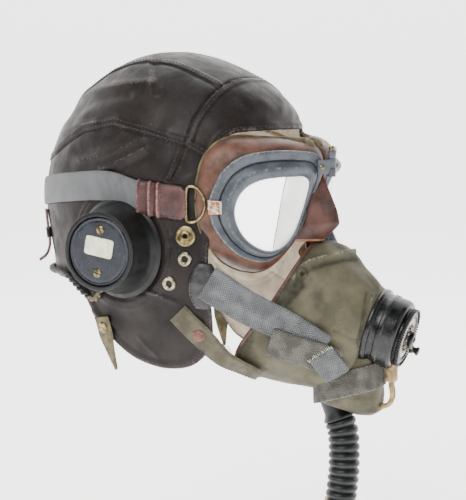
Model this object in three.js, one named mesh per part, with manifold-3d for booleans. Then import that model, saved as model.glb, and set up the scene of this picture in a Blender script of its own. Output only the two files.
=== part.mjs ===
// A leather flying helmet with its goggles strapped on and its oxygen mask fastened at the cheeks.
// Millimetres, +Z up. The wearer faces -Y, and +X is the wearer's left.
// The origin is the highest point inside the crown, where the helmet rests on the head.
// Side-view places are written as a forward distance f (which is -Y) and a height z.

import * as THREE from 'three';
import { mergeVertices } from 'three/addons/utils/BufferGeometryUtils.js';
import Module from 'manifold-3d';

const wasm = await Module();
wasm.setup();

// Helmet shell
const crownRadius = 130; // from the ear line to the top of the crown
const halfWidth = 88; // half the width over the ears
const leatherWall = 2.4;
const boxiness = 2.3; // power of the cross-section: 2 is an ellipse
const crownRise = 1.008; // height of the crown over the ear line, in crown radii
const earLine = leatherWall - crownRise * crownRadius; // height of the ear line
const stripHalfWidth = 38; // half the width of the centre strip over the crown
const seamGap = 0.3;
const seat = 0.4; // clearance between a piece and the leather that it lies on
const touch = 0.3; // clearance between two hard pieces that meet

// Ear cups and their receiver caps
const earForward = 2; // forward distance of an ear cup's foot
const earDrop = 19; // ear cup's centre below the ear line
const earTurn = 8; // degrees that a cup faces forward
const earHole = 24;
const cupFlange = 39;
const cupFoot = 34.5;
const cupMouth = 29.2;
const cupDepth = 31;
const capRadius = 26;
const capThickness = 3.4;
const capScrewSpacing = 33;
const capScrewRadius = 3.2;
const labelWidth = 24.5;
const labelHeight = 14.5;

// Goggles
const frameWidth = 90;
const frameHeight = 83;
const frameStandoff = 105; // forward distance of the middle of a lens frame
const frameNoseGap = 10.56; // from the helmet's middle plane to a lens frame's nose end
const frameDrop = 114; // how far it is below the crown
const frameWrap = 42; // degrees that a lens frame is turned to the side
const frameBulge = 8; // how far a frame's middle stands in front of its ends
const glassThickness = 1.8;
const clipWidth = 11;
const padDepth = 21;
const padWall = 2.4;
const nosePieceWall = 2;
const noseReach = 39; // how far the nose piece's tip is in front of a frame's middle
const noseHeight = 50;
const noseHalfWidth = 24;
const noseTop = 92; // how far its top is below the crown

// Elastic strap and its leather ends
const strapWidth = 23;
const strapThickness = 1.4;
const strapEndWidth = 26;
const strapEndThickness = 3;
const ringWire = 1.1;

// Oxygen mask, measured in its own upright frame and then turned
const maskYaw = 15; // degrees that the mask hangs to the wearer's left
const maskPivot = 85; // forward distance of the axis that it is turned about
const maskHalfWidth = 46;
const maskLength = 94; // from the turning axis forward to the microphone
const maskHeight = 109; // of its open rim
const maskTop = 142; // how far its rim's top is below the crown
const maskWall = 2.4;
const microphoneRadius = 27.5;
const microphoneDepth = 24;
const chinHalfWidth = 21;

// Harness, leads and hose
const webbingWidth = 24;
const webbingThickness = 1.5;
const khakiWidth = 19;
const khakiThickness = 2;
const rivetRadius = 5.2;
const leadRadius = 2.6;
const receiverLeadRadius = 2.2;
const hoseRadius = 12.3;
const hoseNeckRadius = 9.6;
const hoseNeckLength = 24;
const connectorLength = 30;
const onSideView = (ahead, up) => [ahead * crownRadius, earLine + up * crownRadius];
const hookAt = onSideView(0.5538, -0.322); // side-view place of the cheek hook's middle
const hookLength = 24;
const hookWidth = 23;
const hookThickness = 5;
const rivetSpot = onSideView(0.4923, -0.6335); // side-view place of the khaki strap's rivet
const chinBandHeight = 20;
const chinBandSlope = 0.29; // its drop backwards, per length
const chinOverlap = 15; // how far the chin block reaches up into the mask
const chinHeight = 40;
const chinBandBelow = 15; // the band's middle below the chin block's top
const tabWidth = 16; // of the tabs at the back
const napeTabThickness = 2;
const neckTabThickness = 1.6;
const napeBearing = 150; // bearing of a nape tab

const RIGHT = -1;
const LEFT = 1;
const SIDES = [['right', RIGHT], ['left', LEFT]];
const rad = THREE.MathUtils.degToRad;

const finish = (color, roughness, metalness = 0) =>
  new THREE.MeshStandardMaterial({ color, roughness, metalness });
const materials = {
  helmetLeather: finish(0x2c2422, 0.5),
  blackRubber: finish(0x1c1e1f, 0.45),
  bakelite: finish(0x1d2029, 0.3),
  brass: finish(0x9a8348, 0.35, 1),
  steel: finish(0xb9b4a4, 0.35, 1),
  paper: finish(0xe9ead0, 0.8),
  elastic: finish(0x77777a, 0.9),
  redLeather: finish(0x5c2c26, 0.5),
  frameMetal: finish(0x5a6470, 0.45, 0.3),
  glass: finish(0xf2f4f2, 0.05),
  padLeather: finish(0x70402c, 0.5),
  copper: finish(0xa8603c, 0.4, 1),
  maskFabric: finish(0x6f6a50, 0.75),
  webbing: finish(0x74777a, 0.95),
  khaki: finish(0x77705a, 0.9),
  hoseRubber: finish(0x2a2e30, 0.5),
  cord: finish(0xb08a52, 0.85),
};

const group = new THREE.Group();
const maskGroup = new THREE.Group();
maskGroup.position.set(0, -maskPivot, 0);
maskGroup.rotation.z = rad(maskYaw);
group.add(maskGroup);

function addPiece(name, geometry, material, parent = group) {
  const piece = new THREE.Mesh(geometry, material);
  piece.name = name;
  parent.add(piece);
  return piece;
}

// A point from sideways distance, forward distance and height.
const place = (x, f, z) => new THREE.Vector3(x, -f, z);

// A side-view place from shares of the crown radius, counted from the ear line.
const sidePlace = ([forward, rise]) => [forward * crownRadius, earLine + rise * crownRadius];

// Closed solids from rows of points

function signedVolume(positions, index) {
  let sum = 0;
  const [a, b, c] = [new THREE.Vector3(), new THREE.Vector3(), new THREE.Vector3()];
  for (let i = 0; i < index.length; i += 3) {
    a.fromArray(positions, index[i] * 3);
    b.fromArray(positions, index[i + 1] * 3);
    c.fromArray(positions, index[i + 2] * 3);
    sum += a.dot(b.cross(c));
  }
  return sum;
}

function closedGeometry(points, index) {
  const positions = points.flatMap((p) => [p.x, p.y, p.z]);
  if (signedVolume(positions, index) < 0) index.reverse();
  const geometry = new THREE.BufferGeometry();
  geometry.setAttribute('position', new THREE.Float32BufferAttribute(positions, 3));
  geometry.setIndex(index);
  return geometry;
}

// Joins closed loops of points, one per row. A ring joins its last row to its first, and a
// tube is closed by a fan at each end.
function loft(rows, { ring = false } = {}) {
  const count = rows[0].length;
  const points = rows.flat();
  const index = [];
  const last = ring ? rows.length : rows.length - 1;
  for (let i = 0; i < last; i++) {
    const next = (i + 1) % rows.length;
    for (let j = 0; j < count; j++) {
      const k = (j + 1) % count;
      const corners = [i * count + j, next * count + j, next * count + k, i * count + k];
      index.push(corners[0], corners[1], corners[2], corners[0], corners[2], corners[3]);
    }
  }
  if (!ring) {
    for (const [row, reversed] of [[0, false], [rows.length - 1, true]]) {
      const centre = rows[row].reduce((sum, p) => sum.add(p), new THREE.Vector3());
      points.push(centre.divideScalar(count));
      for (let j = 0; j < count; j++) {
        const edge = [row * count + j, row * count + ((j + 1) % count)];
        if (reversed) edge.reverse();
        index.push(points.length - 1, ...edge);
      }
    }
  }
  return closedGeometry(points, index);
}

function toSolid(geometry) {
  const bare = geometry.clone();
  bare.deleteAttribute('normal');
  bare.deleteAttribute('uv');
  const merged = mergeVertices(bare, 1e-4);
  return new wasm.Manifold(new wasm.Mesh({
    numProp: 3,
    vertProperties: new Float32Array(merged.attributes.position.array),
    triVerts: new Uint32Array(merged.index.array),
  }));
}

function toGeometry(solid) {
  const made = solid.getMesh();
  const geometry = new THREE.BufferGeometry();
  geometry.setAttribute('position', new THREE.BufferAttribute(made.vertProperties, 3));
  geometry.setIndex(new THREE.BufferAttribute(made.triVerts, 1));
  return geometry;
}

// The same solid, taken from the mask's own frame to the helmet's.
function onHead(solid) {
  maskGroup.updateMatrix();
  return toSolid(toGeometry(solid).applyMatrix4(maskGroup.matrix));
}

// The largest body of a solid that a cut has left in several.
const largest = (solid) => solid.decompose().sort((a, b) => b.volume() - a.volume())[0];

function mirrored(geometry) {
  const copy = geometry.clone().scale(-1, 1, 1);
  copy.setIndex(Array.from(copy.index.array).reverse());
  return copy;
}

// A right-hand piece and its mirror image on the left.
function addPair(name, geometry, material) {
  addPiece(`${name}_right`, geometry, material);
  addPiece(`${name}_left`, mirrored(geometry), material);
}

// A body of revolution about a direction, from points of radius and height along it.
function turned(profile, centre, direction, sides = 32, closed = false) {
  const outline = profile.map(([r, h]) => new THREE.Vector2(r, h));
  if (closed) outline.push(outline[0].clone());
  const geometry = new THREE.LatheGeometry(outline, sides);
  const turn = new THREE.Quaternion().setFromUnitVectors(new THREE.Vector3(0, 1, 0), direction);
  geometry.applyQuaternion(turn).translate(centre.x, centre.y, centre.z);
  geometry.deleteAttribute('normal');
  geometry.deleteAttribute('uv');
  const merged = mergeVertices(geometry, 1e-4);
  const index = Array.from(merged.index.array);
  const kept = [];
  for (let i = 0; i < index.length; i += 3) {
    const [a, b, c] = index.slice(i, i + 3);
    if (a !== b && b !== c && c !== a) kept.push(a, b, c);
  }
  const array = merged.attributes.position.array;
  const points = Array.from({ length: array.length / 3 }, (_, i) =>
    new THREE.Vector3().fromArray(array, i * 3));
  return closedGeometry(points, kept);
}

// A side-view outline, as points of f and z, carried across from one x to another.
function sidePrism(outline, fromX, toX, bevel = 0) {
  const shape = new THREE.Shape(outline.map(([f, z]) => new THREE.Vector2(f, z)));
  const geometry = new THREE.ExtrudeGeometry(shape, {
    depth: toX - fromX - 2 * bevel,
    bevelEnabled: bevel > 0,
    bevelThickness: bevel,
    bevelSize: bevel,
    bevelOffset: -bevel,
    bevelSegments: 2,
    curveSegments: 6,
  });
  const toSide = new THREE.Matrix4().makeBasis(
    new THREE.Vector3(0, -1, 0), new THREE.Vector3(0, 0, 1), new THREE.Vector3(-1, 0, 0));
  return geometry.applyMatrix4(toSide).translate(toX - bevel, 0, 0);
}

// A tube along a smooth curve, as an extrusion of a round section.
function wireTube(points, radius, steps, sides = 8, closed = false) {
  const curve = new THREE.CatmullRomCurve3(points, closed, 'centripetal');
  const section = new THREE.Shape();
  section.absarc(0, 0, radius, 0, 2 * Math.PI);
  return new THREE.ExtrudeGeometry(section, {
    steps, extrudePath: curve, curveSegments: sides / 2, bevelEnabled: false,
  });
}

// A smooth curve through a table of angle and share that closes on itself after a full turn.
function periodicShare(table, angle) {
  const turn = ((angle % 360) + 360) % 360;
  let i = table.findIndex((row) => row.angle > turn);
  if (i < 0) i = table.length;
  const at = (k) => {
    const wrapped = ((k % table.length) + table.length) % table.length;
    return { angle: table[wrapped].angle + 360 * Math.floor(k / table.length),
      share: table[wrapped].share };
  };
  const [p, a, b, n] = [at(i - 2), at(i - 1), at(i), at(i + 1)];
  const t = (turn - a.angle) / (b.angle - a.angle);
  const slopeA = (b.share - p.share) / (b.angle - p.angle) * (b.angle - a.angle);
  const slopeB = (n.share - a.share) / (n.angle - a.angle) * (b.angle - a.angle);
  const t2 = t * t;
  const t3 = t2 * t;
  return (2 * t3 - 3 * t2 + 1) * a.share + (t3 - 2 * t2 + t) * slopeA
    + (3 * t2 - 2 * t3) * b.share + (t3 - t2) * slopeB;
}

// The shell's form: a side outline round the ear line, and a boxy section across it.
// angle is degrees up from forward, share is the radius in crown radii.
const sideOutline = [
  { angle: 0, share: 0.84 }, { angle: 25, share: 0.87 }, { angle: 38, share: 0.906 },
  { angle: 46, share: 0.966 }, { angle: 60, share: 0.98 }, { angle: 70, share: 0.978 },
  { angle: 79, share: 0.99 }, { angle: 90, share: 1.008 }, { angle: 108, share: 1.015 },
  { angle: 120, share: 1.003 }, { angle: 134, share: 0.985 }, { angle: 150, share: 0.968 },
  { angle: 168, share: 0.927 }, { angle: 186, share: 0.885 }, { angle: 201, share: 0.9 },
  { angle: 225, share: 1.02 }, { angle: 250, share: 1.17 }, { angle: 270, share: 1.2 },
  { angle: 290, share: 1.2 }, { angle: 315, share: 1.12 }, { angle: 340, share: 0.98 },
];
const outlineRadius = (angle) => crownRadius * periodicShare(sideOutline, angle);

function eggSolid(offset) {
  const around = 34;
  const across = 12;
  const rows = [];
  for (let j = 1; j < across; j++) {
    const lean = Math.PI * j / across;
    const side = Math.sign(-Math.cos(lean)) * Math.abs(Math.cos(lean)) ** (2 / boxiness);
    const reach = Math.sin(lean) ** (2 / boxiness);
    rows.push(Array.from({ length: around }, (_, i) => {
      const angle = 360 * i / around;
      const radius = (outlineRadius(angle) + offset) * reach;
      return place((halfWidth + offset) * side, radius * Math.cos(rad(angle)),
        earLine + radius * Math.sin(rad(angle)));
    }));
  }
  const geometry = loft(rows);
  const position = geometry.attributes.position;
  const poles = rows.length * around;
  position.setXYZ(poles, -(halfWidth + offset), 0, earLine);
  position.setXYZ(poles + 1, halfWidth + offset, 0, earLine);
  return toSolid(geometry);
}

// 1 on the outside of the shell, less inside it.
function shellLevel(p) {
  const forward = -p.y;
  const rise = p.z - earLine;
  const angle = THREE.MathUtils.radToDeg(Math.atan2(rise, forward));
  return (Math.abs(p.x) / halfWidth) ** boxiness
    + (Math.hypot(forward, rise) / outlineRadius(angle)) ** boxiness;
}

function shellNormal(p) {
  const step = 0.5;
  const slope = ['x', 'y', 'z'].map((axis) => {
    const ahead = p.clone();
    const behind = p.clone();
    ahead[axis] += step;
    behind[axis] -= step;
    return shellLevel(ahead) - shellLevel(behind);
  });
  return new THREE.Vector3(...slope).normalize();
}

// Where a ray from a point inside leaves the shell.
function leaveShell(from, direction) {
  let near = 0;
  let far = 3 * crownRadius;
  for (let i = 0; i < 40; i++) {
    const middle = (near + far) / 2;
    if (shellLevel(from.clone().addScaledVector(direction, middle)) < 1) near = middle;
    else far = middle;
  }
  return from.clone().addScaledVector(direction, near);
}

// The shell at a bearing round the head (0 forward, 90 the wearer's right) and a height.
function shellAtBearing(bearing, z) {
  const direction = place(-Math.sin(rad(bearing)), Math.cos(rad(bearing)), 0);
  return leaveShell(place(0, 0, z), direction);
}

// The shell beside a place in the side view, on one side of the head.
function shellBeside([f, z], side = RIGHT) {
  return leaveShell(place(0, f, z), new THREE.Vector3(side, 0, 0));
}

// Side-view outlines, in crown radii from the ear line
const helmetEdge = [
  [1.6, 0.545], [0.7, 0.545], [0.62, 0.53], [0.585, 0.48], [0.572, 0.4],
  [0.577, 0], [0.577, -0.55], [0.55, -0.68], [0.48, -0.78], [0.37, -0.85],
  [0.2, -0.865], [0, -0.81], [-0.16, -0.67], [-0.26, -0.53], [-0.33, -0.43],
  [-0.45, -0.37], [-1.6, -0.37], [-1.6, 1.6], [1.6, 1.6],
];
const crossing = [0.41, 0.466]; // where the brow seam meets the side seam
const browSeam = [[0.56, 1.3], [0.485, 0.852], [0.462, 0.771], [0.42, 0.6], crossing];
const sideSeamBack = [[0.154, 0.528], [-0.092, 0.574], [-0.346, 0.528], [-0.615, 0.39],
  [-1.6, 0]];
const sideSeamFront = [[0.538, 0.39], [0.75, 0.32], [1.6, 0.2]];

const shift = (points, df, dz) => points.map(([f, z]) => [f + df, z + dz]);
const half = seamGap / 2;
const browSeamLine = browSeam.map(sidePlace);
const sideSeamBackLine = sideSeamBack.map(sidePlace);
const sideSeamFrontLine = sideSeamFront.map(sidePlace);
const far = 2 * crownRadius;

const eggOutside = eggSolid(0);
const shell = (() => {
  const edge = toSolid(sidePrism(helmetEdge.map(sidePlace), -far, far));
  const earBore = toSolid(turned([[0, -far], [earHole, -far], [earHole, far], [0, far]],
    place(0, earForward, earLine - earDrop), new THREE.Vector3(1, 0, 0), 18));
  return eggOutside.subtract(eggSolid(-leatherWall)).intersect(edge).subtract(earBore);
})();

// The whole helmet as a filled body, grown by a clearance, to fit what lies on it.
const filledHelmet = (clearance) => {
  const edge = toSolid(sidePrism(helmetEdge.map(sidePlace), -far, far));
  return eggSolid(clearance).intersect(edge);
};
const helmetForm = filledHelmet(seat);

function crownPanels() {
  const cut = (outline, fromX, toX) =>
    toGeometry(shell.intersect(toSolid(sidePrism(outline, fromX, toX))));
  const front = [...shift(browSeamLine, half, 0), ...shift(sideSeamFrontLine, 0, half),
    [far, far]];
  addPiece('brow_panel', cut(front, -far, far), materials.helmetLeather);
  const behindBrow = shift(browSeamLine, -half, 0);
  const above = [...behindBrow, ...shift(sideSeamBackLine, 0, half), [-far, far]];
  addPiece('crown_side_right', cut(above, -far, -stripHalfWidth - half), materials.helmetLeather);
  addPiece('crown_side_left', cut(above, stripHalfWidth + half, far), materials.helmetLeather);
  const below = [...shift(sideSeamBackLine, 0, -half).reverse(),
    [browSeamLine.at(-1)[0], browSeamLine.at(-1)[1] - half],
    ...shift(sideSeamFrontLine, 0, -half), [far, -far - crownRadius], [-far, -far - crownRadius]];
  addPiece('side_panel_right', cut(below, -far, -stripHalfWidth - half), materials.helmetLeather);
  addPiece('side_panel_left', cut(below, stripHalfWidth + half, far), materials.helmetLeather);
  const middle = [...behindBrow, [browSeamLine.at(-1)[0] - half, -far - crownRadius],
    [-far, -far - crownRadius], [-far, far]];
  addPiece('crown_strip', cut(middle, -stripHalfWidth + half, stripHalfWidth - half),
    materials.helmetLeather);
}

// An ear cup's own directions: outward, forward in its face, and up.
const cupOut = place(-Math.cos(rad(earTurn)), Math.sin(rad(earTurn)), 0);
const cupAhead = place(Math.sin(rad(earTurn)), Math.cos(rad(earTurn)), 0);
const cupFootAt = place(-halfWidth, earForward, earLine - earDrop);

// A place in the face of a cup: ahead and up from its axis, out from its foot.
const cupPlace = (ahead, up, out) => cupFootAt.clone().addScaledVector(cupAhead, ahead)
  .setZ(cupFootAt.z + up).addScaledVector(cupOut, out);

function earCups() {
  const depth = cupDepth;
  const inside = capRadius + touch;
  const capFoot = depth - capThickness - 1;
  const cup = toSolid(turned([
    [earHole, -16], [cupFlange, -16], [cupFlange, 0.8], [cupFoot, 3.5], [cupMouth, depth],
    [inside, depth], [inside, capFoot - touch], [earHole, capFoot - touch],
  ], cupFootAt, cupOut, 18, true));
  const strapRoom = wrapBand(tabStart, 180, 10, strapWidth + 2 * touch, strapThickness + 4, 0);
  addPair('ear_cup', toGeometry(cup.subtract(helmetForm).subtract(toSolid(strapRoom))),
    materials.blackRubber);

  const screwLean = 5;
  const screwAt = (sign) => cupPlace(sign * Math.sin(rad(screwLean)) * capScrewSpacing / 2,
    sign * Math.cos(rad(screwLean)) * capScrewSpacing / 2, 0);
  let cap = toSolid(turned([
    [0, capFoot], [capRadius, capFoot], [capRadius, capFoot + capThickness - 1],
    [capRadius - 1.2, capFoot + capThickness], [0, capFoot + capThickness],
  ], cupFootAt, cupOut, 18));
  const sink = 1.2;
  const capFace = capFoot + capThickness;
  for (const sign of [1, -1]) {
    const well = [[0, capFace - sink], [capScrewRadius + touch, capFace - sink],
      [capScrewRadius + touch, capFace + sink], [0, capFace + sink]];
    cap = cap.subtract(toSolid(turned(well, screwAt(sign), cupOut, 10)));
  }
  addPair('receiver_cap', toGeometry(cap), materials.bakelite);
  for (const [end, sign] of [['upper', 1], ['lower', -1]]) {
    const low = capFace - sink + touch;
    const head = turned([[0, low], [capScrewRadius, low], [capScrewRadius, capFace + 0.3],
      [0, capFace + 1.2]], screwAt(sign), cupOut, 10);
    addPair(`cap_screw_${end}`, head, materials.brass);
  }
  capLabel(capFace + touch);
}

// A blank paper label on the right cap, a little off level.
function capLabel(out) {
  const [corner, paper, turn, rise] = [2.5, 0.3, 9, 3.5];
  const shape = new THREE.Shape();
  const [w, t] = [labelWidth / 2 - corner, labelHeight / 2 - corner];
  shape.absarc(w, t, corner, 0, Math.PI / 2);
  shape.absarc(-w, t, corner, Math.PI / 2, Math.PI);
  shape.absarc(-w, -t, corner, Math.PI, 1.5 * Math.PI);
  shape.absarc(w, -t, corner, 1.5 * Math.PI, 2 * Math.PI);
  const label = new THREE.ExtrudeGeometry(shape, {
    depth: paper, bevelEnabled: false, curveSegments: 2,
  });
  label.rotateZ(-rad(turn));
  label.applyMatrix4(new THREE.Matrix4()
    .makeBasis(cupAhead, new THREE.Vector3(0, 0, 1), cupOut)
    .setPosition(cupPlace(0, rise, out)));
  addPiece('cap_label_right', label, materials.paper);
}

// The press stud and the two eyelets in front of each ear cup.
function cheekStuds() {
  const shapes = {
    press_stud: [[1.6, -3], [8, -3], [8, 1], [7, 2.2], [4.8, 1.4], [3.6, 3], [1.6, 2.8]],
    eyelet: [[2.2, -3], [5.6, -3], [5.6, 1], [4.4, 1.8], [2.2, 1.6]],
  };
  const rows = [
    { name: 'press_stud', shape: 'press_stud', spot: [0.45, -0.057] },
    { name: 'eyelet_upper', shape: 'eyelet', spot: [0.45, -0.19] },
    { name: 'eyelet_lower', shape: 'eyelet', spot: [0.35, -0.337] },
  ];
  for (const { name, shape, spot } of rows) {
    const at = shellBeside(sidePlace(spot));
    const normal = shellNormal(at);
    const stud = toSolid(turned(shapes[shape], at, normal, 8, true)).subtract(helmetForm);
    addPair(name, toGeometry(stud), name === 'press_stud' ? materials.brass : materials.steel);
  }
}

// Bearings and heights of the goggle strap's middle line, from the temple round the back.
const strapLine = [
  { bearing: 50, rise: 0.128 }, { bearing: 73, rise: 0.159 }, { bearing: 95, rise: 0.215 },
  { bearing: 125, rise: 0.192 }, { bearing: 155, rise: 0.143 }, { bearing: 180, rise: 0.128 },
];
const strapCurve = new THREE.SplineCurve(
  strapLine.map(({ bearing, rise }) => new THREE.Vector2(bearing, rise)));
function strapRise(bearing) {
  const [first, last] = [strapLine[0].bearing, strapLine.at(-1).bearing];
  const folded = THREE.MathUtils.clamp(bearing > 180 ? 360 - bearing : bearing, first, last);
  let [low, high] = [0, 1];
  for (let i = 0; i < 30; i++) {
    const middle = (low + high) / 2;
    if (strapCurve.getPoint(middle).x < folded) low = middle;
    else high = middle;
  }
  return earLine + strapCurve.getPoint(low).y * crownRadius;
}

// A band that hugs the shell between two bearings, with its width taken up the shell.
function wrapBand(from, to, steps, width, thickness, lift = 2 * seat) {
  const rows = [];
  for (let i = 0; i <= steps; i++) {
    const bearing = from + (to - from) * i / steps;
    const middle = strapRise(bearing);
    const inner = [];
    const outer = [];
    for (const share of [-0.5, 0, 0.5]) {
      const at = shellAtBearing(bearing, middle + share * width);
      const normal = shellNormal(at);
      inner.push(at.clone().addScaledVector(normal, lift));
      outer.unshift(at.clone().addScaledVector(normal, lift + thickness));
    }
    rows.push([...inner, ...outer]);
  }
  return loft(rows);
}

const tabStart = 73; // bearing where the elastic ends and its leather end begins
const tabEnd = 53;
const ringBearing = 49.5;

function ringFrame() {
  const middle = strapRise(ringBearing);
  const at = shellAtBearing(ringBearing, middle);
  const outward = shellNormal(at);
  const ahead = shellAtBearing(ringBearing - 6, middle).sub(at);
  ahead.addScaledVector(outward, -ahead.dot(outward)).normalize();
  const up = outward.clone().cross(ahead).normalize();
  if (up.z < 0) up.negate();
  at.addScaledVector(outward, 2 * seat + strapEndThickness / 2 + 0.6);
  return { at, ahead, up, outward };
}

// The D-shaped wire loop that joins a strap end to a goggle frame.
function ringWireTube(radius) {
  const { at, ahead, up, outward } = ringFrame();
  const outline = [
    { forward: -6, rise: 0 }, { forward: -6, rise: 8 }, { forward: -5, rise: 12.6 },
    { forward: -1, rise: 13.4 }, { forward: 4, rise: 10.6 }, { forward: 7.4, rise: 5 },
    { forward: 8.4, rise: 0 },
  ];
  const lower = outline.slice(1, -1).reverse().map((p) => ({ ...p, rise: -p.rise }));
  const points = [...outline, ...lower].map(({ forward, rise }) => at.clone()
    .addScaledVector(ahead, forward).addScaledVector(up, rise)
    .addScaledVector(outward, forward > 0 ? forward * 0.12 : 0));
  const section = Array.from({ length: 5 }, (_, i) => 2 * Math.PI * i / 5);
  const curve = new THREE.CatmullRomCurve3(points, true, 'centripetal');
  const rows = curve.getPoints(20).slice(0, -1).map((p, i, all) => {
    const next = all[(i + 1) % all.length];
    const before = all[(i + all.length - 1) % all.length];
    const along = next.clone().sub(before).normalize();
    const across = along.clone().cross(outward).normalize();
    const over = across.clone().cross(along).normalize();
    return section.map((a) => p.clone().addScaledVector(across, radius * Math.cos(a))
      .addScaledVector(over, radius * Math.sin(a)));
  });
  return loft(rows, { ring: true });
}

function goggleStrap() {
  addPiece('goggle_strap', wrapBand(tabStart + 0.4, 360 - tabStart - 0.4, 24, strapWidth,
    strapThickness), materials.elastic);
  const clear = toSolid(ringWireTube(ringWire + touch));
  const tab = toSolid(wrapBand(tabStart, tabEnd, 6, strapEndWidth, strapEndThickness));
  addPair('strap_end', toGeometry(tab.subtract(clear)), materials.redLeather);
  addPair('strap_ring', ringWireTube(ringWire), materials.brass);
}

// Goggles. A lens frame has its own flat axes: a runs from the temple to the nose, b runs up.
const frameOutline = [
  { a: -0.46, b: 0.01 }, { a: -0.41, b: 0.2 }, { a: -0.33, b: 0.35 }, { a: -0.18, b: 0.46 },
  { a: 0.06, b: 0.505 }, { a: 0.31, b: 0.5 }, { a: 0.47, b: 0.465 }, { a: 0.53, b: 0.36 },
  { a: 0.5, b: 0.16 }, { a: 0.42, b: -0.07 }, { a: 0.3, b: -0.29 }, { a: 0.15, b: -0.43 },
  { a: 0, b: -0.495 }, { a: -0.18, b: -0.45 }, { a: -0.33, b: -0.32 }, { a: -0.43, b: -0.15 },
];
const glassOutline = [
  { a: -0.225, b: -0.02 }, { a: -0.195, b: 0.1 }, { a: -0.13, b: 0.2 }, { a: -0.03, b: 0.265 },
  { a: 0.09, b: 0.29 }, { a: 0.22, b: 0.29 }, { a: 0.33, b: 0.285 }, { a: 0.365, b: 0.23 },
  { a: 0.34, b: 0.08 }, { a: 0.29, b: -0.08 }, { a: 0.21, b: -0.25 }, { a: 0.12, b: -0.33 },
  { a: 0.0, b: -0.34 }, { a: -0.09, b: -0.29 }, { a: -0.16, b: -0.21 }, { a: -0.21, b: -0.11 },
];
const outlineLoop = (table, steps) => new THREE.CatmullRomCurve3(
  table.map(({ a, b }) => new THREE.Vector3(a * frameWidth, b * frameHeight, 0)), true)
  .getPoints(steps).slice(0, -1);

const frameSpread = frameNoseGap + frameWidth / 2 * Math.cos(rad(frameWrap));
const frameCentre = place(-frameSpread, frameStandoff, -frameDrop);
const frameAcross = new THREE.Vector3(
  Math.cos(rad(frameWrap)), -Math.sin(rad(frameWrap)), 0); // from the temple to the nose
const frameOut = new THREE.Vector3(
  -Math.sin(rad(frameWrap)), -Math.cos(rad(frameWrap)), 0);

// A point of the right-hand frame, depth d in front of its mean surface.
function framePoint(a, b, d) {
  const bow = frameBulge * (1 - (2 * a / frameWidth) ** 2) - frameBulge / 2;
  return frameCentre.clone().addScaledVector(frameAcross, a)
    .add(new THREE.Vector3(0, 0, b)).addScaledVector(frameOut, d + bow);
}

const blend = (p, q, t) => new THREE.Vector2(p.x + (q.x - p.x) * t, p.y + (q.y - p.y) * t);

const frameSteps = 28;
const outerLoop = outlineLoop(frameOutline, frameSteps);
const innerLoop = outlineLoop(glassOutline, frameSteps);

// A ring whose section runs between the outer outline (0) and the glass outline (1).
function frameRing(section) {
  return loft(outerLoop.map((p, i) => section.map(([share, depth]) => {
    const at = blend(p, innerLoop[i], share);
    return framePoint(at.x, at.y, depth);
  })), { ring: true });
}

const paneSeam = 0.16; // where the two panes of a lens meet, in frame widths
function lensPane(keepTemple) {
  const share = 0.93;
  const rows = [0.5, 0.5 + glassThickness].map((depth) => innerLoop.map((p, i) => {
    const at = blend(outerLoop[i], p, share);
    return framePoint(at.x, at.y, depth);
  }).filter((_, i) => i % 2 === 0));
  const seam = (a) => [framePoint(a - 0.02 * frameWidth, -frameHeight, -20),
    framePoint(a + 0.05 * frameWidth, frameHeight, -20)];
  const edge = paneSeam * frameWidth + (keepTemple ? -half : half);
  const [low, high] = seam(edge);
  const reach = frameAcross.clone().multiplyScalar(keepTemple ? -frameWidth : frameWidth);
  const back = [low, high, high.clone().add(reach), low.clone().add(reach)];
  const cutter = loft([back, back.map((p) => p.clone().addScaledVector(frameOut, 60))]);
  return toGeometry(toSolid(loft(rows)).intersect(toSolid(cutter)));
}

function lensFrames() {
  const wires = toSolid(ringWireTube(ringWire + touch));
  const ring = frameRing([[0, -1], [0.04, 3], [0.34, 2.4], [0.68, 6.6], [1, 5.5], [1, 3],
    [0.88, 3], [0.88, 0]]);
  addPair('lens_frame', toGeometry(toSolid(ring).subtract(wires)), materials.frameMetal);
  addPair('lens_temple', lensPane(true), materials.glass);
  addPair('lens_nose', lensPane(false), materials.glass);

  const [clipHalf, clipThick, clipStand] = [clipWidth / 2, 1.6, 3.5];
  const corner = (a, b, d) => framePoint(-0.46 * frameWidth + a, b, d);
  const clipRow = (d) => [corner(-1, -clipHalf, d), corner(9, -clipHalf, d + 0.6),
    corner(9, clipHalf, d + 0.6), corner(-1, clipHalf, d)];
  const clip = toSolid(loft([clipRow(clipStand), clipRow(clipStand + clipThick)]));
  addPair('frame_clip', toGeometry(clip.subtract(wires)), materials.copper);
}

// The leather nose piece between the frames, a tent that is open below and behind.
// down is a share of its height, reach and back of its reach, half of its half width.
const noseSections = [
  { down: 0, reach: 0.62, back: 0.56, half: 0.15 },
  { down: 0.27, reach: 0.76, back: 0.45, half: 0.33 },
  { down: 0.53, reach: 0.91, back: 0.31, half: 0.54 },
  { down: 0.72, reach: 1, back: 0.2, half: 0.71 },
  { down: 1, reach: 0.6, back: 0.08, half: 1 },
];
function noseRow({ down, reach, back, half: width }, grow) {
  const z = -noseTop - down * noseHeight;
  const at = (side, f) => place(side * (width * noseHalfWidth + grow), f + grow, z);
  const [ridge, base] = [reach, back].map((share) => frameStandoff + share * noseReach);
  return [at(-1, base), place(0, ridge + grow, z), at(1, base)];
}

// The nose piece filled out to the back, to fit what meets it.
function noseForm(grow) {
  const behind = frameStandoff - noseReach;
  const rows = noseSections.map((section) => {
    const [left, ridge, right] = noseRow(section, 2 * grow);
    return [left.clone().setY(-behind), left, ridge, right, right.clone().setY(-behind)];
  });
  const lifted = rows[0].map((p) => p.clone().setZ(p.z + grow));
  const lowered = rows.at(-1).map((p) => p.clone().setZ(p.z - grow));
  return toSolid(loft([lifted, ...rows.slice(1, -1), lowered]));
}

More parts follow.
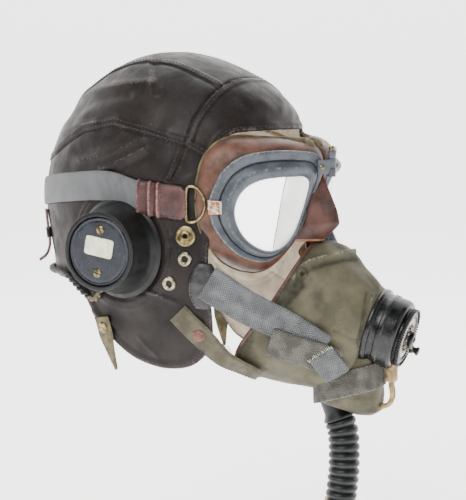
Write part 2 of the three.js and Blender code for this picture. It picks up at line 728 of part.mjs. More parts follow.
function nosePiece() {
  const inside = noseForm(touch).translate([0, 2 * (nosePieceWall + touch), 0]);
  addPiece('nose_piece', toGeometry(noseForm(0).subtract(inside)), materials.padLeather);
}

// The leather face pad behind a frame. Its rim flares out and back, and lies on the helmet at
// the temple. angle goes round from the nose over the brow, and flare and depth are shares of
// the pad's depth.
const padRim = {
  flare: [
    { angle: 0, share: 0.1 }, { angle: 45, share: 0.35 }, { angle: 90, share: 0.5 },
    { angle: 125, share: 0.8 }, { angle: 155, share: 0.6 }, { angle: 180, share: 0.4 },
    { angle: 225, share: 0.5 }, { angle: 270, share: 0.45 }, { angle: 315, share: 0.15 },
  ],
  depth: [
    { angle: 0, share: 0.6 }, { angle: 45, share: 0.75 }, { angle: 90, share: 1 },
    { angle: 180, share: 0.9 }, { angle: 270, share: 0.85 }, { angle: 315, share: 0.65 },
  ],
};
const cheekEdge = 0.577 * crownRadius; // forward distance of the helmet's edge at the cheek

// How deep the pad can reach behind a place of the frame before it meets the helmet. In front
// of the cheek's edge there is no leather to stop it.
function depthToHelmet(a, b, depth) {
  const levelAt = (d) => shellLevel(framePoint(a, b, -d));
  if (levelAt(depth) >= 1) return depth;
  let [outside, inside] = [0, depth];
  for (let i = 0; i < 20; i++) {
    const middle = (outside + inside) / 2;
    if (levelAt(middle) < 1) inside = middle;
    else outside = middle;
  }
  const hit = framePoint(a, b, -outside);
  const free = THREE.MathUtils.smoothstep(-hit.y, cheekEdge, cheekEdge + 16);
  return THREE.MathUtils.lerp(Math.max(outside - seat, 3), depth, free);
}

function facePads() {
  const rows = outerLoop.map((p) => {
    const size = Math.hypot(p.x, p.y);
    const angle = THREE.MathUtils.radToDeg(Math.atan2(p.y, p.x));
    const flare = padDepth * periodicShare(padRim.flare, angle);
    const wide = 1 + flare / size;
    const fullDepth = padDepth * periodicShare(padRim.depth, angle);
    const depth = depthToHelmet(p.x * wide, p.y * wide, fullDepth);
    const at = (out, wall) => {
      const k = 1 + (flare * out ** 0.8 - wall) / size;
      return framePoint(p.x * k, p.y * k, -1.4 - (depth - 1.4) * out);
    };
    return [at(0, 0), at(0.5, 0), at(1, 0), at(1, padWall), at(0.5, padWall), at(0, padWall)];
  });
  const right = loft(rows, { ring: true });
  const maskRoom = onHead(maskOutside(touch));
  const ringRoom = ringWireTube(ringWire + touch);
  for (const [name, side] of SIDES) {
    const ownSide = new THREE.BoxGeometry(far, 2 * far, 2 * far)
      .translate(side * (far + touch) / 2, 0, 0);
    const pad = toSolid(side === RIGHT ? right : mirrored(right)).intersect(toSolid(ownSide))
      .subtract(helmetForm).subtract(noseForm(touch)).subtract(maskRoom)
      .subtract(toSolid(side === RIGHT ? ringRoom : mirrored(ringRoom)));
    addPiece(`face_pad_${name}`, toGeometry(largest(pad)), materials.padLeather);
  }
}

// The metal hinge between the two frames: an upright barrel and a leaf over each frame.
function goggleBridge() {
  const [barrel, thick, stand] = [3.2, 1.2, 3.9];
  const axis = place(0, frameStandoff + 0.5563 * frameWidth * Math.sin(rad(frameWrap)), 0);
  const [low, high] = [-frameDrop + 0.26 * frameHeight, -frameDrop + 0.5 * frameHeight];
  let bridge = toSolid(turned([[0, low], [barrel, low], [barrel, high], [0, high]],
    axis, new THREE.Vector3(0, 0, 1), 12));
  const leafRow = (d) => [[0.475, 0.29], [0.61, 0.3], [0.61, 0.42], [0.475, 0.42]]
    .map(([a, b]) => framePoint(a * frameWidth, b * frameHeight, d));
  const leaf = loft([leafRow(stand), leafRow(stand + thick)]);
  bridge = bridge.add(toSolid(leaf)).add(toSolid(mirrored(leaf)));
  addPiece('goggle_bridge', toGeometry(bridge), materials.frameMetal);
}

// The oxygen mask. A section runs from the top of the mask to its bottom: topAhead and
// bottomAhead are shares of the mask's length, topDown and bottomDown of its height, and wide
// of its half width.
const maskSections = [
  { topAhead: 0.415, topDown: 0, bottomAhead: -0.128, bottomDown: 1, wide: 1 },
  { topAhead: 0.553, topDown: 0.02, bottomAhead: 0.234, bottomDown: 1.046, wide: 0.957 },
  { topAhead: 0.681, topDown: 0.083, bottomAhead: 0.532, bottomDown: 1.06, wide: 0.826 },
  { topAhead: 0.776, topDown: 0.2, bottomAhead: 0.69, bottomDown: 0.985, wide: 0.72 },
  { topAhead: 0.963, topDown: 0.344, bottomAhead: 0.782, bottomDown: 0.853, wide: 0.64 },
];
const maskRoundness = 2.2;
const rimBow = 14.5; // how far the rim's sides reach back beside the mouth

function spline(values, t) {
  const last = values.length - 1;
  const at = THREE.MathUtils.clamp(t, 0, 1) * last;
  const i = Math.min(Math.floor(at), last - 1);
  const pick = (k) => values[THREE.MathUtils.clamp(k, 0, last)];
  const [p, a, b, n] = [pick(i - 1), pick(i), pick(i + 1), pick(i + 2)];
  const u = at - i;
  return a + 0.5 * u * (b - p + u * (2 * p - 5 * a + 4 * b - n + u * (3 * (a - b) + n - p)));
}
const maskValue = (key, t) => spline(maskSections.map((row) => row[key]), t);
const maskHeightAt = (down) => -maskTop - down * maskHeight;

// A place s down a section (0 at its top, 1 at its bottom), in the mask's side view.
function maskSidePlace(t, s) {
  const ahead = THREE.MathUtils.lerp(maskValue('topAhead', t), maskValue('bottomAhead', t), s);
  const down = THREE.MathUtils.lerp(maskValue('topDown', t), maskValue('bottomDown', t), s);
  const inside = THREE.MathUtils.clamp(s, 0, 1);
  const bow = rimBow * Math.sin(Math.PI * inside ** 3) * (1 - t) ** 2;
  return [ahead * maskLength - bow, maskHeightAt(down)];
}
const maskHalf = (t, s) => maskHalfWidth * maskValue('wide', t)
  * Math.max(0, 1 - Math.abs(2 * s - 1) ** maskRoundness) ** (1 / maskRoundness);

function maskLoop(t, grow, around = 24) {
  const tall = maskHeight * (maskValue('bottomDown', t) - maskValue('topDown', t));
  return Array.from({ length: around }, (_, j) => {
    const turn = 2 * Math.PI * j / around;
    const bend = (v) => Math.sign(v) * Math.abs(v) ** (2 / maskRoundness);
    const s = (1 - bend(Math.cos(turn)) * (1 + 2 * grow / tall)) / 2;
    const [q, z] = maskSidePlace(t, s);
    const width = maskHalfWidth * maskValue('wide', t) + grow;
    return place(width * bend(Math.sin(turn)), q, z);
  });
}

// The mask's outer surface on one side at a place of its side view, as half its width there.
function maskBeside(q, z) {
  let [low, high] = [0, 1];
  let [t, s] = [0, 0];
  for (let i = 0; i < 30; i++) {
    t = (low + high) / 2;
    const [top, bottom] = [maskSidePlace(t, 0)[1], maskSidePlace(t, 1)[1]];
    s = THREE.MathUtils.clamp((top - z) / (top - bottom), 0, 1);
    if (maskSidePlace(t, s)[0] < q) low = t;
    else high = t;
  }
  return maskHalf(t, s);
}

// A place on the mask's side in the helmet's frame, lifted off it, with its outward direction.
function onMask(side, q, z, lift) {
  const step = 2;
  const slopeQ = (maskBeside(q + step, z) - maskBeside(q - step, z)) / (2 * step);
  const slopeZ = (maskBeside(q, z + step) - maskBeside(q, z - step)) / (2 * step);
  const outward = place(side, -slopeQ, -slopeZ).normalize();
  const middle = place(side * maskBeside(q, z), q, z).addScaledVector(outward, lift);
  return { middle: maskToHelmet(middle), outward: outward.applyAxisAngle(upright, rad(maskYaw)) };
}
const upright = new THREE.Vector3(0, 0, 1);
const maskToHelmet = (p) => p.clone().applyAxisAngle(upright, rad(maskYaw))
  .add(maskGroup.position);

// The microphone's seat on the front of the mask, and its own directions.
const seatTop = maskSidePlace(1, 0);
const seatBottom = maskSidePlace(1, 1);
const microphoneAt = place(0, (seatTop[0] + seatBottom[0]) / 2, (seatTop[1] + seatBottom[1]) / 2);
const microphoneOut = place(0, seatTop[1] - seatBottom[1], seatBottom[0] - seatTop[0])
  .normalize();
const microphoneUp = place(0, seatTop[0] - seatBottom[0], seatTop[1] - seatBottom[1]).normalize();

const maskOutside = (grow) => {
  const steps = [0, 0.14, 0.32, 0.5, 0.68, 0.85, 1];
  return toSolid(loft(steps.map((t) => maskLoop(t, grow))));
};
function maskInside() {
  const steps = [0, 0.2, 0.45, 0.7, 0.95];
  const rows = steps.map((t) => maskLoop(t, -maskWall));
  const behind = rows[0].map((p) => p.clone().setY(p.y + 2 * rimBow));
  return toSolid(loft([behind, ...rows]));
}

// The block under the mask that takes the hose. down is a share of its height, and middle,
// long and wide are shares of its half width.
const chinTop = maskTop + maskHeight - chinOverlap;
const chinSections = [
  { down: 0, middle: 3, long: 1.2, wide: 0.97 },
  { down: 0.35, middle: 3, long: 1.21, wide: 1 },
  { down: 0.65, middle: 3.02, long: 1.21, wide: 1 },
  { down: 0.8, middle: 3.14, long: 1.05, wide: 0.9 },
  { down: 0.925, middle: 3.6, long: 0.6, wide: 0.66 },
  { down: 1, middle: 3.62, long: 0.36, wide: 0.4 },
];
function chinForm(grow) {
  const around = 16;
  const last = chinSections.length - 1;
  return toSolid(loft(chinSections.map(({ down, middle, long, wide }, row) => {
    const z = -chinTop - down * chinHeight + (row === 0 ? grow : 0) - (row === last ? grow : 0);
    return Array.from({ length: around }, (_, j) => {
      const turn = 2 * Math.PI * j / around;
      const bend = (v) => Math.sign(v) * Math.abs(v) ** 0.6;
      return place((wide * chinHalfWidth + grow) * bend(Math.sin(turn)),
        middle * chinHalfWidth + (long * chinHalfWidth + grow) * bend(Math.cos(turn)), z);
    });
  })));
}
const microphoneFlange = microphoneRadius + 2.5;
const microphoneForm = (grow) => toSolid(turned([
  [0, -grow], [microphoneFlange + grow, -grow],
  [microphoneFlange + grow, 4 + grow], [microphoneRadius + grow, 5 + grow],
  [microphoneRadius + grow, microphoneDepth + 4], [0, microphoneDepth + 4],
], microphoneAt, microphoneOut, 24));

function maskBody() {
  const chin = chinForm(0).subtract(microphoneForm(touch));
  const body = maskOutside(0).add(chin).subtract(maskInside());
  addPiece('mask_body', toGeometry(body), materials.maskFabric, maskGroup);

  const strip = [[0, -1], [6, -1], [6, 1], [0, 1]].map(([share, edge]) => {
    const q = share * chinHalfWidth;
    const rise = (q - 3 * chinHalfWidth) * chinBandSlope;
    return [q, -chinTop - chinBandBelow + rise + edge * chinBandHeight / 2];
  });
  const band = chinForm(seat + webbingThickness).subtract(chinForm(seat))
    .intersect(toSolid(sidePrism(strip, -far, far)))
    .subtract(maskOutside(seat)).subtract(microphoneForm(seat)).subtract(hoseNeck(seat));
  addPiece('chin_band', toGeometry(largest(band)), materials.webbing, maskGroup);
}

function microphone() {
  const [radius, depth] = [microphoneRadius, microphoneDepth];
  const body = turned([
    [0, touch], [microphoneFlange, touch], [microphoneFlange, 4], [radius, 5], [radius, depth - 2],
    [radius - 1.6, depth], [radius - 5.5, depth], [radius - 5.5, depth + 3],
    [radius - 7, depth + 4.5], [7, depth + 4.5], [7, depth + 6], [0, depth + 6],
  ], microphoneAt, microphoneOut, 18);
  addPiece('mic_body', body, materials.bakelite, maskGroup);

  const hub = depth + 6 + touch;
  const [hubRadius, knobRadius, knobReach, armHalf] = [6, 3.4, 16.4, 2];
  const leverTurn = 38.5; // degrees that the lever is turned below level
  const ahead = new THREE.Vector3(Math.cos(rad(leverTurn)), 0, 0)
    .addScaledVector(microphoneUp, -Math.sin(rad(leverTurn)));
  const beside = microphoneOut.clone().cross(ahead);
  const leverPoint = (a, b, h) => microphoneAt.clone().addScaledVector(ahead, a)
    .addScaledVector(beside, b).addScaledVector(microphoneOut, h);
  const armRow = (h) => [[0, -armHalf], [knobReach, -armHalf], [knobReach, armHalf], [0, armHalf]]
    .map(([a, b]) => leverPoint(a, b, h));
  const lever = toSolid(turned([[0, hub], [hubRadius, hub], [hubRadius, hub + 2.6], [0, hub + 3]],
    microphoneAt, microphoneOut, 16))
    .add(toSolid(loft([armRow(hub), armRow(hub + 2)])))
    .add(toSolid(turned([[0, hub - 0.6], [knobRadius, hub - 0.6], [knobRadius, hub + 6],
      [knobRadius - 1, hub + 7], [0, hub + 7]], leverPoint(knobReach, 0, 0), microphoneOut, 12)));
  addPiece('mic_switch', toGeometry(lever), materials.bakelite, maskGroup);
}

// The microphone's plug and its lead, which runs down into the chin block. Heights are from the
// bottom of the mask's rim.
const maskBottom = -maskTop - maskHeight;
const leadRoute = [[96.4, 0.6], [96.5, -2], [97.3, -6.5], [97, -12], [94, -17], [86, -19.5]]
  .map(([ahead, up]) => [ahead, maskBottom + up]);
function microphoneLead() {
  const [ahead, bottom] = leadRoute[0];
  const plug = turned([[0, bottom + touch], [4, bottom + touch], [5, bottom + 2],
    [5, bottom + 16], [0, bottom + 16]], place(0, ahead, 0), upright, 12);
  const seated = toSolid(plug).subtract(microphoneForm(touch));
  addPiece('mic_plug', toGeometry(seated), materials.copper, maskGroup);
  const tube = wireTube(leadRoute.map(([q, z]) => place(0, q, z)), leadRadius, 10);
  const lead = largest(toSolid(tube).subtract(chinForm(touch)));
  addPiece('mic_lead', toGeometry(lead), materials.cord, maskGroup);
}

// The hose's middle line in the mask's side view, chosen by hand, from the same height.
const hoseRoute = [[55, -31], [56.8, -36], [58, -41], [58.8, -49], [59, -57], [59, -66],
  [58.6, -74], [57.8, -82], [57, -89], [56.6, -94]];
const hosePoints = hoseRoute.map(([ahead, up]) => place(0, ahead, maskBottom + up));
const hoseCurve = new THREE.CatmullRomCurve3(hosePoints, false, 'centripetal');
const hoseCuff = hoseRadius - 0.5;
const hoseNeck = (grow) => toSolid(turned([
  [0, touch - grow], [hoseCuff + grow, touch - grow], [hoseCuff + grow, 3],
  [hoseNeckRadius + grow, 5], [hoseNeckRadius + grow, hoseNeckLength], [0, hoseNeckLength],
], hosePoints[0], hoseCurve.getTangent(0).negate(), 12));
function hose() {
  addPiece('hose_neck', toGeometry(hoseNeck(0).subtract(chinForm(touch))),
    materials.hoseRubber, maskGroup);
  addPiece('hose', wireTube(hosePoints, hoseRadius, 12, 10), materials.hoseRubber, maskGroup);
  const end = hosePoints.at(-1);
  const onward = hoseCurve.getTangent(1);
  const connector = turned([[0, touch], [hoseRadius + 0.6, touch], [hoseRadius + 0.6, 8],
    [hoseRadius - 2, 10], [hoseRadius - 2, 20], [hoseRadius - 0.5, 21],
    [hoseRadius - 0.5, 24], [hoseRadius - 3, 25], [hoseRadius - 3, connectorLength],
    [0, connectorLength]], end, onward, 14);
  addPiece('hose_connector', connector, materials.brass, maskGroup);
}

// Bands along a route of places that each have a middle and an outward direction.
function routeBand(route, width, thickness, steps, taper = () => 1) {
  const middles = new THREE.CatmullRomCurve3(route.map(({ middle }) => middle), false,
    'centripetal');
  const outwards = new THREE.CatmullRomCurve3(route.map(({ outward }) => outward));
  return loft(Array.from({ length: steps + 1 }, (_, i) => {
    const t = i / steps;
    const middle = middles.getPoint(t);
    const along = middles.getTangent(t);
    const outward = outwards.getPoint(t);
    outward.addScaledVector(along, -outward.dot(along)).normalize();
    const across = along.clone().cross(outward);
    const corner = (a, o) => middle.clone().addScaledVector(across, a * width * taper(t) / 2)
      .addScaledVector(outward, o * thickness);
    return [corner(-1, 0), corner(-1, 1), corner(1, 1), corner(1, 0)];
  }));
}

// A place beside a side-view place of the helmet, lifted off the leather.
function onHelmet(side, spot, lift) {
  const at = shellBeside(spot, side);
  const outward = shellNormal(at);
  return { middle: at.addScaledVector(outward, lift), outward };
}

// Places on the mask's sides where the straps lie, ahead and up. The mask hangs turned, so its
// left side stands further back.
const strapsOnMask = {
  right: { upper: [[24, -204], [40, -211], [56, -218], [67, -222]], lower: [[-9, -240], [-1, -244]] },
  left: { upper: [[42, -209], [50, -213], [58, -218], [67, -222]], lower: [[14, -243], [22, -246]] },
};
const foldOnMask = [[34, -234], [46, -238], [58, -240], [67, -238]];

// The middle of a free stretch between two places, moved outward and down.
const between = (from, to, out, down) => {
  const outward = from.outward.clone().add(to.outward).normalize();
  const middle = from.middle.clone().lerp(to.middle, 0.5).addScaledVector(outward, out);
  return { middle: middle.add(place(0, 0, -down)), outward };
};

function harness() {
  const bandRoom = seat + webbingThickness + touch;
  const maskForm = onHead(maskOutside(touch).add(chinForm(bandRoom)).add(microphoneForm(touch)));
  const clear = (strap) => toGeometry(largest(strap.subtract(maskForm).subtract(helmetForm)));
  for (const [name, side] of SIDES) {
    const hook = [0.5, 0.17, -0.17, -0.5].map((share) => onHelmet(side,
      [hookAt[0] + 0.12 * share * hookLength, hookAt[1] + share * hookLength], seat));
    addPiece(`cheek_hook_${name}`, clear(toSolid(routeBand(hook, hookWidth, hookThickness, 6))),
      materials.helmetLeather);

    const webStart = onHelmet(side, [hookAt[0] + 3, hookAt[1] - 3], seat + hookThickness + touch);
    const onSide = strapsOnMask[name].upper.map(([q, z]) => onMask(side, q, z, 1.3));
    const upper = [webStart, between(webStart, onSide[0], 7, 0), ...onSide];
    const folded = foldOnMask.map(([q, z]) => onMask(side, q, z, 1.6));
    const webbing = toSolid(routeBand(upper, webbingWidth, webbingThickness, 9))
      .add(toSolid(routeBand(folded, webbingWidth, webbingThickness, 5)));
    addPiece(`upper_webbing_${name}`, clear(webbing), materials.webbing);

    const rivetAt = onHelmet(side, rivetSpot, seat + 0.6);
    const [rear, front] = strapsOnMask[name].lower.map(([q, z]) => onMask(side, q, z, 1.6));
    const lower = [onHelmet(side, onSideView(0.3846, -0.5105), seat),
      onHelmet(side, onSideView(0.4385, -0.572), seat),
      rivetAt, between(rivetAt, rear, 2, 3), rear, front];
    addPiece(`lower_strap_${name}`,
      clear(toSolid(routeBand(lower, khakiWidth, khakiThickness, 12))), materials.khaki);
    const rivet = toSolid(turned([[0, khakiThickness - 1], [rivetRadius, khakiThickness - 1],
      [rivetRadius, khakiThickness + 1], [0, khakiThickness + 1.6]],
    rivetAt.middle, rivetAt.outward, 12));
    const room = toSolid(routeBand(lower, khakiWidth, khakiThickness + touch, 12));
    addPiece(`strap_rivet_${name}`, toGeometry(rivet.subtract(room)), materials.copper);
  }
}

// The tabs at the back of the helmet, on both sides.
function rearTabs() {
  const nape = [[0.0357, 0], [-0.0412, 0], [-0.1258, 0], [-0.1951, 1], [-0.2489, 5], [-0.2797, 11]]
    .map(([up, curl]) => {
      const at = shellAtBearing(napeBearing, earLine + up * crownRadius);
      const outward = shellNormal(at);
      return { middle: at.addScaledVector(outward, seat + curl), outward };
    });
  const tab = routeBand(nape, tabWidth, napeTabThickness, 8);
  const neck = [onHelmet(RIGHT, onSideView(-0.1692, -0.5874), seat),
    onHelmet(RIGHT, onSideView(-0.1538, -0.6489), seat)];
  const [edge] = neck.slice(-1);
  for (const [drop, ahead, inward] of [[10, 1.5, 2], [20, 4, 4], [32, 7, 6]]) {
    neck.push({ middle: edge.middle.clone().add(place(inward, ahead, -drop)),
      outward: edge.outward });
  }
  const point = (t) => (t < 0.35 ? 1 : 1 - 0.85 * (t - 0.35) / 0.65);
  const flap = routeBand(neck, tabWidth, neckTabThickness, 8, point);
  addPair('nape_tab', tab, materials.redLeather);
  addPair('neck_tab', flap, materials.khaki);
}

// The lead between the receivers: out of each cup's foot, down, and round the nape.
function receiverLead() {
  const lift = receiverLeadRadius + 1.2;
  const beside = [[-0.1077, -0.3335], [-0.1385, -0.4182], [-0.1923, -0.4643],
    [-0.2692, -0.4335], [-0.3538, -0.3797]];
  const bearings = [128, 140, 155, 170, 180];
  const belowCup = beside.map((spot) => onHelmet(RIGHT, onSideView(...spot), lift).middle);
  const roundNape = bearings.map((bearing) => {
    const at = shellAtBearing(bearing, earLine - 0.3297 * crownRadius);
    return at.clone().addScaledVector(shellNormal(at), lift - 0.6);
  });
  const right = [...belowCup, ...roundNape];
  const left = right.slice(0, -1).reverse().map((p) => new THREE.Vector3(-p.x, p.y, p.z));
  const tube = toSolid(wireTube([...right, ...left], receiverLeadRadius, 30, 6));
  const cup = turned([[0, -20], [cupFlange + touch, -20], [cupFlange + touch, 0.8 + touch],
    [cupFoot + 2 * touch, 3.5 + touch], [cupFoot, 8], [0, 8]], cupFootAt, cupOut, 20);
  const lead = tube.subtract(toSolid(cup)).subtract(toSolid(mirrored(cup)));
  addPiece('receiver_lead', toGeometry(largest(lead)), materials.cord);
}

crownPanels();
earCups();
cheekStuds();
goggleStrap();
lensFrames();
facePads();
nosePiece();
goggleBridge();
maskBody();
microphone();
microphoneLead();
hose();
harness();
rearTabs();
receiverLead();

export default group;
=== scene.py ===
"""Dresses a leather flying helmet with its goggles and oxygen mask for rendering.

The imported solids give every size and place. Each operator makes one piece or one group of
like pieces, in the helmet's own frame: +Z up, the wearer faces -Y, +X is the wearer's left,
and the origin is the highest point inside the crown. Sizes in the script are millimetres
until a mesh is made, and places in the side view are a forward distance f, which is -Y,
and a height z.
"""

import math

import bmesh
import bpy
import numpy as np
from mathutils import Matrix, Vector, noise


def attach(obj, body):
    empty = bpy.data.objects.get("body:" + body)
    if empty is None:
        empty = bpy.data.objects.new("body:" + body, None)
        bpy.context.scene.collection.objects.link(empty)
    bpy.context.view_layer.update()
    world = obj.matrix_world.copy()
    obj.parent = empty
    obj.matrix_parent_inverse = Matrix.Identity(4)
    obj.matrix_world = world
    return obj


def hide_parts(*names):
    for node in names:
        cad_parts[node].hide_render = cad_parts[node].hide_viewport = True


bl_info = {
    "name": "Leather Flying Helmet",
    "version": (1, 0, 0),
    "blender": (4, 5, 0),
    "location": "View3D > Sidebar > Helmet",
    "description": "Dresses a leather flying helmet with its goggles and oxygen mask",
    "category": "Object",
}

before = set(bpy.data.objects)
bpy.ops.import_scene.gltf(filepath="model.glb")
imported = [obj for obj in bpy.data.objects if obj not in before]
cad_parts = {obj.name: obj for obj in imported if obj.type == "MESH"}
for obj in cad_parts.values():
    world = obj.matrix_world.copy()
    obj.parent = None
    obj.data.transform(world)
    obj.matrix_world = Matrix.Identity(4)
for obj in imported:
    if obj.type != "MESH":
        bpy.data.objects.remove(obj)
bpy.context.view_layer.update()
MM = 0.001
UP = np.array([0.0, 0.0, 1.0])
RIGHT, LEFT = -1, 1
SIDES = (("right", RIGHT), ("left", LEFT))

# Helmet shell
CROWN_RADIUS = 130.0
HALF_WIDTH = 88.0
LEATHER_WALL = 2.4
BOXINESS = 2.3
EAR_LINE = LEATHER_WALL - 1.008 * CROWN_RADIUS
STRIP_HALF_WIDTH = 38.0
SEAT = 0.4
TOUCH = 0.3

# Ear cups and receiver caps
EAR_FORWARD = 2.0
EAR_DROP = 19.0
EAR_TURN = 8.0
EAR_HOLE = 24.0
CUP_FLANGE = 39.0
CUP_FOOT = 34.5
CUP_MOUTH = 29.2
CUP_DEPTH = 31.0
CAP_RADIUS = 26.0
CAP_THICKNESS = 3.4
SCREW_SPACING = 33.0
SCREW_RADIUS = 3.2
LABEL_WIDTH = 24.5
LABEL_HEIGHT = 14.5

# Goggles and their strap
FRAME_WIDTH = 90.0
FRAME_HEIGHT = 83.0
FRAME_STANDOFF = 105.0
FRAME_SPREAD = 44.0
FRAME_DROP = 114.0
FRAME_WRAP = 42.0
FRAME_BULGE = 8.0
GLASS_THICKNESS = 1.8
CLIP_WIDTH = 11.0
PAD_DEPTH = 21.0
NOSE_WALL = 2.0
NOSE_REACH = 39.0
NOSE_HEIGHT = 50.0
NOSE_HALF_WIDTH = 24.0
NOSE_TOP = 92.0
STRAP_WIDTH = 23.0
STRAP_THICKNESS = 1.4
STRAP_END_WIDTH = 26.0
STRAP_END_THICKNESS = 3.0
RING_WIRE = 1.1

# Oxygen mask and microphone
MASK_YAW = 15.0
MASK_PIVOT = 85.0
MASK_HALF_WIDTH = 46.0
MASK_LENGTH = 94.0
MASK_HEIGHT = 109.0
MASK_TOP = 142.0
MASK_WALL = 2.4
MASK_ROUNDNESS = 2.2
RIM_BOW = 14.5
MIC_RADIUS = 27.5
MIC_DEPTH = 24.0
CHIN_HALF_WIDTH = 21.0

# Harness, leads and hose
WEBBING_WIDTH = 24.0
WEBBING_THICKNESS = 1.5
KHAKI_WIDTH = 19.0
KHAKI_THICKNESS = 2.0
RIVET_RADIUS = 5.2
RECEIVER_LEAD_RADIUS = 2.2
HOSE_RADIUS = 12.3
HOSE_NECK_RADIUS = 9.6
CONNECTOR_LENGTH = 30.0
HOOK_AT = (72.0, -170.5)
HOOK_LENGTH = 24.0
HOOK_WIDTH = 23.0
HOOK_THICKNESS = 5.0
RIVET_SPOT = (64.0, -211.0)
CHIN_BAND_HEIGHT = 20.0
CHIN_BAND_SLOPE = 0.29
CHIN_BAND_DROP = 251.0
TAB_WIDTH = 16.0
NAPE_BEARING = 150.0

# The photograph's view: its size in pixels, and the camera's place round the helmet
PHOTO_WIDTH, PHOTO_HEIGHT = 466, 500
VIEW_TURN = math.radians(35)
VIEW_RISE = math.radians(6)
VIEW_DISTANCE = 1400.0
VIEW_SCALE = 1.25  # pixels per millimetre at the target
TO_CAMERA = np.array([
    -math.cos(VIEW_TURN) * math.cos(VIEW_RISE),
    -math.sin(VIEW_TURN) * math.cos(VIEW_RISE),
    math.sin(VIEW_RISE),
])
TO_RIGHT = np.array([math.sin(VIEW_TURN), -math.cos(VIEW_TURN), 0.0])
TO_TOP = np.cross(TO_CAMERA, TO_RIGHT)
TARGET = 38.4 * TO_RIGHT - 156.0 * TO_TOP


# Points, curves and surfaces


def place(x, f, z):
    """Points from sideways distance, forward distance and height."""
    x, f, z = np.broadcast_arrays(np.asarray(x, float), f, z)
    return np.stack([x, -f, z], -1)


def unit(v):
    """The same directions with a length of one."""
    v = np.asarray(v, float)
    return v / np.linalg.norm(v, axis=-1, keepdims=True)


def smoothstep(low, high, value):
    """0 below low, 1 above high and a soft rise between."""
    t = np.clip((value - low) / (high - low), 0, 1)
    return t * t * (3 - 2 * t)


def bell(distance, width):
    """1 at no distance, and next to nothing beyond twice the width."""
    return np.exp(-((distance / width) ** 2))


def side_place(share):
    """Side-view places from shares of the crown radius, counted from the ear line."""
    share = np.asarray(share, float)
    return share * CROWN_RADIUS + np.array([0.0, EAR_LINE])


def periodic_share(table, angle):
    """A smooth curve through a table of angles and shares that closes on itself."""
    angles = np.array([row[0] for row in table], float)
    shares = np.array([row[1] for row in table], float)
    turn = np.mod(angle, 360.0)
    i = np.searchsorted(angles, turn, side="right")

    def at(k):
        return (angles[np.mod(k, len(table))] + 360.0 * np.floor_divide(k, len(table)),
                shares[np.mod(k, len(table))])

    (pa, ps), (aa, as_), (ba, bs), (na, ns) = at(i - 2), at(i - 1), at(i), at(i + 1)
    t = (turn - aa) / (ba - aa)
    slope_a = (bs - ps) / (ba - pa) * (ba - aa)
    slope_b = (ns - as_) / (na - aa) * (ba - aa)
    return ((2 * t ** 3 - 3 * t ** 2 + 1) * as_ + (t ** 3 - 2 * t ** 2 + t) * slope_a
            + (3 * t ** 2 - 2 * t ** 3) * bs + (t ** 3 - t ** 2) * slope_b)


def smooth_curve(points, shares, closed=False):
    """Centripetal curve through points, read at shares of its number of stretches."""
    points = np.asarray(points, float)
    count = len(points)
    stretches = count if closed else count - 1
    at = np.clip(np.asarray(shares, float), 0, 1) * stretches
    if closed:
        at = np.mod(at, stretches)
    i = np.minimum(np.floor(at).astype(int), stretches - 1)
    w = (at - i)[:, None]

    def pick(k):
        if closed:
            return points[np.mod(k, count)]
        inside = points[np.clip(k, 0, count - 1)]
        before = 2 * points[0] - points[1]
        after = 2 * points[-1] - points[-2]
        inside = np.where((k < 0)[:, None], before, inside)
        return np.where((k > count - 1)[:, None], after, inside)

    p0, p1, p2, p3 = pick(i - 1), pick(i), pick(i + 1), pick(i + 2)
    d0 = np.sqrt(np.maximum(np.linalg.norm(p1 - p0, axis=1), 1e-9))[:, None]
    d1 = np.sqrt(np.maximum(np.linalg.norm(p2 - p1, axis=1), 1e-9))[:, None]
    d2 = np.sqrt(np.maximum(np.linalg.norm(p3 - p2, axis=1), 1e-9))[:, None]
    m1 = ((p1 - p0) / d0 - (p2 - p0) / (d0 + d1) + (p2 - p1) / d1) * d1
    m2 = ((p2 - p1) / d1 - (p3 - p1) / (d1 + d2) + (p3 - p2) / d2) * d1
    return ((2 * w ** 3 - 3 * w ** 2 + 1) * p1 + (w ** 3 - 2 * w ** 2 + w) * m1
            + (-2 * w ** 3 + 3 * w ** 2) * p2 + (w ** 3 - w ** 2) * m2)


def run_along(points):
    """The distance run along a line at each of its points."""
    return np.concatenate([[0], np.cumsum(np.linalg.norm(np.diff(points, axis=0), axis=1))])


def even_curve(points, step, closed=False):
    """The same curve as points a fixed distance apart, and the distance run at each."""
    fine = smooth_curve(points, np.linspace(0, 1, 40 * len(points)), closed)
    if closed:
        fine[-1] = fine[0]
    run = run_along(fine)
    count = max(3, int(round(run[-1] / step)))
    at = np.linspace(0, run[-1], count + 1)
    even = np.stack([np.interp(at, run, fine[:, k]) for k in range(fine.shape[1])], 1)
    return (even[:-1], at[:-1]) if closed else (even, at)


SIDE_OUTLINE = [
    (0, 0.84), (25, 0.87), (38, 0.906), (46, 0.966), (60, 0.98), (70, 0.978), (79, 0.99),
    (90, 1.008), (108, 1.015), (120, 1.003), (134, 0.985), (150, 0.968), (168, 0.927),
    (186, 0.885), (201, 0.9), (225, 1.02), (250, 1.17), (270, 1.2), (290, 1.2),
    (315, 1.12), (340, 0.98),
]


def outline_radius(angle):
    """How far the crown's outline lies from its middle, by angle."""
    return CROWN_RADIUS * periodic_share(SIDE_OUTLINE, angle)


def shell_level(p):
    """1 on the outside of the helmet's shell, less inside it."""
    forward = -p[..., 1]
    rise = p[..., 2] - EAR_LINE
    angle = np.degrees(np.arctan2(rise, forward))
    return ((np.abs(p[..., 0]) / HALF_WIDTH) ** BOXINESS
            + (np.hypot(forward, rise) / outline_radius(angle)) ** BOXINESS)


def shell_normal(p):
    """The way straight out of the helmet's shell."""
    step = 0.5
    slope = [shell_level(p + step * axis) - shell_level(p - step * axis) for axis in np.eye(3)]
    return unit(np.stack(slope, -1))


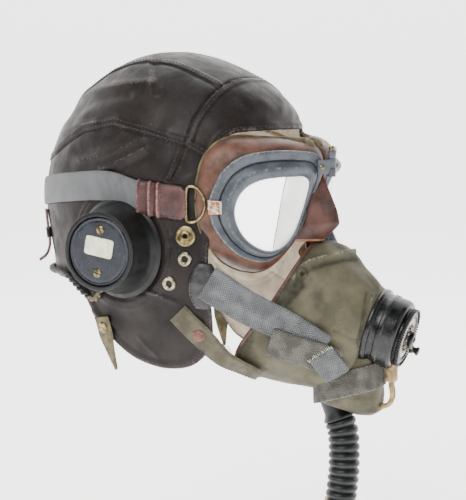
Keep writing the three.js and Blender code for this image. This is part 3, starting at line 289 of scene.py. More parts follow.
def leave_shell(start, direction):
    """Where rays from points inside leave the shell."""
    start, direction = np.broadcast_arrays(np.asarray(start, float), direction)
    near = np.zeros(start.shape[:-1])
    beyond = np.full(start.shape[:-1], 3 * CROWN_RADIUS)
    for _ in range(36):
        middle = (near + beyond) / 2
        inside = shell_level(start + middle[..., None] * direction) < 1
        near = np.where(inside, middle, near)
        beyond = np.where(inside, beyond, middle)
    return start + near[..., None] * direction


def shell_at_bearing(bearing, z):
    """The shell at a bearing round the head (0 forward, 90 the wearer's right) and height."""
    turn = np.radians(bearing)
    return leave_shell(place(0 * turn, 0, z), place(-np.sin(turn), np.cos(turn), 0 * turn))


def shell_beside(f, z, side=RIGHT):
    """Where the shell lies beside places in the side view."""
    return leave_shell(place(0, f, z), place(float(side), 0.0, 0.0))


def lumps(points, size, seed=0.0):
    """Soft noise between -1 and 1 over points in millimetres, with lumps of a size."""
    shift = Vector((seed, 2.3 * seed, -1.7 * seed))
    flat = np.asarray(points, float).reshape(-1, 3) / size
    values = [noise.noise(Vector(p) + shift) for p in flat.tolist()]
    return np.array(values).reshape(np.shape(points)[:-1])


def line_distance(points, line):
    """Distance from points to a polyline, in any number of dimensions."""
    best = np.full(len(points), 1e9)
    for a, b in zip(line[:-1], line[1:]):
        d = b - a
        t = np.clip((points - a) @ d / (d @ d), 0, 1)
        best = np.minimum(best, np.linalg.norm(points - a - t[:, None] * d, axis=1))
    return best


def region_depth(points, outline):
    """Depth inside a closed side-view outline, negative outside it."""
    loop = np.vstack([outline, outline[:1]])
    inside = np.zeros(len(points), bool)
    x, y = points[:, 0], points[:, 1]
    for (ax, ay), (bx, by) in zip(loop[:-1], loop[1:]):
        if ay == by:
            continue
        crosses = (ay > y) != (by > y)
        inside ^= crosses & (x < (bx - ax) * (y - ay) / (by - ay) + ax)
    return np.where(inside, 1, -1) * line_distance(points, loop)


# Meshes


def grid_faces(rows, columns, wrap_rows=False, wrap_columns=False):
    """Quads of a grid of points stored row by row."""
    i = np.arange(rows if wrap_rows else rows - 1)
    j = np.arange(columns if wrap_columns else columns - 1)
    i, j = np.meshgrid(i, j, indexing="ij")
    i, j = i.ravel(), j.ravel()
    down, on = (i + 1) % rows, (j + 1) % columns
    return np.stack([i * columns + j, down * columns + j, down * columns + on, i * columns + on], 1)


def barrel_faces(rows, sides):
    """Quads of rings of points, and the discs that close their two ends."""
    last = (rows - 1) * sides
    faces = [list(face) for face in grid_faces(rows, sides, False, True)]
    return faces + [list(range(sides)), list(range(last, last + sides))[::-1]]


def add_object(name, data):
    """A new object at the origin of the scene."""
    made = bpy.data.objects.new(name, data)
    bpy.context.scene.collection.objects.link(made)
    return made


def bare_piece(name, points, edges=()):
    """Points and edges in millimetres, for a geometry tree to grow on."""
    mesh = bpy.data.meshes.new(name)
    mesh.from_pydata((np.asarray(points, float) * MM).tolist(), list(edges), [])
    return add_object(name, mesh)


def mesh_piece(name, points, faces, materials, uv=None, marks=None):
    """A smooth piece at the origin from points in millimetres. marks are named values, one
    for each point, that its materials read."""
    mesh = bpy.data.meshes.new(name)
    points = np.asarray(points, float).reshape(-1, 3)
    faces = [list(map(int, face)) for face in faces]
    mesh.from_pydata((points * MM).tolist(), [], faces)
    if uv is not None:
        layer = mesh.uv_layers.new(name="UVMap")
        corners = np.empty(len(mesh.loops), np.int32)
        mesh.loops.foreach_get("vertex_index", corners)
        layer.data.foreach_set("uv", np.asarray(uv, float)[corners].astype(np.float32).ravel())
    for key, values in (marks or {}).items():
        attribute = mesh.attributes.new(key, "FLOAT", "POINT")
        attribute.data.foreach_set("value", np.asarray(values, np.float32).ravel())
    for material in materials if isinstance(materials, (list, tuple)) else [materials]:
        mesh.materials.append(material)
    mesh.polygons.foreach_set("use_smooth", np.ones(len(mesh.polygons), bool))
    mesh.update()
    return add_object(name, mesh)


def even_form(piece):
    """A copy of a piece's mesh with all faces turned one way."""
    form = bmesh.new()
    form.from_mesh(piece.data)
    bmesh.ops.remove_doubles(form, verts=form.verts, dist=1e-6)
    bmesh.ops.recalc_face_normals(form, faces=form.faces)
    return form


def use_form(form, piece, reverse):
    """Gives a form back to its piece, with its faces reversed where that is needed."""
    if reverse:
        bmesh.ops.reverse_faces(form, faces=form.faces)
    form.to_mesh(piece.data)
    form.free()
    piece.data.update()
    return piece


def face_outwards(piece):
    """Turns a closed piece's faces outwards."""
    form = even_form(piece)
    return use_form(form, piece, form.calc_volume(signed=True) < 0)


HEAD_MIDDLE = Vector((0.0, 0.0, EAR_LINE * MM))


def turn_sheet(piece, middle=None):
    """Turns an open sheet's faces away from a place, or from its own middle."""
    form = even_form(piece)
    if middle is None:
        middle = sum((v.co for v in form.verts), Vector()) / len(form.verts)
    outward = sum(f.normal.dot(f.calc_center_median() - middle) * f.calc_area()
                  for f in form.faces)
    return use_form(form, piece, outward < 0)


def thicken(piece, thickness, lining=0, offset=-1.0):
    """Gives a sheet a wall, on the inside of its faces unless offset says otherwise."""
    wall = piece.modifiers.new("Wall", "SOLIDIFY")
    wall.thickness = thickness * MM
    wall.offset = offset
    wall.use_rim = True
    wall.material_offset = lining
    wall.material_offset_rim = 0
    return piece


def apply_modifiers(piece):
    """Turns what a piece shows into its own plain mesh."""
    evaluated = piece.evaluated_get(bpy.context.evaluated_depsgraph_get())
    made = bpy.data.meshes.new_from_object(evaluated)
    piece.modifiers.clear()
    piece.data = made
    return piece


def finish_piece(piece, replaces=(), body="root"):
    """Says what a piece stands for and which body it belongs to."""
    piece.name = "dressed_" + piece.name.lower().replace(" ", "_")
    if replaces:
        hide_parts(*([replaces] if isinstance(replaces, str) else replaces))
    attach(piece, body)
    return piece


def join_meshes(name, pieces):
    """One piece from several, with their materials kept."""
    form = bmesh.new()
    materials = []
    for piece in pieces:
        materials += [m for m in piece.data.materials if m not in materials]
        own = [materials.index(m) for m in piece.data.materials]
        first = len(form.faces)
        form.from_mesh(piece.data)
        form.faces.ensure_lookup_table()
        for face in form.faces[first:]:
            face.material_index = own[face.material_index]
    mesh = bpy.data.meshes.new(name)
    form.to_mesh(mesh)
    form.free()
    for m in materials:
        mesh.materials.append(m)
    for piece in pieces:
        bpy.data.objects.remove(piece)
    return add_object(name, mesh)


def mirrored(points, side):
    """The same points on the other side of the helmet when side is the left."""
    return points * np.array([1.0 if side == RIGHT else -1.0, 1.0, 1.0])


def clip_mesh(points, faces, depth):
    """Keeps what has a depth over 0, and cuts the faces that cross it."""
    inside = depth > 0
    kept = inside[faces].all(1)
    mixed = inside[faces].any(1) & ~kept
    points = list(points)
    extra = {}
    polygons = []

    def cut(a, b):
        key = (a, b) if a < b else (b, a)
        if key not in extra:
            t = depth[key[0]] / (depth[key[0]] - depth[key[1]])
            extra[key] = len(points)
            points.append(points[key[0]] + t * (points[key[1]] - points[key[0]]))
        return extra[key]

    for face in faces[mixed]:
        polygon = []
        for a, b in zip(face, np.roll(face, -1)):
            if inside[a]:
                polygon.append(int(a))
            if inside[a] != inside[b]:
                polygon.append(cut(int(a), int(b)))
        if len(polygon) > 2:
            polygons.append(polygon)
    every = [list(map(int, f)) for f in faces[kept]] + polygons
    used = np.unique(np.concatenate([np.array(f) for f in every]))
    renumber = {old: new for new, old in enumerate(used.tolist())}
    return np.array(points)[used], [[renumber[v] for v in face] for face in every]


def tube_points(centres, radius, sides, closed=False, up=UP):
    """Rings of points round a line; the radius may differ at each."""
    centres = np.asarray(centres, float)
    along = np.roll(centres, -1, 0) - np.roll(centres, 1, 0)
    if not closed:
        along[0] = centres[1] - centres[0]
        along[-1] = centres[-1] - centres[-2]
    along = unit(along)
    across = np.cross(along, up)
    across = unit(np.where(np.linalg.norm(across, axis=1, keepdims=True) < 1e-3,
                           np.cross(along, [1.0, 0.2, 0.1]), across))
    over = np.cross(across, along)
    turn = 2 * np.pi * np.arange(sides) / sides
    radius = np.broadcast_to(np.asarray(radius, float), (len(centres),))[:, None, None]
    return centres[:, None] + radius * (
        np.cos(turn)[None, :, None] * across[:, None]
        + np.sin(turn)[None, :, None] * over[:, None])


def tube(name, centres, radius, sides, material, closed=False, up=UP):
    """A round piece along a line, with its ends closed by a rounded cap."""
    centres = np.asarray(centres, float)
    radius = np.broadcast_to(np.asarray(radius, float), (len(centres),)).copy()
    if not closed:
        first = centres[0] + (centres[0] - centres[1]) * 1e-3
        last = centres[-1] + (centres[-1] - centres[-2]) * 1e-3
        centres = np.vstack([first, centres, last])
        radius = np.concatenate([[radius[0] * 0.5], radius, [radius[-1] * 0.5]])
    rings = tube_points(centres, radius, sides, closed, up)
    run = run_along(centres)
    around = np.linspace(0, 1, sides)
    uv = np.stack(np.broadcast_arrays(run[:, None], around[None] * 10.0), -1).reshape(-1, 2)
    faces = grid_faces(len(rings), sides, True, True) if closed else barrel_faces(
        len(rings), sides)
    return face_outwards(mesh_piece(name, rings, faces, material, uv))


def lathe_points(profile, centre, axis, sides):
    """Rings of points from radius and height pairs about an axis."""
    axis = unit(axis)
    helper = np.array([0.0, 0.0, 1.0]) if abs(axis[2]) < 0.9 else np.array([1.0, 0.0, 0.0])
    across = unit(np.cross(helper, axis))
    over = np.cross(axis, across)
    turn = 2 * np.pi * np.arange(sides) / sides
    ring = np.cos(turn)[:, None] * across + np.sin(turn)[:, None] * over
    profile = np.asarray(profile, float)
    return (np.asarray(centre, float) + profile[:, 0, None, None] * ring[None]
            + profile[:, 1, None, None] * axis)


def rounded(profile, radius=0.5, steps=3):
    """Takes the corners off a profile of radius and height pairs."""
    profile = np.asarray(profile, float)
    made = [profile[0]]
    for before, corner, after in zip(profile[:-2], profile[1:-1], profile[2:]):
        reach_in = min(radius, np.linalg.norm(before - corner) / 2.2)
        reach_out = min(radius, np.linalg.norm(after - corner) / 2.2)
        start = corner + unit(before - corner) * reach_in
        end = corner + unit(after - corner) * reach_out
        for t in np.linspace(0, 1, steps + 1):
            made.append((1 - t) ** 2 * start + 2 * t * (1 - t) * corner + t * t * end)
    made.append(profile[-1])
    return np.array(made)


def lathe(name, profile, centre, axis, sides, material, bend=None, open_heart=False):
    """A turned piece. Its ends are closed with discs, or joined if its heart is open."""
    rings = lathe_points(profile, centre, axis, sides)
    if bend is not None:
        rings = bend(rings)
    faces = grid_faces(len(rings), sides, True, True) if open_heart else barrel_faces(
        len(rings), sides)
    return face_outwards(mesh_piece(name, rings, faces, material))


def ribbon(name, middles, across, outward, width, thickness, material, columns=9, crown=0.0,
           marks=None, edge=0.35):
    """A strap along a line of middles. Its lining lies on the middles, its edges are rounded,
    and crown lifts its middle line. width and thickness may differ along it."""
    rows = len(middles)
    width = np.broadcast_to(np.asarray(width, float), (rows,))[:, None]
    thickness = np.broadcast_to(np.asarray(thickness, float), (rows,))[:, None]
    share = np.linspace(-1, 1, columns)[None, :]
    round_off = 1 - (1 - edge) * np.abs(share) ** 12
    top_lift = thickness * round_off + crown * (1 - share ** 2)
    bottom_lift = thickness * (1 - round_off) * 0.5
    top = (middles[:, None] + across[:, None] * (share * width / 2)[..., None]
           + outward[:, None] * top_lift[..., None])
    bottom = (middles[:, None] + across[:, None] * (share * width / 2)[..., None]
              + outward[:, None] * bottom_lift[..., None])
    loop = np.concatenate([top, bottom[:, ::-1]], 1)
    run = run_along(middles)
    span = share[0] * width / 2
    uv = np.stack([np.repeat(run[:, None], 2 * columns, 1),
                   np.concatenate([span, span[:, ::-1]], 1)], -1).reshape(-1, 2)
    count = 2 * columns
    faces = [list(f) for f in grid_faces(rows, count, False, True)]
    for row, turned in ((0, False), (rows - 1, True)):
        start = row * count
        for k in range(columns - 1):
            quad = [start + k, start + k + 1, start + count - 2 - k, start + count - 1 - k]
            faces.append(quad[::-1] if turned else quad)
    piece = mesh_piece(name, loop, faces, material, uv, marks)
    return face_outwards(piece)


def route_frames(route, step=1.5):
    """Even middles, across and outward directions along places with outward directions."""
    middles = np.array([middle for middle, _ in route])
    outwards = np.array([outward for _, outward in route])
    both, _ = even_curve(np.hstack([middles, 60 * outwards]), step)
    line, out = both[:, :3], unit(both[:, 3:])
    along = unit(np.gradient(line, axis=0))
    out = unit(out - (out * along).sum(1)[:, None] * along)
    return line, np.cross(along, out), out


def thread_rows(name, lines, material, pitch=3.4, length=2.4, radius=0.32):
    """Stitches along lines that lie on the leather, made by geometry nodes."""
    edges = []
    start = 0
    for line in lines:
        edges += [(start + k, start + k + 1) for k in range(len(line) - 1)]
        start += len(line)
    return grow_nodes(bare_piece(name, np.vstack(lines), edges), stitch_tree(), {
        "Pitch": pitch * MM, "Length": length * MM, "Radius": radius * MM, "Thread": material})


def row_along(frames, share, lift, rows=slice(None)):
    """A line along a strap, at a share of its width from its middle and above its lining."""
    middles, across, out, widths = (part[rows] for part in frames)
    return middles + across * (share * widths)[:, None] + out * np.reshape(lift, (-1, 1))


def row_across(frames, row, lift, reach=0.42, count=16):
    """A line across a strap, over a share of its width each way and above its lining."""
    middle, across, out, width = (part[row] for part in frames)
    return middle + np.linspace(-reach, reach, count)[:, None] * width * across + lift * out


# Geometry Nodes


def new_tree(name, inputs):
    """A geometry node tree with named inputs of a socket type and a default."""
    tree = bpy.data.node_groups.new(name, "GeometryNodeTree")
    tree.interface.new_socket("Geometry", in_out="INPUT", socket_type="NodeSocketGeometry")
    for label, kind, default in inputs:
        socket = tree.interface.new_socket(label, in_out="INPUT", socket_type=kind)
        if default is not None:
            socket.default_value = default
    tree.interface.new_socket("Geometry", in_out="OUTPUT", socket_type="NodeSocketGeometry")
    return tree, tree.nodes.new("NodeGroupInput"), tree.nodes.new("NodeGroupOutput")


def add_node(tree, kind, links=None, values=None, **settings):
    """A node with its settings, its linked sockets and its plain values."""
    node = tree.nodes.new(kind)
    for key, value in settings.items():
        setattr(node, key, value)
    for key, value in (values or {}).items():
        node.inputs[key].default_value = value
    for key, source in (links or {}).items():
        tree.links.new(source, node.inputs[key])
    return node


def grow_nodes(piece, tree, values):
    """Runs a tree on a piece and leaves its result as a plain mesh."""
    grown = piece.modifiers.new("Grown", "NODES")
    grown.node_group = tree
    for item in tree.interface.items_tree:
        if item.item_type == "SOCKET" and item.in_out == "INPUT" and item.name in values:
            grown[item.identifier] = values[item.name]
    bpy.context.view_layer.update()
    apply_modifiers(piece)
    piece.data.polygons.foreach_set("use_smooth", np.ones(len(piece.data.polygons), bool))
    return piece


def end_tree(tree, made, shape, finish):
    """Ends a tree in plain faces of one material."""
    real = add_node(tree, "GeometryNodeRealizeInstances", {"Geometry": shape})
    coated = add_node(tree, "GeometryNodeSetMaterial",
                      {"Geometry": real.outputs[0], "Material": finish})
    tree.links.new(coated.outputs[0], made.inputs["Geometry"])
    return tree


def stitch_tree():
    """Short round stitches, end to end along every line of a mesh."""
    if "Stitches" in bpy.data.node_groups:
        return bpy.data.node_groups["Stitches"]
    tree, given, made = new_tree("Stitches", [
        ("Pitch", "NodeSocketFloat", 0.0034), ("Length", "NodeSocketFloat", 0.0024),
        ("Radius", "NodeSocketFloat", 0.0003), ("Thread", "NodeSocketMaterial", None)])
    line = add_node(tree, "GeometryNodeMeshToCurve", {"Mesh": given.outputs["Geometry"]})
    spots = add_node(tree, "GeometryNodeCurveToPoints",
                     {"Curve": line.outputs[0], "Length": given.outputs["Pitch"]},
                     mode="LENGTH")
    bead = add_node(tree, "GeometryNodeMeshUVSphere",
                    {"Radius": given.outputs["Radius"]}, {"Segments": 6, "Rings": 5})
    stretch = maths(tree, "DIVIDE", given.outputs["Length"], given.outputs["Radius"])
    size = add_node(tree, "ShaderNodeCombineXYZ", {"Z": maths(tree, "DIVIDE", stretch, 2.0)},
                    {"X": 1.0, "Y": 1.0})
    sewn = add_node(tree, "GeometryNodeInstanceOnPoints",
                    {"Points": spots.outputs["Points"], "Instance": bead.outputs["Mesh"],
                     "Rotation": spots.outputs["Rotation"], "Scale": size.outputs[0]})
    return end_tree(tree, made, sewn.outputs[0], given.outputs["Thread"])


RIB_ROUNDNESS = 0.55  # the lower, the flatter the top of a hose's rib


def ribbed_tree():
    """A ribbed skin round a line: its radius swells once in each pitch."""
    tree, given, made = new_tree("Ribbed Hose", [
        ("Radius", "NodeSocketFloat", 0.0123), ("Groove", "NodeSocketFloat", 0.002),
        ("Pitch", "NodeSocketFloat", 0.0063), ("Finish", "NodeSocketMaterial", None)])
    line = add_node(tree, "GeometryNodeMeshToCurve", {"Mesh": given.outputs["Geometry"]})
    run = add_node(tree, "GeometryNodeSplineParameter")
    turns = maths(tree, "DIVIDE", run.outputs["Length"], given.outputs["Pitch"])
    wave = maths(tree, "SINE", maths(tree, "MULTIPLY", turns, math.pi))
    round_top = maths(tree, "POWER", maths(tree, "ABSOLUTE", wave), RIB_ROUNDNESS)
    dip = maths(tree, "SUBTRACT", round_top, 1.0)
    radius = maths(tree, "ADD", given.outputs["Radius"],
                   maths(tree, "MULTIPLY", dip, given.outputs["Groove"]))
    sized = add_node(tree, "GeometryNodeSetCurveRadius",
                     {"Curve": line.outputs[0], "Radius": radius})
    section = add_node(tree, "GeometryNodeCurvePrimitiveCircle", None,
                       {"Resolution": 48, "Radius": 1.0})
    links = {"Curve": sized.outputs[0], "Profile Curve": section.outputs[0]}
    skin = add_node(tree, "GeometryNodeCurveToMesh", links, {"Fill Caps": True})
    if "Scale" in skin.inputs:
        tree.links.new(radius, skin.inputs["Scale"])
    return end_tree(tree, made, skin.outputs[0], given.outputs["Finish"])


def studs_tree():
    """Copies of a small round stud on every point of a mesh, all facing one way."""
    if "Studs" in bpy.data.node_groups:
        return bpy.data.node_groups["Studs"]
    tree, given, made = new_tree("Studs", [
        ("Radius", "NodeSocketFloat", 0.001), ("Height", "NodeSocketFloat", 0.001),
        ("Facing", "NodeSocketVector", (0.0, 0.0, 1.0)),
        ("Finish", "NodeSocketMaterial", None)])
    stud = add_node(tree, "GeometryNodeMeshCone",
                    {"Radius Top": given.outputs["Radius"],
                     "Radius Bottom": given.outputs["Radius"],
                     "Depth": given.outputs["Height"]}, {"Vertices": 8})
    facing = add_node(tree, "FunctionNodeAlignRotationToVector",
                      {"Vector": given.outputs["Facing"]}, axis="Z")
    spread = add_node(tree, "GeometryNodeInstanceOnPoints",
                      {"Points": given.outputs["Geometry"], "Instance": stud.outputs["Mesh"],
                       "Rotation": facing.outputs[0]})
    return end_tree(tree, made, spread.outputs[0], given.outputs["Finish"])


# Materials


def mix_colours(tree, factor, a, b):
    """A blend of two colours, each a plain value or a socket."""
    node = add_node(tree, "ShaderNodeMix", {0: factor}, data_type="RGBA")
    for key, colour in ((6, a), (7, b)):
        if isinstance(colour, (tuple, list)):
            node.inputs[key].default_value = (*colour, 1.0)
        else:
            tree.links.new(colour, node.inputs[key])
    return node.outputs[2]


def ramp(tree, value, low, high, to_low=0.0, to_high=1.0):
    """A soft rise from one value to another."""
    return add_node(tree, "ShaderNodeMapRange", {"Value": value},
                    {"From Min": low, "From Max": high, "To Min": to_low, "To Max": to_high},
                    interpolation_type="SMOOTHSTEP").outputs[0]


def maths(tree, operation, a, b=0.0):
    """One step of arithmetic on sockets or numbers."""
    node = tree.nodes.new("ShaderNodeMath")
    node.operation = operation
    for key, value in ((0, a), (1, b)):
        if isinstance(value, (int, float)):
            node.inputs[key].default_value = value
        else:
            tree.links.new(value, node.inputs[key])
    return node.outputs[0]


def clouds(tree, where, size, detail=4.0, stretch=None):
    """Noise about 0.5 with lumps of a size in millimetres."""
    if stretch:
        where = add_node(tree, "ShaderNodeVectorMath", {0: where}, {1: stretch},
                         operation="MULTIPLY").outputs[0]
    return add_node(tree, "ShaderNodeTexNoise", {"Vector": where},
                    {"Scale": 1.0 / size, "Detail": detail}).outputs["Fac"]


def raise_bumps(tree, height, depth, below=None):
    """Bumps of a depth in millimetres, over what other bumps have made."""
    node = add_node(tree, "ShaderNodeBump", {"Height": height},
                    {"Strength": 1.0, "Distance": depth * MM})
    if below is not None:
        tree.links.new(below, node.inputs["Normal"])
    return node.outputs[0]


def weave_height(tree, kind, pitch):
    """The height of a woven face from a strap's own coordinates in millimetres."""
    uv = add_node(tree, "ShaderNodeUVMap", uv_map="UVMap").outputs[0]
    split = add_node(tree, "ShaderNodeSeparateXYZ", {0: uv})
    run, across = split.outputs[0], split.outputs[1]

    def wave(value, length):
        return maths(tree, "SINE", maths(tree, "MULTIPLY", value, 2 * math.pi / length))

    if kind == "ribs":
        cross = wave(run, pitch)
        fine = wave(across, pitch * 0.8)
        return maths(tree, "ADD", cross, maths(tree, "MULTIPLY", fine, 0.45))
    if kind == "herringbone":
        bent = maths(tree, "PINGPONG", across, pitch * 2.2)
        slant = wave(maths(tree, "ADD", run, maths(tree, "MULTIPLY", bent, 1.1)), pitch)
        dots = maths(tree, "MULTIPLY", wave(run, pitch), wave(across, pitch))
        return maths(tree, "ADD", slant, maths(tree, "MULTIPLY", dots, 0.8))
    twill = wave(maths(tree, "ADD", run, across), pitch)
    return maths(tree, "ADD", twill, maths(tree, "MULTIPLY", wave(across, pitch * 0.7), 0.4))


def make_surface(name, dark, light, roughness, patch=14.0, grain=(0.9, 0.06), metallic=0.0,
                 wear=None, dust=None, weave=None, streaks=None, coat=0.0, clearness=0.0,
                 specular=0.5, sheen=0.0, glow=0.0, dirt=0.0):
    """A material of one kind of stuff. dark and light are its patches, grain and streaks are
    sizes and depths in millimetres, wear is the colour that its wear marks show, dust is a
    colour and how much of it lies in fine specks, weave is a kind, a pitch and a depth, and
    the last setting is how far its dark marks darken it: stains, and on the mask painted shade."""
    material = bpy.data.materials.new(name)
    material.use_nodes = True
    tree = material.node_tree
    tree.nodes.clear()
    shader = add_node(tree, "ShaderNodeBsdfPrincipled", None, {
        "Metallic": metallic, "Coat Weight": coat, "Transmission Weight": clearness,
        "Specular IOR Level": specular, "Sheen Weight": sheen,
        "Emission Strength": glow, "Emission Color": (1.0, 1.0, 1.0, 1.0)})
    add_node(tree, "ShaderNodeOutputMaterial", {"Surface": shader.outputs[0]})
    place_in_mm = add_node(tree, "ShaderNodeVectorMath",
                           {0: add_node(tree, "ShaderNodeTexCoord").outputs["Object"]},
                           {1: (1000.0, 1000.0, 1000.0)}, operation="MULTIPLY").outputs[0]
    patches = ramp(tree, clouds(tree, place_in_mm, patch, 6.0), 0.36, 0.64)
    colour = mix_colours(tree, patches, dark, light)
    rough = ramp(tree, clouds(tree, place_in_mm, patch * 0.6), 0.3, 0.7, *roughness)
    bumps = None
    if streaks:
        lines = clouds(tree, place_in_mm, streaks[0], 3.0, streaks[2])
        bumps = raise_bumps(tree, lines, streaks[1])
        colour = mix_colours(tree, maths(tree, "MULTIPLY", ramp(tree, lines, 0.52, 0.7), 0.35),
                             colour, light)
    if weave:
        kind, pitch, depth = weave
        threads = weave_height(tree, kind, pitch)
        bumps = raise_bumps(tree, threads, depth, bumps)
        shade = ramp(tree, threads, -1.2, 1.2, 0.75, 0.0)
        colour = mix_colours(tree, shade, colour, tuple(0.4 * c for c in dark))
    if dust:
        specks = ramp(tree, clouds(tree, place_in_mm, 1.6, 8.0), 0.56, 0.7)
        lying = ramp(tree, clouds(tree, place_in_mm, 22.0), 0.38, 0.62, 0.25, 1.0)
        colour = mix_colours(tree, maths(tree, "MULTIPLY", maths(tree, "MULTIPLY", specks, lying),
                                         dust[1]), colour, dust[0])
    if wear:
        marks = add_node(tree, "ShaderNodeAttribute", attribute_name="wear").outputs["Fac"]
        ragged = maths(tree, "ADD", marks, maths(tree, "MULTIPLY", maths(
            tree, "SUBTRACT", clouds(tree, place_in_mm, 2.2, 8.0), 0.5), 1.3))
        worn = ramp(tree, ragged, 0.35, 0.85)
        colour = mix_colours(tree, worn, colour, wear)
    # Dark marks: stains, and on the mask painted shade in fold hollows and round the valve.
    if dirt:
        dark_marks = add_node(tree, "ShaderNodeAttribute", attribute_name="dirt").outputs["Fac"]
        ragged = maths(tree, "MULTIPLY", dark_marks, ramp(
            tree, clouds(tree, place_in_mm, 7.0, 6.0), 0.25, 0.65, 0.45, 1.0))
        colour = mix_colours(tree, maths(tree, "MULTIPLY", ragged, dirt), colour,
                             tuple(0.3 * c for c in dark))
    tree.links.new(colour, shader.inputs["Base Color"])
    tree.links.new(rough, shader.inputs["Roughness"])
    bumps = raise_bumps(tree, clouds(tree, place_in_mm, grain[0], 5.0), grain[1], bumps)
    tree.links.new(bumps, shader.inputs["Normal"])
    return material


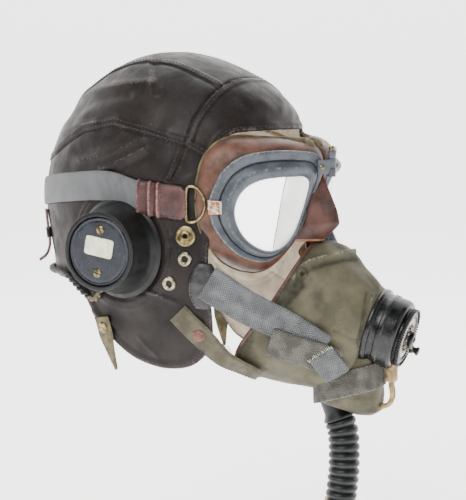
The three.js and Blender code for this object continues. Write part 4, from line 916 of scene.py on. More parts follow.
FINISHES = {
    "leather": dict(dark=(0.0060, 0.0042, 0.0038), light=(0.0150, 0.0110, 0.0102),
        roughness=(0.40, 0.58), patch=26.0, grain=(1.0, 0.10), wear=(0.075, 0.060, 0.055),
        dust=((0.09, 0.075, 0.072), 0.11), specular=0.20, streaks=(7.0, 0.35, (1.0, 1.0, 0.6))),
    "worn": dict(dark=(0.005, 0.005, 0.0055), light=(0.018, 0.0175, 0.019), roughness=(0.3, 0.5),
        patch=5.0, grain=(0.8, 0.2), wear=(0.11, 0.105, 0.10), dust=((0.11, 0.105, 0.10), 0.18)),
    "lining": dict(dark=(0.40, 0.33, 0.24), light=(0.54, 0.47, 0.37), roughness=(0.8, 0.95),
        grain=(1.6, 0.25), sheen=0.3),
    "thread": dict(dark=(0.010, 0.007, 0.0065), light=(0.030, 0.020, 0.018), roughness=(0.6, 0.8),
        patch=3.0),
    "rubber": dict(dark=(0.0026, 0.0034, 0.0032), light=(0.006, 0.0075, 0.0072),
        roughness=(0.34, 0.50), patch=12.0, grain=(1.4, 0.05), specular=0.3,
        wear=(0.03, 0.035, 0.033), dust=((0.06, 0.065, 0.06), 0.12)),
    "bakelite": dict(dark=(0.005, 0.0068, 0.012), light=(0.0115, 0.0145, 0.023),
        roughness=(0.24, 0.42), patch=10.0, grain=(0.8, 0.015), specular=0.4,
        wear=(0.09, 0.10, 0.12), dust=((0.13, 0.14, 0.17), 0.22)),
    "black": dict(dark=(0.0022, 0.0024, 0.0028), light=(0.006, 0.0065, 0.0072),
        roughness=(0.22, 0.40), patch=8.0, grain=(1.0, 0.06), specular=0.4,
        wear=(0.09, 0.095, 0.10), dust=((0.12, 0.125, 0.13), 0.22)),
    "brass": dict(dark=(0.13, 0.10, 0.045), light=(0.36, 0.29, 0.15), roughness=(0.28, 0.5),
        patch=3.0, metallic=1.0, grain=(0.7, 0.03), wear=(0.12, 0.08, 0.04)),
    "steel": dict(dark=(0.17, 0.145, 0.09), light=(0.40, 0.36, 0.26), roughness=(0.22, 0.4),
        patch=3.0, metallic=1.0, grain=(0.6, 0.02), wear=(0.20, 0.16, 0.10)),
    "paper": dict(dark=(0.62, 0.64, 0.47), light=(0.80, 0.82, 0.66), roughness=(0.6, 0.8),
        patch=5.0, grain=(0.5, 0.03), wear=(0.30, 0.28, 0.18)),
    "elastic": dict(dark=(0.100, 0.105, 0.112), light=(0.148, 0.153, 0.164), roughness=(0.75, 0.9),
        patch=16.0, grain=(0.4, 0.04), weave=("ribs", 1.15, 0.16), sheen=0.25,
        wear=(0.32, 0.33, 0.35)),
    "oxblood": dict(dark=(0.030, 0.009, 0.009), light=(0.070, 0.023, 0.021),
        roughness=(0.35, 0.55), patch=9.0, grain=(0.9, 0.09), wear=(0.26, 0.13, 0.11),
        dust=((0.3, 0.2, 0.18), 0.16)),
    "paint": dict(dark=(0.042, 0.049, 0.060), light=(0.071, 0.081, 0.096), roughness=(0.34, 0.5),
        patch=11.0, grain=(0.5, 0.015), specular=0.35, wear=(0.22, 0.235, 0.25),
        dust=((0.2, 0.22, 0.25), 0.2)),
    "groove": dict(dark=(0.004, 0.005, 0.007), light=(0.012, 0.015, 0.020), roughness=(0.6, 0.8),
        patch=3.0),
    "copper": dict(dark=(0.30, 0.09, 0.035), light=(0.60, 0.30, 0.17), roughness=(0.3, 0.5),
        patch=2.4, metallic=0.85, grain=(0.7, 0.06), wear=(0.70, 0.66, 0.62)),
    "rivet": dict(dark=(0.085, 0.030, 0.025), light=(0.17, 0.072, 0.058), roughness=(0.4, 0.6),
        patch=3.0, metallic=0.4, grain=(0.9, 0.08)),
    "pad": dict(dark=(0.044, 0.0175, 0.0105), light=(0.118, 0.050, 0.031), roughness=(0.38, 0.54),
        patch=15.0, grain=(0.8, 0.06), specular=0.35, wear=(0.16, 0.073, 0.042),
        streaks=(6.0, 0.3, (1.0, 1.0, 1.0))),
    "nose leather": dict(dark=(0.030, 0.0115, 0.0085), light=(0.078, 0.031, 0.023),
        roughness=(0.38, 0.54), patch=15.0, grain=(0.8, 0.06), specular=0.35,
        wear=(0.13, 0.06, 0.04), streaks=(6.0, 0.3, (1.0, 1.0, 1.0))),
    "piping": dict(dark=(0.045, 0.036, 0.013), light=(0.115, 0.090, 0.032), roughness=(0.5, 0.7),
        patch=7.0, grain=(0.7, 0.08)),
    "tan": dict(dark=(0.28, 0.105, 0.045), light=(0.42, 0.18, 0.085), roughness=(0.4, 0.6),
        patch=7.0, grain=(0.7, 0.08)),
    # The panes are nearly white and glow: painted light and a painted reflection, though no lamp is
    # in them.
    "glass": dict(dark=(0.90, 0.92, 0.92), light=(0.95, 0.96, 0.96), clearness=0.10,
        roughness=(0.03, 0.06), patch=30.0, grain=(9.0, 0.01), glow=2.0),
    "nose glass": dict(dark=(0.55, 0.56, 0.52), light=(0.88, 0.89, 0.88), clearness=0.10,
        roughness=(0.03, 0.06), patch=24.0, grain=(9.0, 0.01), glow=0.75),
    "mask": dict(dark=(0.062, 0.056, 0.033), light=(0.112, 0.102, 0.063), roughness=(0.55, 0.75),
        patch=24.0, grain=(0.8, 0.07), specular=0.3, wear=(0.20, 0.185, 0.13),
        dust=((0.20, 0.185, 0.13), 0.2), streaks=(9.0, 0.42, (1.0, 1.0, 0.7)), dirt=0.9),
    "binding": dict(dark=(0.050, 0.018, 0.012), light=(0.11, 0.042, 0.026), roughness=(0.5, 0.7),
        patch=5.0, grain=(0.7, 0.1)),
    "webbing": dict(dark=(0.115, 0.122, 0.128), light=(0.205, 0.214, 0.220),
        roughness=(0.85, 0.95), patch=12.0, grain=(0.5, 0.08), weave=("herringbone", 2.1, 0.34),
        wear=(0.30, 0.30, 0.29)),
    "faded": dict(dark=(0.085, 0.081, 0.068), light=(0.185, 0.178, 0.152), roughness=(0.85, 0.95),
        patch=9.0, grain=(0.5, 0.1), weave=("herringbone", 2.1, 0.34), wear=(0.30, 0.29, 0.26)),
    "khaki": dict(dark=(0.078, 0.067, 0.042), light=(0.150, 0.133, 0.090), roughness=(0.85, 0.95),
        patch=10.0, grain=(0.8, 0.2), weave=("twill", 1.3, 0.12), wear=(0.26, 0.235, 0.18)),
    "hose": dict(dark=(0.0035, 0.0045, 0.0050), light=(0.009, 0.011, 0.012),
        roughness=(0.34, 0.50), patch=9.0, grain=(0.9, 0.04), specular=0.35,
        dust=((0.08, 0.085, 0.085), 0.22)),
    "cord": dict(dark=(0.22, 0.145, 0.060), light=(0.44, 0.31, 0.15), roughness=(0.7, 0.85),
        patch=4.0, grain=(0.6, 0.12)),
    "lead": dict(dark=(0.060, 0.048, 0.026), light=(0.16, 0.13, 0.075), roughness=(0.7, 0.85),
        patch=4.0, grain=(0.6, 0.12)),
}


COLOURED = ("leather", "pad", "mask", "paint", "elastic", "webbing")  # with a colour setting


def make_looks(tones):
    """Every material of the helmet, by name. tones are the light tones that a user chose."""
    made = {}
    for name, finish in FINISHES.items():
        finish = {**finish, "light": tones.get(name, finish["light"])}
        made[name] = make_surface(name.capitalize(), **finish)
    return made


# The helmet's leather shell

FAR = 2 * CROWN_RADIUS
EDGE_PLACES = side_place([
    (1.6, 0.545), (0.7, 0.545), (0.62, 0.53), (0.585, 0.48), (0.572, 0.4), (0.577, 0),
    (0.577, -0.55), (0.55, -0.68), (0.48, -0.78), (0.37, -0.85), (0.2, -0.865), (0, -0.81),
    (-0.16, -0.67), (-0.26, -0.53), (-0.33, -0.43), (-0.45, -0.37), (-1.6, -0.37), (-1.6, 1.6),
    (1.6, 1.6),
])
EDGE_CURVE = smooth_curve(EDGE_PLACES[1:16], np.linspace(0, 1, 70))
HELMET_EDGE = np.vstack([EDGE_PLACES[:1], EDGE_CURVE, EDGE_PLACES[16:]])
CROSSING = (0.41, 0.466)  # where the brow seam meets the side seam
BROW_SEAM = side_place([(0.56, 1.3), (0.485, 0.852), (0.462, 0.771), (0.42, 0.6), CROSSING])
SIDE_SEAM_BACK = side_place([CROSSING, (0.154, 0.528), (-0.092, 0.574), (-0.346, 0.528),
                             (-0.615, 0.39), (-1.6, 0)])
SIDE_SEAM_FRONT = side_place([CROSSING, (0.538, 0.39), (0.75, 0.32), (1.6, 0.2)])
DART = side_place([CROSSING, (0.385, 0.36), (0.345, 0.265)])
EAR_CENTRE = np.array([EAR_FORWARD, EAR_LINE - EAR_DROP])
SHELL_ROUND, SHELL_ACROSS = 720, 250

# Seams: how far the upper layer is folded over, how high it stands, and its two stitch rows
SEAM_OVERLAP = 0.45
LAP_WIDTH = 5.6
LAP_HEIGHT = 0.75
STITCH_ROWS = (1.4, 4.4)
HEM_ROW = 3.6
STITCH_PITCH, STITCH_LENGTH, STITCH_RADIUS = 3.3, 2.5, 0.34
EAR_RIDGES = ((42.3, 1.7, 1.8), (46.4, 1.3, 1.8))  # radius, height and width in millimetres
EAR_ROW = 44.4

# Creases in the leather, as the photograph shows them: places in its pixels, height and width
# in millimetres. A height below zero is a hollow.
CREASES = [
    (((101.7, 169.2), (121, 160), (144, 148.5)), 1.5, 2.0),
    (((104, 176), (124, 168), (146, 156)), -1.3, 3.0),
    (((81, 160), (97, 157), (113, 151), (127, 146), (140, 138.6)), 1.2, 2.6),
    (((80, 151), (97, 145), (118, 133)), -1.3, 4.5),
    (((70, 104), (86, 94), (104, 88), (131, 84), (153, 82)), 1.2, 3.2),
    (((66, 118), (84, 106), (104, 99), (128, 95)), -1.0, 4.0),
    (((153, 65), (156, 78), (157, 92)), -1.6, 4.0),
    (((148, 62), (150, 78), (151, 90)), 0.9, 3.0),
    (((66, 135), (80, 126), (96, 122)), 0.9, 3.2),
    (((120, 118), (143, 121), (166, 130)), 0.6, 3.2),
    (((169, 219), (172, 226), (171.6, 233)), 0.8, 1.4),
    (((118, 291), (132, 295), (146, 296)), 0.9, 1.6),
    (((146, 290), (164, 297.7), (176.7, 302.8)), 0.9, 1.8),
    (((150, 272), (163, 262), (170, 247)), -0.7, 2.2),
    (((138.7, 337), (148, 347), (157.7, 356)), 0.7, 1.6),
    (((94, 312), (103, 319), (111, 324)), 1.2, 2.6),
    (((110, 312), (140, 322), (176, 318)), -0.9, 6.0),
    (((262, 100), (275, 112), (290, 120)), 0.6, 3.0),
    (((236, 96), (252, 116), (262, 132)), -0.7, 5.0),
    (((158, 180), (172, 186), (192, 176)), 0.7, 2.0),
]


def photo_pixels(points):
    """Where the photograph's camera sees points."""
    from_target = points - TARGET
    size = VIEW_SCALE * VIEW_DISTANCE / (VIEW_DISTANCE - from_target @ TO_CAMERA)
    return np.stack([PHOTO_WIDTH / 2 + size * (from_target @ TO_RIGHT),
                     PHOTO_HEIGHT / 2 - size * (from_target @ TO_TOP)], -1)


def pixel_distance(pixels, line):
    """Distance from pixels to a smooth line through others, in millimetres at the target."""
    smooth = smooth_curve(np.array(line), np.linspace(0, 1, 4 * len(line)))
    return line_distance(pixels, smooth) / VIEW_SCALE


def seam_sides(points):
    """Signed distances from the seams. They are positive where the upper layer is folded."""
    side = np.stack([-points[:, 1], points[:, 2]], 1)
    brow_f = np.interp(side[:, 1], BROW_SEAM[::-1, 1], BROW_SEAM[::-1, 0])
    brow = line_distance(side, BROW_SEAM) * np.where(side[:, 0] > brow_f, 1, -1)
    seam = np.vstack([SIDE_SEAM_BACK[::-1], SIDE_SEAM_FRONT[1:]])
    above = side[:, 1] > np.interp(side[:, 0], seam[:, 0], seam[:, 1])
    across = line_distance(side, seam) * np.where(above, 1, -1)
    strip = STRIP_HALF_WIDTH - np.abs(points[:, 0])
    return {"brow": brow, "side": across, "strip": strip,
            "edge": region_depth(side, HELMET_EDGE),
            "dart": line_distance(side, DART),
            "ear": np.linalg.norm(side - EAR_CENTRE, axis=1)}


def lap(distance):
    """The lift of a folded seam at signed distances from it."""
    folded = LAP_HEIGHT * (1 - smoothstep(LAP_WIDTH - 1.2, LAP_WIDTH + 1.0, distance))
    rolled = 0.9 * bell(distance, 0.9)
    return np.where(distance > 0, folded, -0.35 * bell(distance, 2.2)) - rolled


def leather_lift(points):
    """How far the leather stands out from the plain shell at points on it, and its wear. On the
    crease ridges the wear is partly a painted highlight.
    """
    near = seam_sides(points)
    on_strip = near["strip"] > 0
    above = near["side"] > 0
    behind = near["brow"] < 0
    lift = np.where(above, lap(near["brow"]), 0)
    lift += np.where(on_strip & behind, 0, lap(near["side"]))
    lift += np.where(behind, lap(near["strip"]), 0)
    lift += 0.9 * smoothstep(0, 1.1, near["edge"]) * (1 - smoothstep(5.2, 7.0, near["edge"]))
    lift += np.where(above, 0, 0.8 * bell(near["dart"] - 3.0, 1.9) - 0.9 * bell(near["dart"], 0.9))
    for radius, height, width in EAR_RIDGES:
        lift += height * bell(near["ear"] - radius, width)
    pixels = photo_pixels(points * np.where(points[:, :1] > 0, [-1.0, 1, 1], 1.0))
    crease_wear_and_highlight = np.zeros(len(points))
    for line, height, width in CREASES:
        distance = pixel_distance(pixels, line)
        lift += height * bell(distance, width)
        # Raised creases are made lighter: partly rubbed leather, partly a painted highlight.
        crease_wear_and_highlight += max(height, 0) * bell(distance, width * 0.55)
    rough = lumps(points, 9.0, 3.0)
    lift += 1.0 * lumps(points, 42.0, 1.0) + 0.42 * lumps(points, 17.0, 2.0) + 0.16 * rough
    seams = sum(bell(near[key] - 3.2, 3.4) for key in ("brow", "side", "strip"))
    wear = 0.22 * seams + 0.42 * crease_wear_and_highlight + 0.5 * bell(near["edge"] - 1.5, 2.0)
    wear += 0.25 * bell(near["ear"] - 46.5, 2.5) + 0.16 * rough
    return lift, np.clip(wear, 0, 1)


def seat_on_leather(points, stand_off=0.0):
    """Points of the plain shell moved out onto the leather."""
    lift, _ = leather_lift(points)
    return points + shell_normal(points) * (lift + stand_off)[:, None]


def shell_grid():
    """Points all over the plain shell, row by row, and their quads."""
    angle = np.linspace(0, 360, SHELL_ROUND, endpoint=False)[:, None]
    lean = np.linspace(0.03, math.pi - 0.03, SHELL_ACROSS)[None, :]
    side = -np.sign(np.cos(lean)) * np.abs(np.cos(lean)) ** (2 / BOXINESS)
    reach = outline_radius(angle) * np.sin(lean) ** (2 / BOXINESS)
    points = place(HALF_WIDTH * side, reach * np.cos(np.radians(angle)),
                   EAR_LINE + reach * np.sin(np.radians(angle)))
    return points.reshape(-1, 3), grid_faces(SHELL_ROUND, SHELL_ACROSS, True)


def moved(line, forward, rise):
    """A line in the side view, moved as a whole."""
    return np.asarray(line) + np.array([forward, rise])


def panel_outlines():
    """The side-view outline, the least x and the most x of each leather panel."""
    half = -SEAM_OVERLAP
    last = BROW_SEAM[-1]
    behind = moved(BROW_SEAM, -half, 0)
    front = np.vstack([moved(BROW_SEAM, half, 0), moved(SIDE_SEAM_FRONT[1:], 0, half),
                       [(FAR, FAR)]])
    above = np.vstack([behind, moved(SIDE_SEAM_BACK[1:], 0, half), [(-FAR, FAR)]])
    below = np.vstack([moved(SIDE_SEAM_BACK[:0:-1], 0, -half), [(last[0], last[1] - half)],
                       moved(SIDE_SEAM_FRONT[1:], 0, -half),
                       [(FAR, -FAR - CROWN_RADIUS), (-FAR, -FAR - CROWN_RADIUS)]])
    middle = np.vstack([behind, [(last[0] - half, -FAR - CROWN_RADIUS),
                                 (-FAR, -FAR - CROWN_RADIUS), (-FAR, FAR)]])
    beyond = STRIP_HALF_WIDTH + half
    return {
        "brow_panel": (front, -FAR, FAR),
        "crown_side_right": (above, -FAR, -beyond),
        "crown_side_left": (above, beyond, FAR),
        "side_panel_right": (below, -FAR, -beyond),
        "side_panel_left": (below, beyond, FAR),
        "crown_strip": (middle, -beyond + 2 * half, beyond - 2 * half),
    }


TUCKS = {"brow": 0.0, "crown": 0.15, "side": 0.3}  # how far a panel's edge goes under the next


def depth_at(points, outline, low, high):
    """How far points are inside a panel's outline and its least and most x."""
    side = np.stack([-points[:, 1], points[:, 2]], 1)
    across = np.minimum(points[:, 0] - low, high - points[:, 0])
    return np.minimum(region_depth(side, outline), across)


def make_shell(looks):
    """The six leather panels, each with its own lining."""
    points, faces = shell_grid()
    side = np.stack([-points[:, 1], points[:, 2]], 1)
    shared = np.minimum(region_depth(side, HELMET_EDGE),
                        np.linalg.norm(side - EAR_CENTRE, axis=1) - EAR_HOLE)
    for name, (outline, low, high) in panel_outlines().items():
        depth = np.minimum(shared, depth_at(points, outline, low, high))
        own_points, own_faces = clip_mesh(points, faces, depth)
        lift, wear = leather_lift(own_points)
        tucked = depth_at(own_points, outline, low, high) < 2 * SEAM_OVERLAP
        lift -= np.where(tucked, TUCKS[name.split("_")[0]], 0)
        lifted = own_points + shell_normal(own_points) * lift[:, None]
        panel = mesh_piece(name.replace("_", " ").capitalize(), lifted, own_faces,
                           [looks["leather"], looks["lining"]], marks={"wear": wear})
        turn_sheet(panel, HEAD_MIDDLE)
        thicken(panel, bpy.context.scene.helmet_sizes.leather_wall / MM, lining=1)
        finish_piece(panel, name)


def seam_line(name, offset):
    """A line on the plain shell beside a seam, on the side where it is folded over."""
    lines = []
    if name == "brow":
        for side in (RIGHT, LEFT):
            z = np.linspace(BROW_SEAM[-1, 1] + offset, BROW_SEAM[1, 1] + 12, 90)
            f = np.interp(z, BROW_SEAM[::-1, 1], BROW_SEAM[::-1, 0]) + offset
            inside = shell_level(place(0 * z, f, z)) < 0.995
            lines.append(shell_beside(f[inside], z[inside], side))
        return [np.vstack([lines[0], lines[1][::-1]])]
    if name == "side":
        for side in (RIGHT, LEFT):
            for seam in (SIDE_SEAM_BACK, SIDE_SEAM_FRONT):
                f = np.linspace(seam[0, 0], seam[-1, 0], 260)
                z = np.interp(f, seam[:, 0][np.argsort(seam[:, 0])],
                              seam[:, 1][np.argsort(seam[:, 0])]) + offset
                p = shell_beside(f, z, side)
                near = seam_sides(p)
                keep = (shell_level(place(0 * f, f, z)) < 0.98) & (near["edge"] > 2)
                keep &= np.abs(p[:, 0]) > STRIP_HALF_WIDTH
                keep &= np.abs(near["brow"] + (offset if seam is SIDE_SEAM_BACK else 0)) > 0.8
                lines.append(p[keep])
        return lines
    for side in (RIGHT, LEFT):
        angle = np.linspace(0, 360, 700)
        x = side * (STRIP_HALF_WIDTH - offset)
        share = (1 - (abs(x) / HALF_WIDTH) ** BOXINESS) ** (1 / BOXINESS)
        radius = outline_radius(angle) * share
        p = place(x, radius * np.cos(np.radians(angle)),
                  EAR_LINE + radius * np.sin(np.radians(angle)))
        near = seam_sides(p)
        keep = (near["edge"] > 2) & (near["brow"] < -1) & (p[:, 2] > -FAR)
        lines.append(p[keep])
    return lines


def hem_line(offset, side):
    """A line on the plain shell inside its edge, on one side."""
    closer, _ = even_curve(EDGE_CURVE, 1.5)
    along = unit(np.gradient(closer, axis=0))
    inner = closer + offset * np.stack([along[:, 1], -along[:, 0]], 1)
    keep = shell_level(place(0 * inner[:, 0], inner[:, 0], inner[:, 1])) < 0.97
    return shell_beside(inner[keep, 0], inner[keep, 1], side)


def make_stitches(looks):
    """The helmet's own sewing: along its seams, hem, darts and round its ear cups."""
    lines = []
    for offset in STITCH_ROWS:
        for name in ("brow", "side", "strip"):
            lines += seam_line(name, offset)
    for side in (RIGHT, LEFT):
        lines.append(hem_line(HEM_ROW, side))
        for sign in (-1, 1):
            dart = even_curve(DART, 1.5)[0] + np.array([sign * 3.0, sign * 1.0])
            lines.append(shell_beside(dart[3:, 0], dart[3:, 1], side))
        turn = np.linspace(0, 2 * np.pi, 120)
        round_ear = EAR_CENTRE + EAR_ROW * np.stack([np.cos(turn), np.sin(turn)], 1)
        lines.append(shell_beside(round_ear[:, 0], round_ear[:, 1], side))
    lines = [seat_on_leather(line, 0.05) for line in lines if len(line) > 3]
    sizes = bpy.context.scene.helmet_sizes
    rows = thread_rows("Helmet Stitches", lines, looks["thread"], sizes.stitch_pitch / MM,
                       sizes.stitch_length / MM, sizes.stitch_radius / MM)
    finish_piece(rows)


# Ear cups and what lies in front of them

CUP_LEAN = math.radians(EAR_TURN)


def cup_frame(side):
    """A cup's foot, its outward direction, and forward in its face."""
    foot = place(side * HALF_WIDTH, EAR_FORWARD, EAR_LINE - EAR_DROP)
    out = place(side * math.cos(CUP_LEAN), math.sin(CUP_LEAN), 0)
    ahead = place(-side * math.sin(CUP_LEAN), math.cos(CUP_LEAN), 0)
    return foot, out, ahead


def lie_on_shell(foot, out, edge_height):
    """Lifts the low rings of a turned piece so that they lie on the leather."""
    def bend(rings):
        height = (rings - foot) @ out
        base = rings - height[..., None] * out
        inner = base - 34.0 * out
        leave = leave_shell(inner, np.broadcast_to(out, inner.shape))
        leather = (leave - base) @ out
        follow = 1 - smoothstep(edge_height, edge_height + 9.0, height)
        return rings + (follow * (leather + 0.5))[..., None] * out
    return bend


def slotted_head(name, centre, axis, radius, turn, material):
    """A worn round screw head with a slot across it."""
    gap, sides, steps = 0.45, 32, 22  # half the slot's width, and how finely it is made
    axis = unit(axis)
    across = unit(np.cross([0.0, 0.0, 1.0], axis))
    over = np.cross(axis, across)
    first = np.cos(turn) * across + np.sin(turn) * over
    second = np.cross(axis, first)
    parts = [lathe(name, [(radius - 0.3, -1.0), (radius - 0.3, 0.1)], centre, axis, sides,
                   material)]
    start = math.asin(gap / radius)
    arc = np.linspace(start, math.pi - start, steps)
    for sign in (1, -1):
        rim = radius * (np.cos(arc)[:, None] * first + sign * np.sin(arc)[:, None] * second)
        heart = sign * gap * second
        rows = [rim, rim + 0.55 * axis, 0.9 * rim + 0.1 * heart + 0.85 * axis,
                0.5 * rim + 0.5 * heart + 1.05 * axis]
        points = centre + np.vstack(rows)
        faces = barrel_faces(len(rows), steps)
        parts.append(face_outwards(mesh_piece(name, points, faces, material)))
    return join_meshes(name, parts)


def make_ear_cups(looks):
    """The rubber cups with their receiver caps and screws."""
    depth = CUP_DEPTH
    cap_foot = depth - CAP_THICKNESS - 1
    inside = CAP_RADIUS + TOUCH
    profile = rounded([
        (EAR_HOLE, 0), (CUP_FLANGE, 0), (CUP_FLANGE, 1.6), (CUP_FOOT + 1.2, 3.0),
        (CUP_FOOT - 0.6, 7.5), (CUP_FOOT - 1.6, 11), (CUP_MOUTH + 0.5, depth - 2.5),
        (CUP_MOUTH + 0.9, depth - 0.3), (inside + 0.6, depth), (inside, depth - 1.0),
        (inside, cap_foot - TOUCH), (EAR_HOLE, cap_foot - TOUCH), (EAR_HOLE, 0),
    ], 0.9, 4)
    for name, side in SIDES:
        foot, out, ahead = cup_frame(side)
        cup = lathe(f"Ear cup {name}", profile, foot, out, 128, looks["rubber"],
                    bend=lie_on_shell(foot, out, 3.0))
        finish_piece(cup, f"ear_cup_{name}")

        face = cap_foot + CAP_THICKNESS
        disc = rounded([(0.5, cap_foot), (CAP_RADIUS, cap_foot), (CAP_RADIUS, face - 0.7),
                        (CAP_RADIUS - 0.9, face + 0.1), (CAP_RADIUS - 2.4, face - 0.25),
                        (CAP_RADIUS - 4, face), (0.5, face)], 0.5, 3)
        cap = lathe(f"Receiver cap {name}", disc, foot, out, 128, looks["bakelite"])
        finish_piece(cap, f"receiver_cap_{name}")
        lean = math.radians(5)
        for end, sign in (("upper", 1), ("lower", -1)):
            spot = (foot + sign * SCREW_SPACING / 2 * (math.sin(lean) * ahead + math.cos(lean) * UP)
                    + face * out)
            washer = lathe("Well", [(SCREW_RADIUS + 0.9, -0.2), (SCREW_RADIUS + 0.7, 0.12),
                                    (SCREW_RADIUS - 0.2, 0.12)], spot, out, 40, looks["bakelite"])
            head = slotted_head("Head", spot - 0.15 * out, out, SCREW_RADIUS,
                                0.8 + 1.1 * sign, looks["brass"])
            screw = join_meshes(f"Cap screw {end} {name}", [washer, head])
            finish_piece(screw, f"cap_screw_{end}_{name}")
        if side == RIGHT:
            make_label(looks, foot, out, ahead, face)


LABEL_TURN, LABEL_RISE = -9.0, 3.5  # degrees off level, and above the cap's middle
LABEL_SHARPNESS = 9.0  # of its corners


def make_label(looks, foot, out, ahead, face):
    """A blank paper label on the right cap, a little off level."""
    turn, rise = math.radians(LABEL_TURN), LABEL_RISE
    columns, rows = 36, 22
    u, v = np.meshgrid(np.linspace(-1, 1, columns), np.linspace(-1, 1, rows))
    sharp = LABEL_SHARPNESS
    size = np.maximum((np.abs(u) ** sharp + np.abs(v) ** sharp) ** (1 / sharp), 1e-6)
    top = np.maximum(np.abs(u), np.abs(v))
    x = u * top / size * LABEL_WIDTH / 2
    y = v * top / size * LABEL_HEIGHT / 2
    edge = 1 - top
    ragged = 1 + 0.012 * lumps(place(x, y, 0 * x), 2.0, 5.0)
    x, y = x * ragged, y * ragged
    along = math.cos(turn) * ahead + math.sin(turn) * UP
    up = -math.sin(turn) * ahead + math.cos(turn) * UP
    lift = 0.16 + 0.05 * lumps(place(x, y, 0 * x), 6.0, 2.0) + 0.35 * bell(edge, 0.04) * (
        np.clip(lumps(place(x, y, 0 * x), 5.0, 8.0), 0, 1))
    points = (foot + rise * UP + x[..., None] * along + y[..., None] * up
              + (face + lift)[..., None] * out)
    wear = np.clip(0.7 * bell(edge, 0.08), 0, 1)
    label = mesh_piece("Cap label", points, grid_faces(rows, columns), looks["paper"],
                       marks={"wear": wear})
    turn_sheet(label, HEAD_MIDDLE)
    thicken(label, 0.25)
    finish_piece(label, "cap_label_right")


def make_studs(looks):
    """The press stud and the eyelets in front of each ear cup."""
    stud = rounded([(1.7, -1), (8.2, -1), (8.2, 0.6), (7.4, 1.7), (6.2, 1.9), (4.9, 1.0),
                    (4.2, 1.2), (3.9, 2.6), (3.0, 3.0), (1.9, 2.5), (1.7, 1.2)], 0.45, 3)
    eyelet = rounded([(2.2, -1), (5.8, -1), (5.8, 0.7), (5.0, 1.6), (3.2, 1.7), (2.3, 1.0)],
                     0.45, 3)
    rows = [
        ("press_stud", stud, (0.45, -0.057), "brass"),
        ("eyelet_upper", eyelet, (0.45, -0.19), "steel"),
        ("eyelet_lower", eyelet, (0.35, -0.337), "steel"),
    ]
    for key, profile, spot, look in rows:
        for name, side in SIDES:
            f, z = side_place(spot)
            at = shell_beside(f, z, side)
            normal = shell_normal(at)
            lift, _ = leather_lift(at[None])
            at = at + normal * (lift[0] - 0.2)
            ring = lathe("Ring", profile, at, normal, 56, looks[look], open_heart=True)
            # A dark disc fills the hole of each stud and eyelet: painted shade.
            heart = lathe("Heart", [(2.4, -0.8), (2.4, 0.15), (0.3, 0.15)], at, normal, 24,
                          looks["groove"])
            piece = join_meshes(f"{key.replace('_', ' ').capitalize()} {name}", [ring, heart])
            finish_piece(piece, f"{key}_{name}")


# The goggle strap, its leather ends and its wire rings

STRAP_LINE = np.array([(50, 0.128), (73, 0.159), (95, 0.215), (125, 0.192), (155, 0.143),
                       (180, 0.128)])
TAB_START, TAB_END, RING_BEARING = 73.0, 53.0, 49.5
RING_OUTLINE = [(-6, 0), (-6, 8), (-5, 12.6), (-1, 13.4), (4, 10.6), (7.4, 5), (8.4, 0)]
END_RIDGES = (0.27, 0.45)  # where a strap end is gathered and sewn, from its elastic
STRAP_END_ROWS = 90


def spot_at_bearing(bearing, z):
    """A place on the shell at one bearing and height, and the way out of the shell there."""
    at = shell_at_bearing(np.array([float(bearing)]), np.array([float(z)]))[0]
    return at, shell_normal(at)


def strap_rise(bearing):
    """The height of the goggle strap's middle, by bearing."""
    line = smooth_curve(STRAP_LINE, np.linspace(0, 1, 300))
    folded = np.where(bearing > 180, 360 - bearing, bearing)
    return EAR_LINE + CROWN_RADIUS * np.interp(folded, line[:, 0], line[:, 1])


def strap_frames(bearings, width, lift):
    """Middles, across and outward directions of a band that hugs the shell."""
    middle = strap_rise(bearings)
    centre = shell_at_bearing(bearings, middle)
    high = shell_at_bearing(bearings, middle + width / 2)
    low = shell_at_bearing(bearings, middle - width / 2)
    out = shell_normal(centre)
    across = unit(high - low)
    bowed = ((high + low) / 2 * 0.35 + centre * 0.65)
    return bowed + out * lift, across, unit(out - (out * across).sum(1)[:, None] * across)


def make_goggle_strap(looks):
    """The elastic round the helmet, with its ends and rings."""
    bearings = np.linspace(TAB_START - 1.0, 360 - TAB_START + 1.0, 420)
    lift = 1.3 + 1.2 * bell(bearings - TAB_START, 6) + 1.2 * bell(360 - TAB_START - bearings, 6)
    middles, across, out = strap_frames(bearings, STRAP_WIDTH, lift[:, None])
    waves = 0.35 * lumps(middles, 24.0, 6.0)
    middles = middles + out * np.maximum(waves, -0.2)[:, None]
    strap = ribbon("Goggle strap", middles, across, out, STRAP_WIDTH + 0.35 * waves,
                   STRAP_THICKNESS, looks["elastic"], columns=21, crown=0.5)
    finish_piece(strap, "goggle_strap")
    for name, side in SIDES:
        make_strap_end(looks, name, side)
        make_ring(looks, name, side)


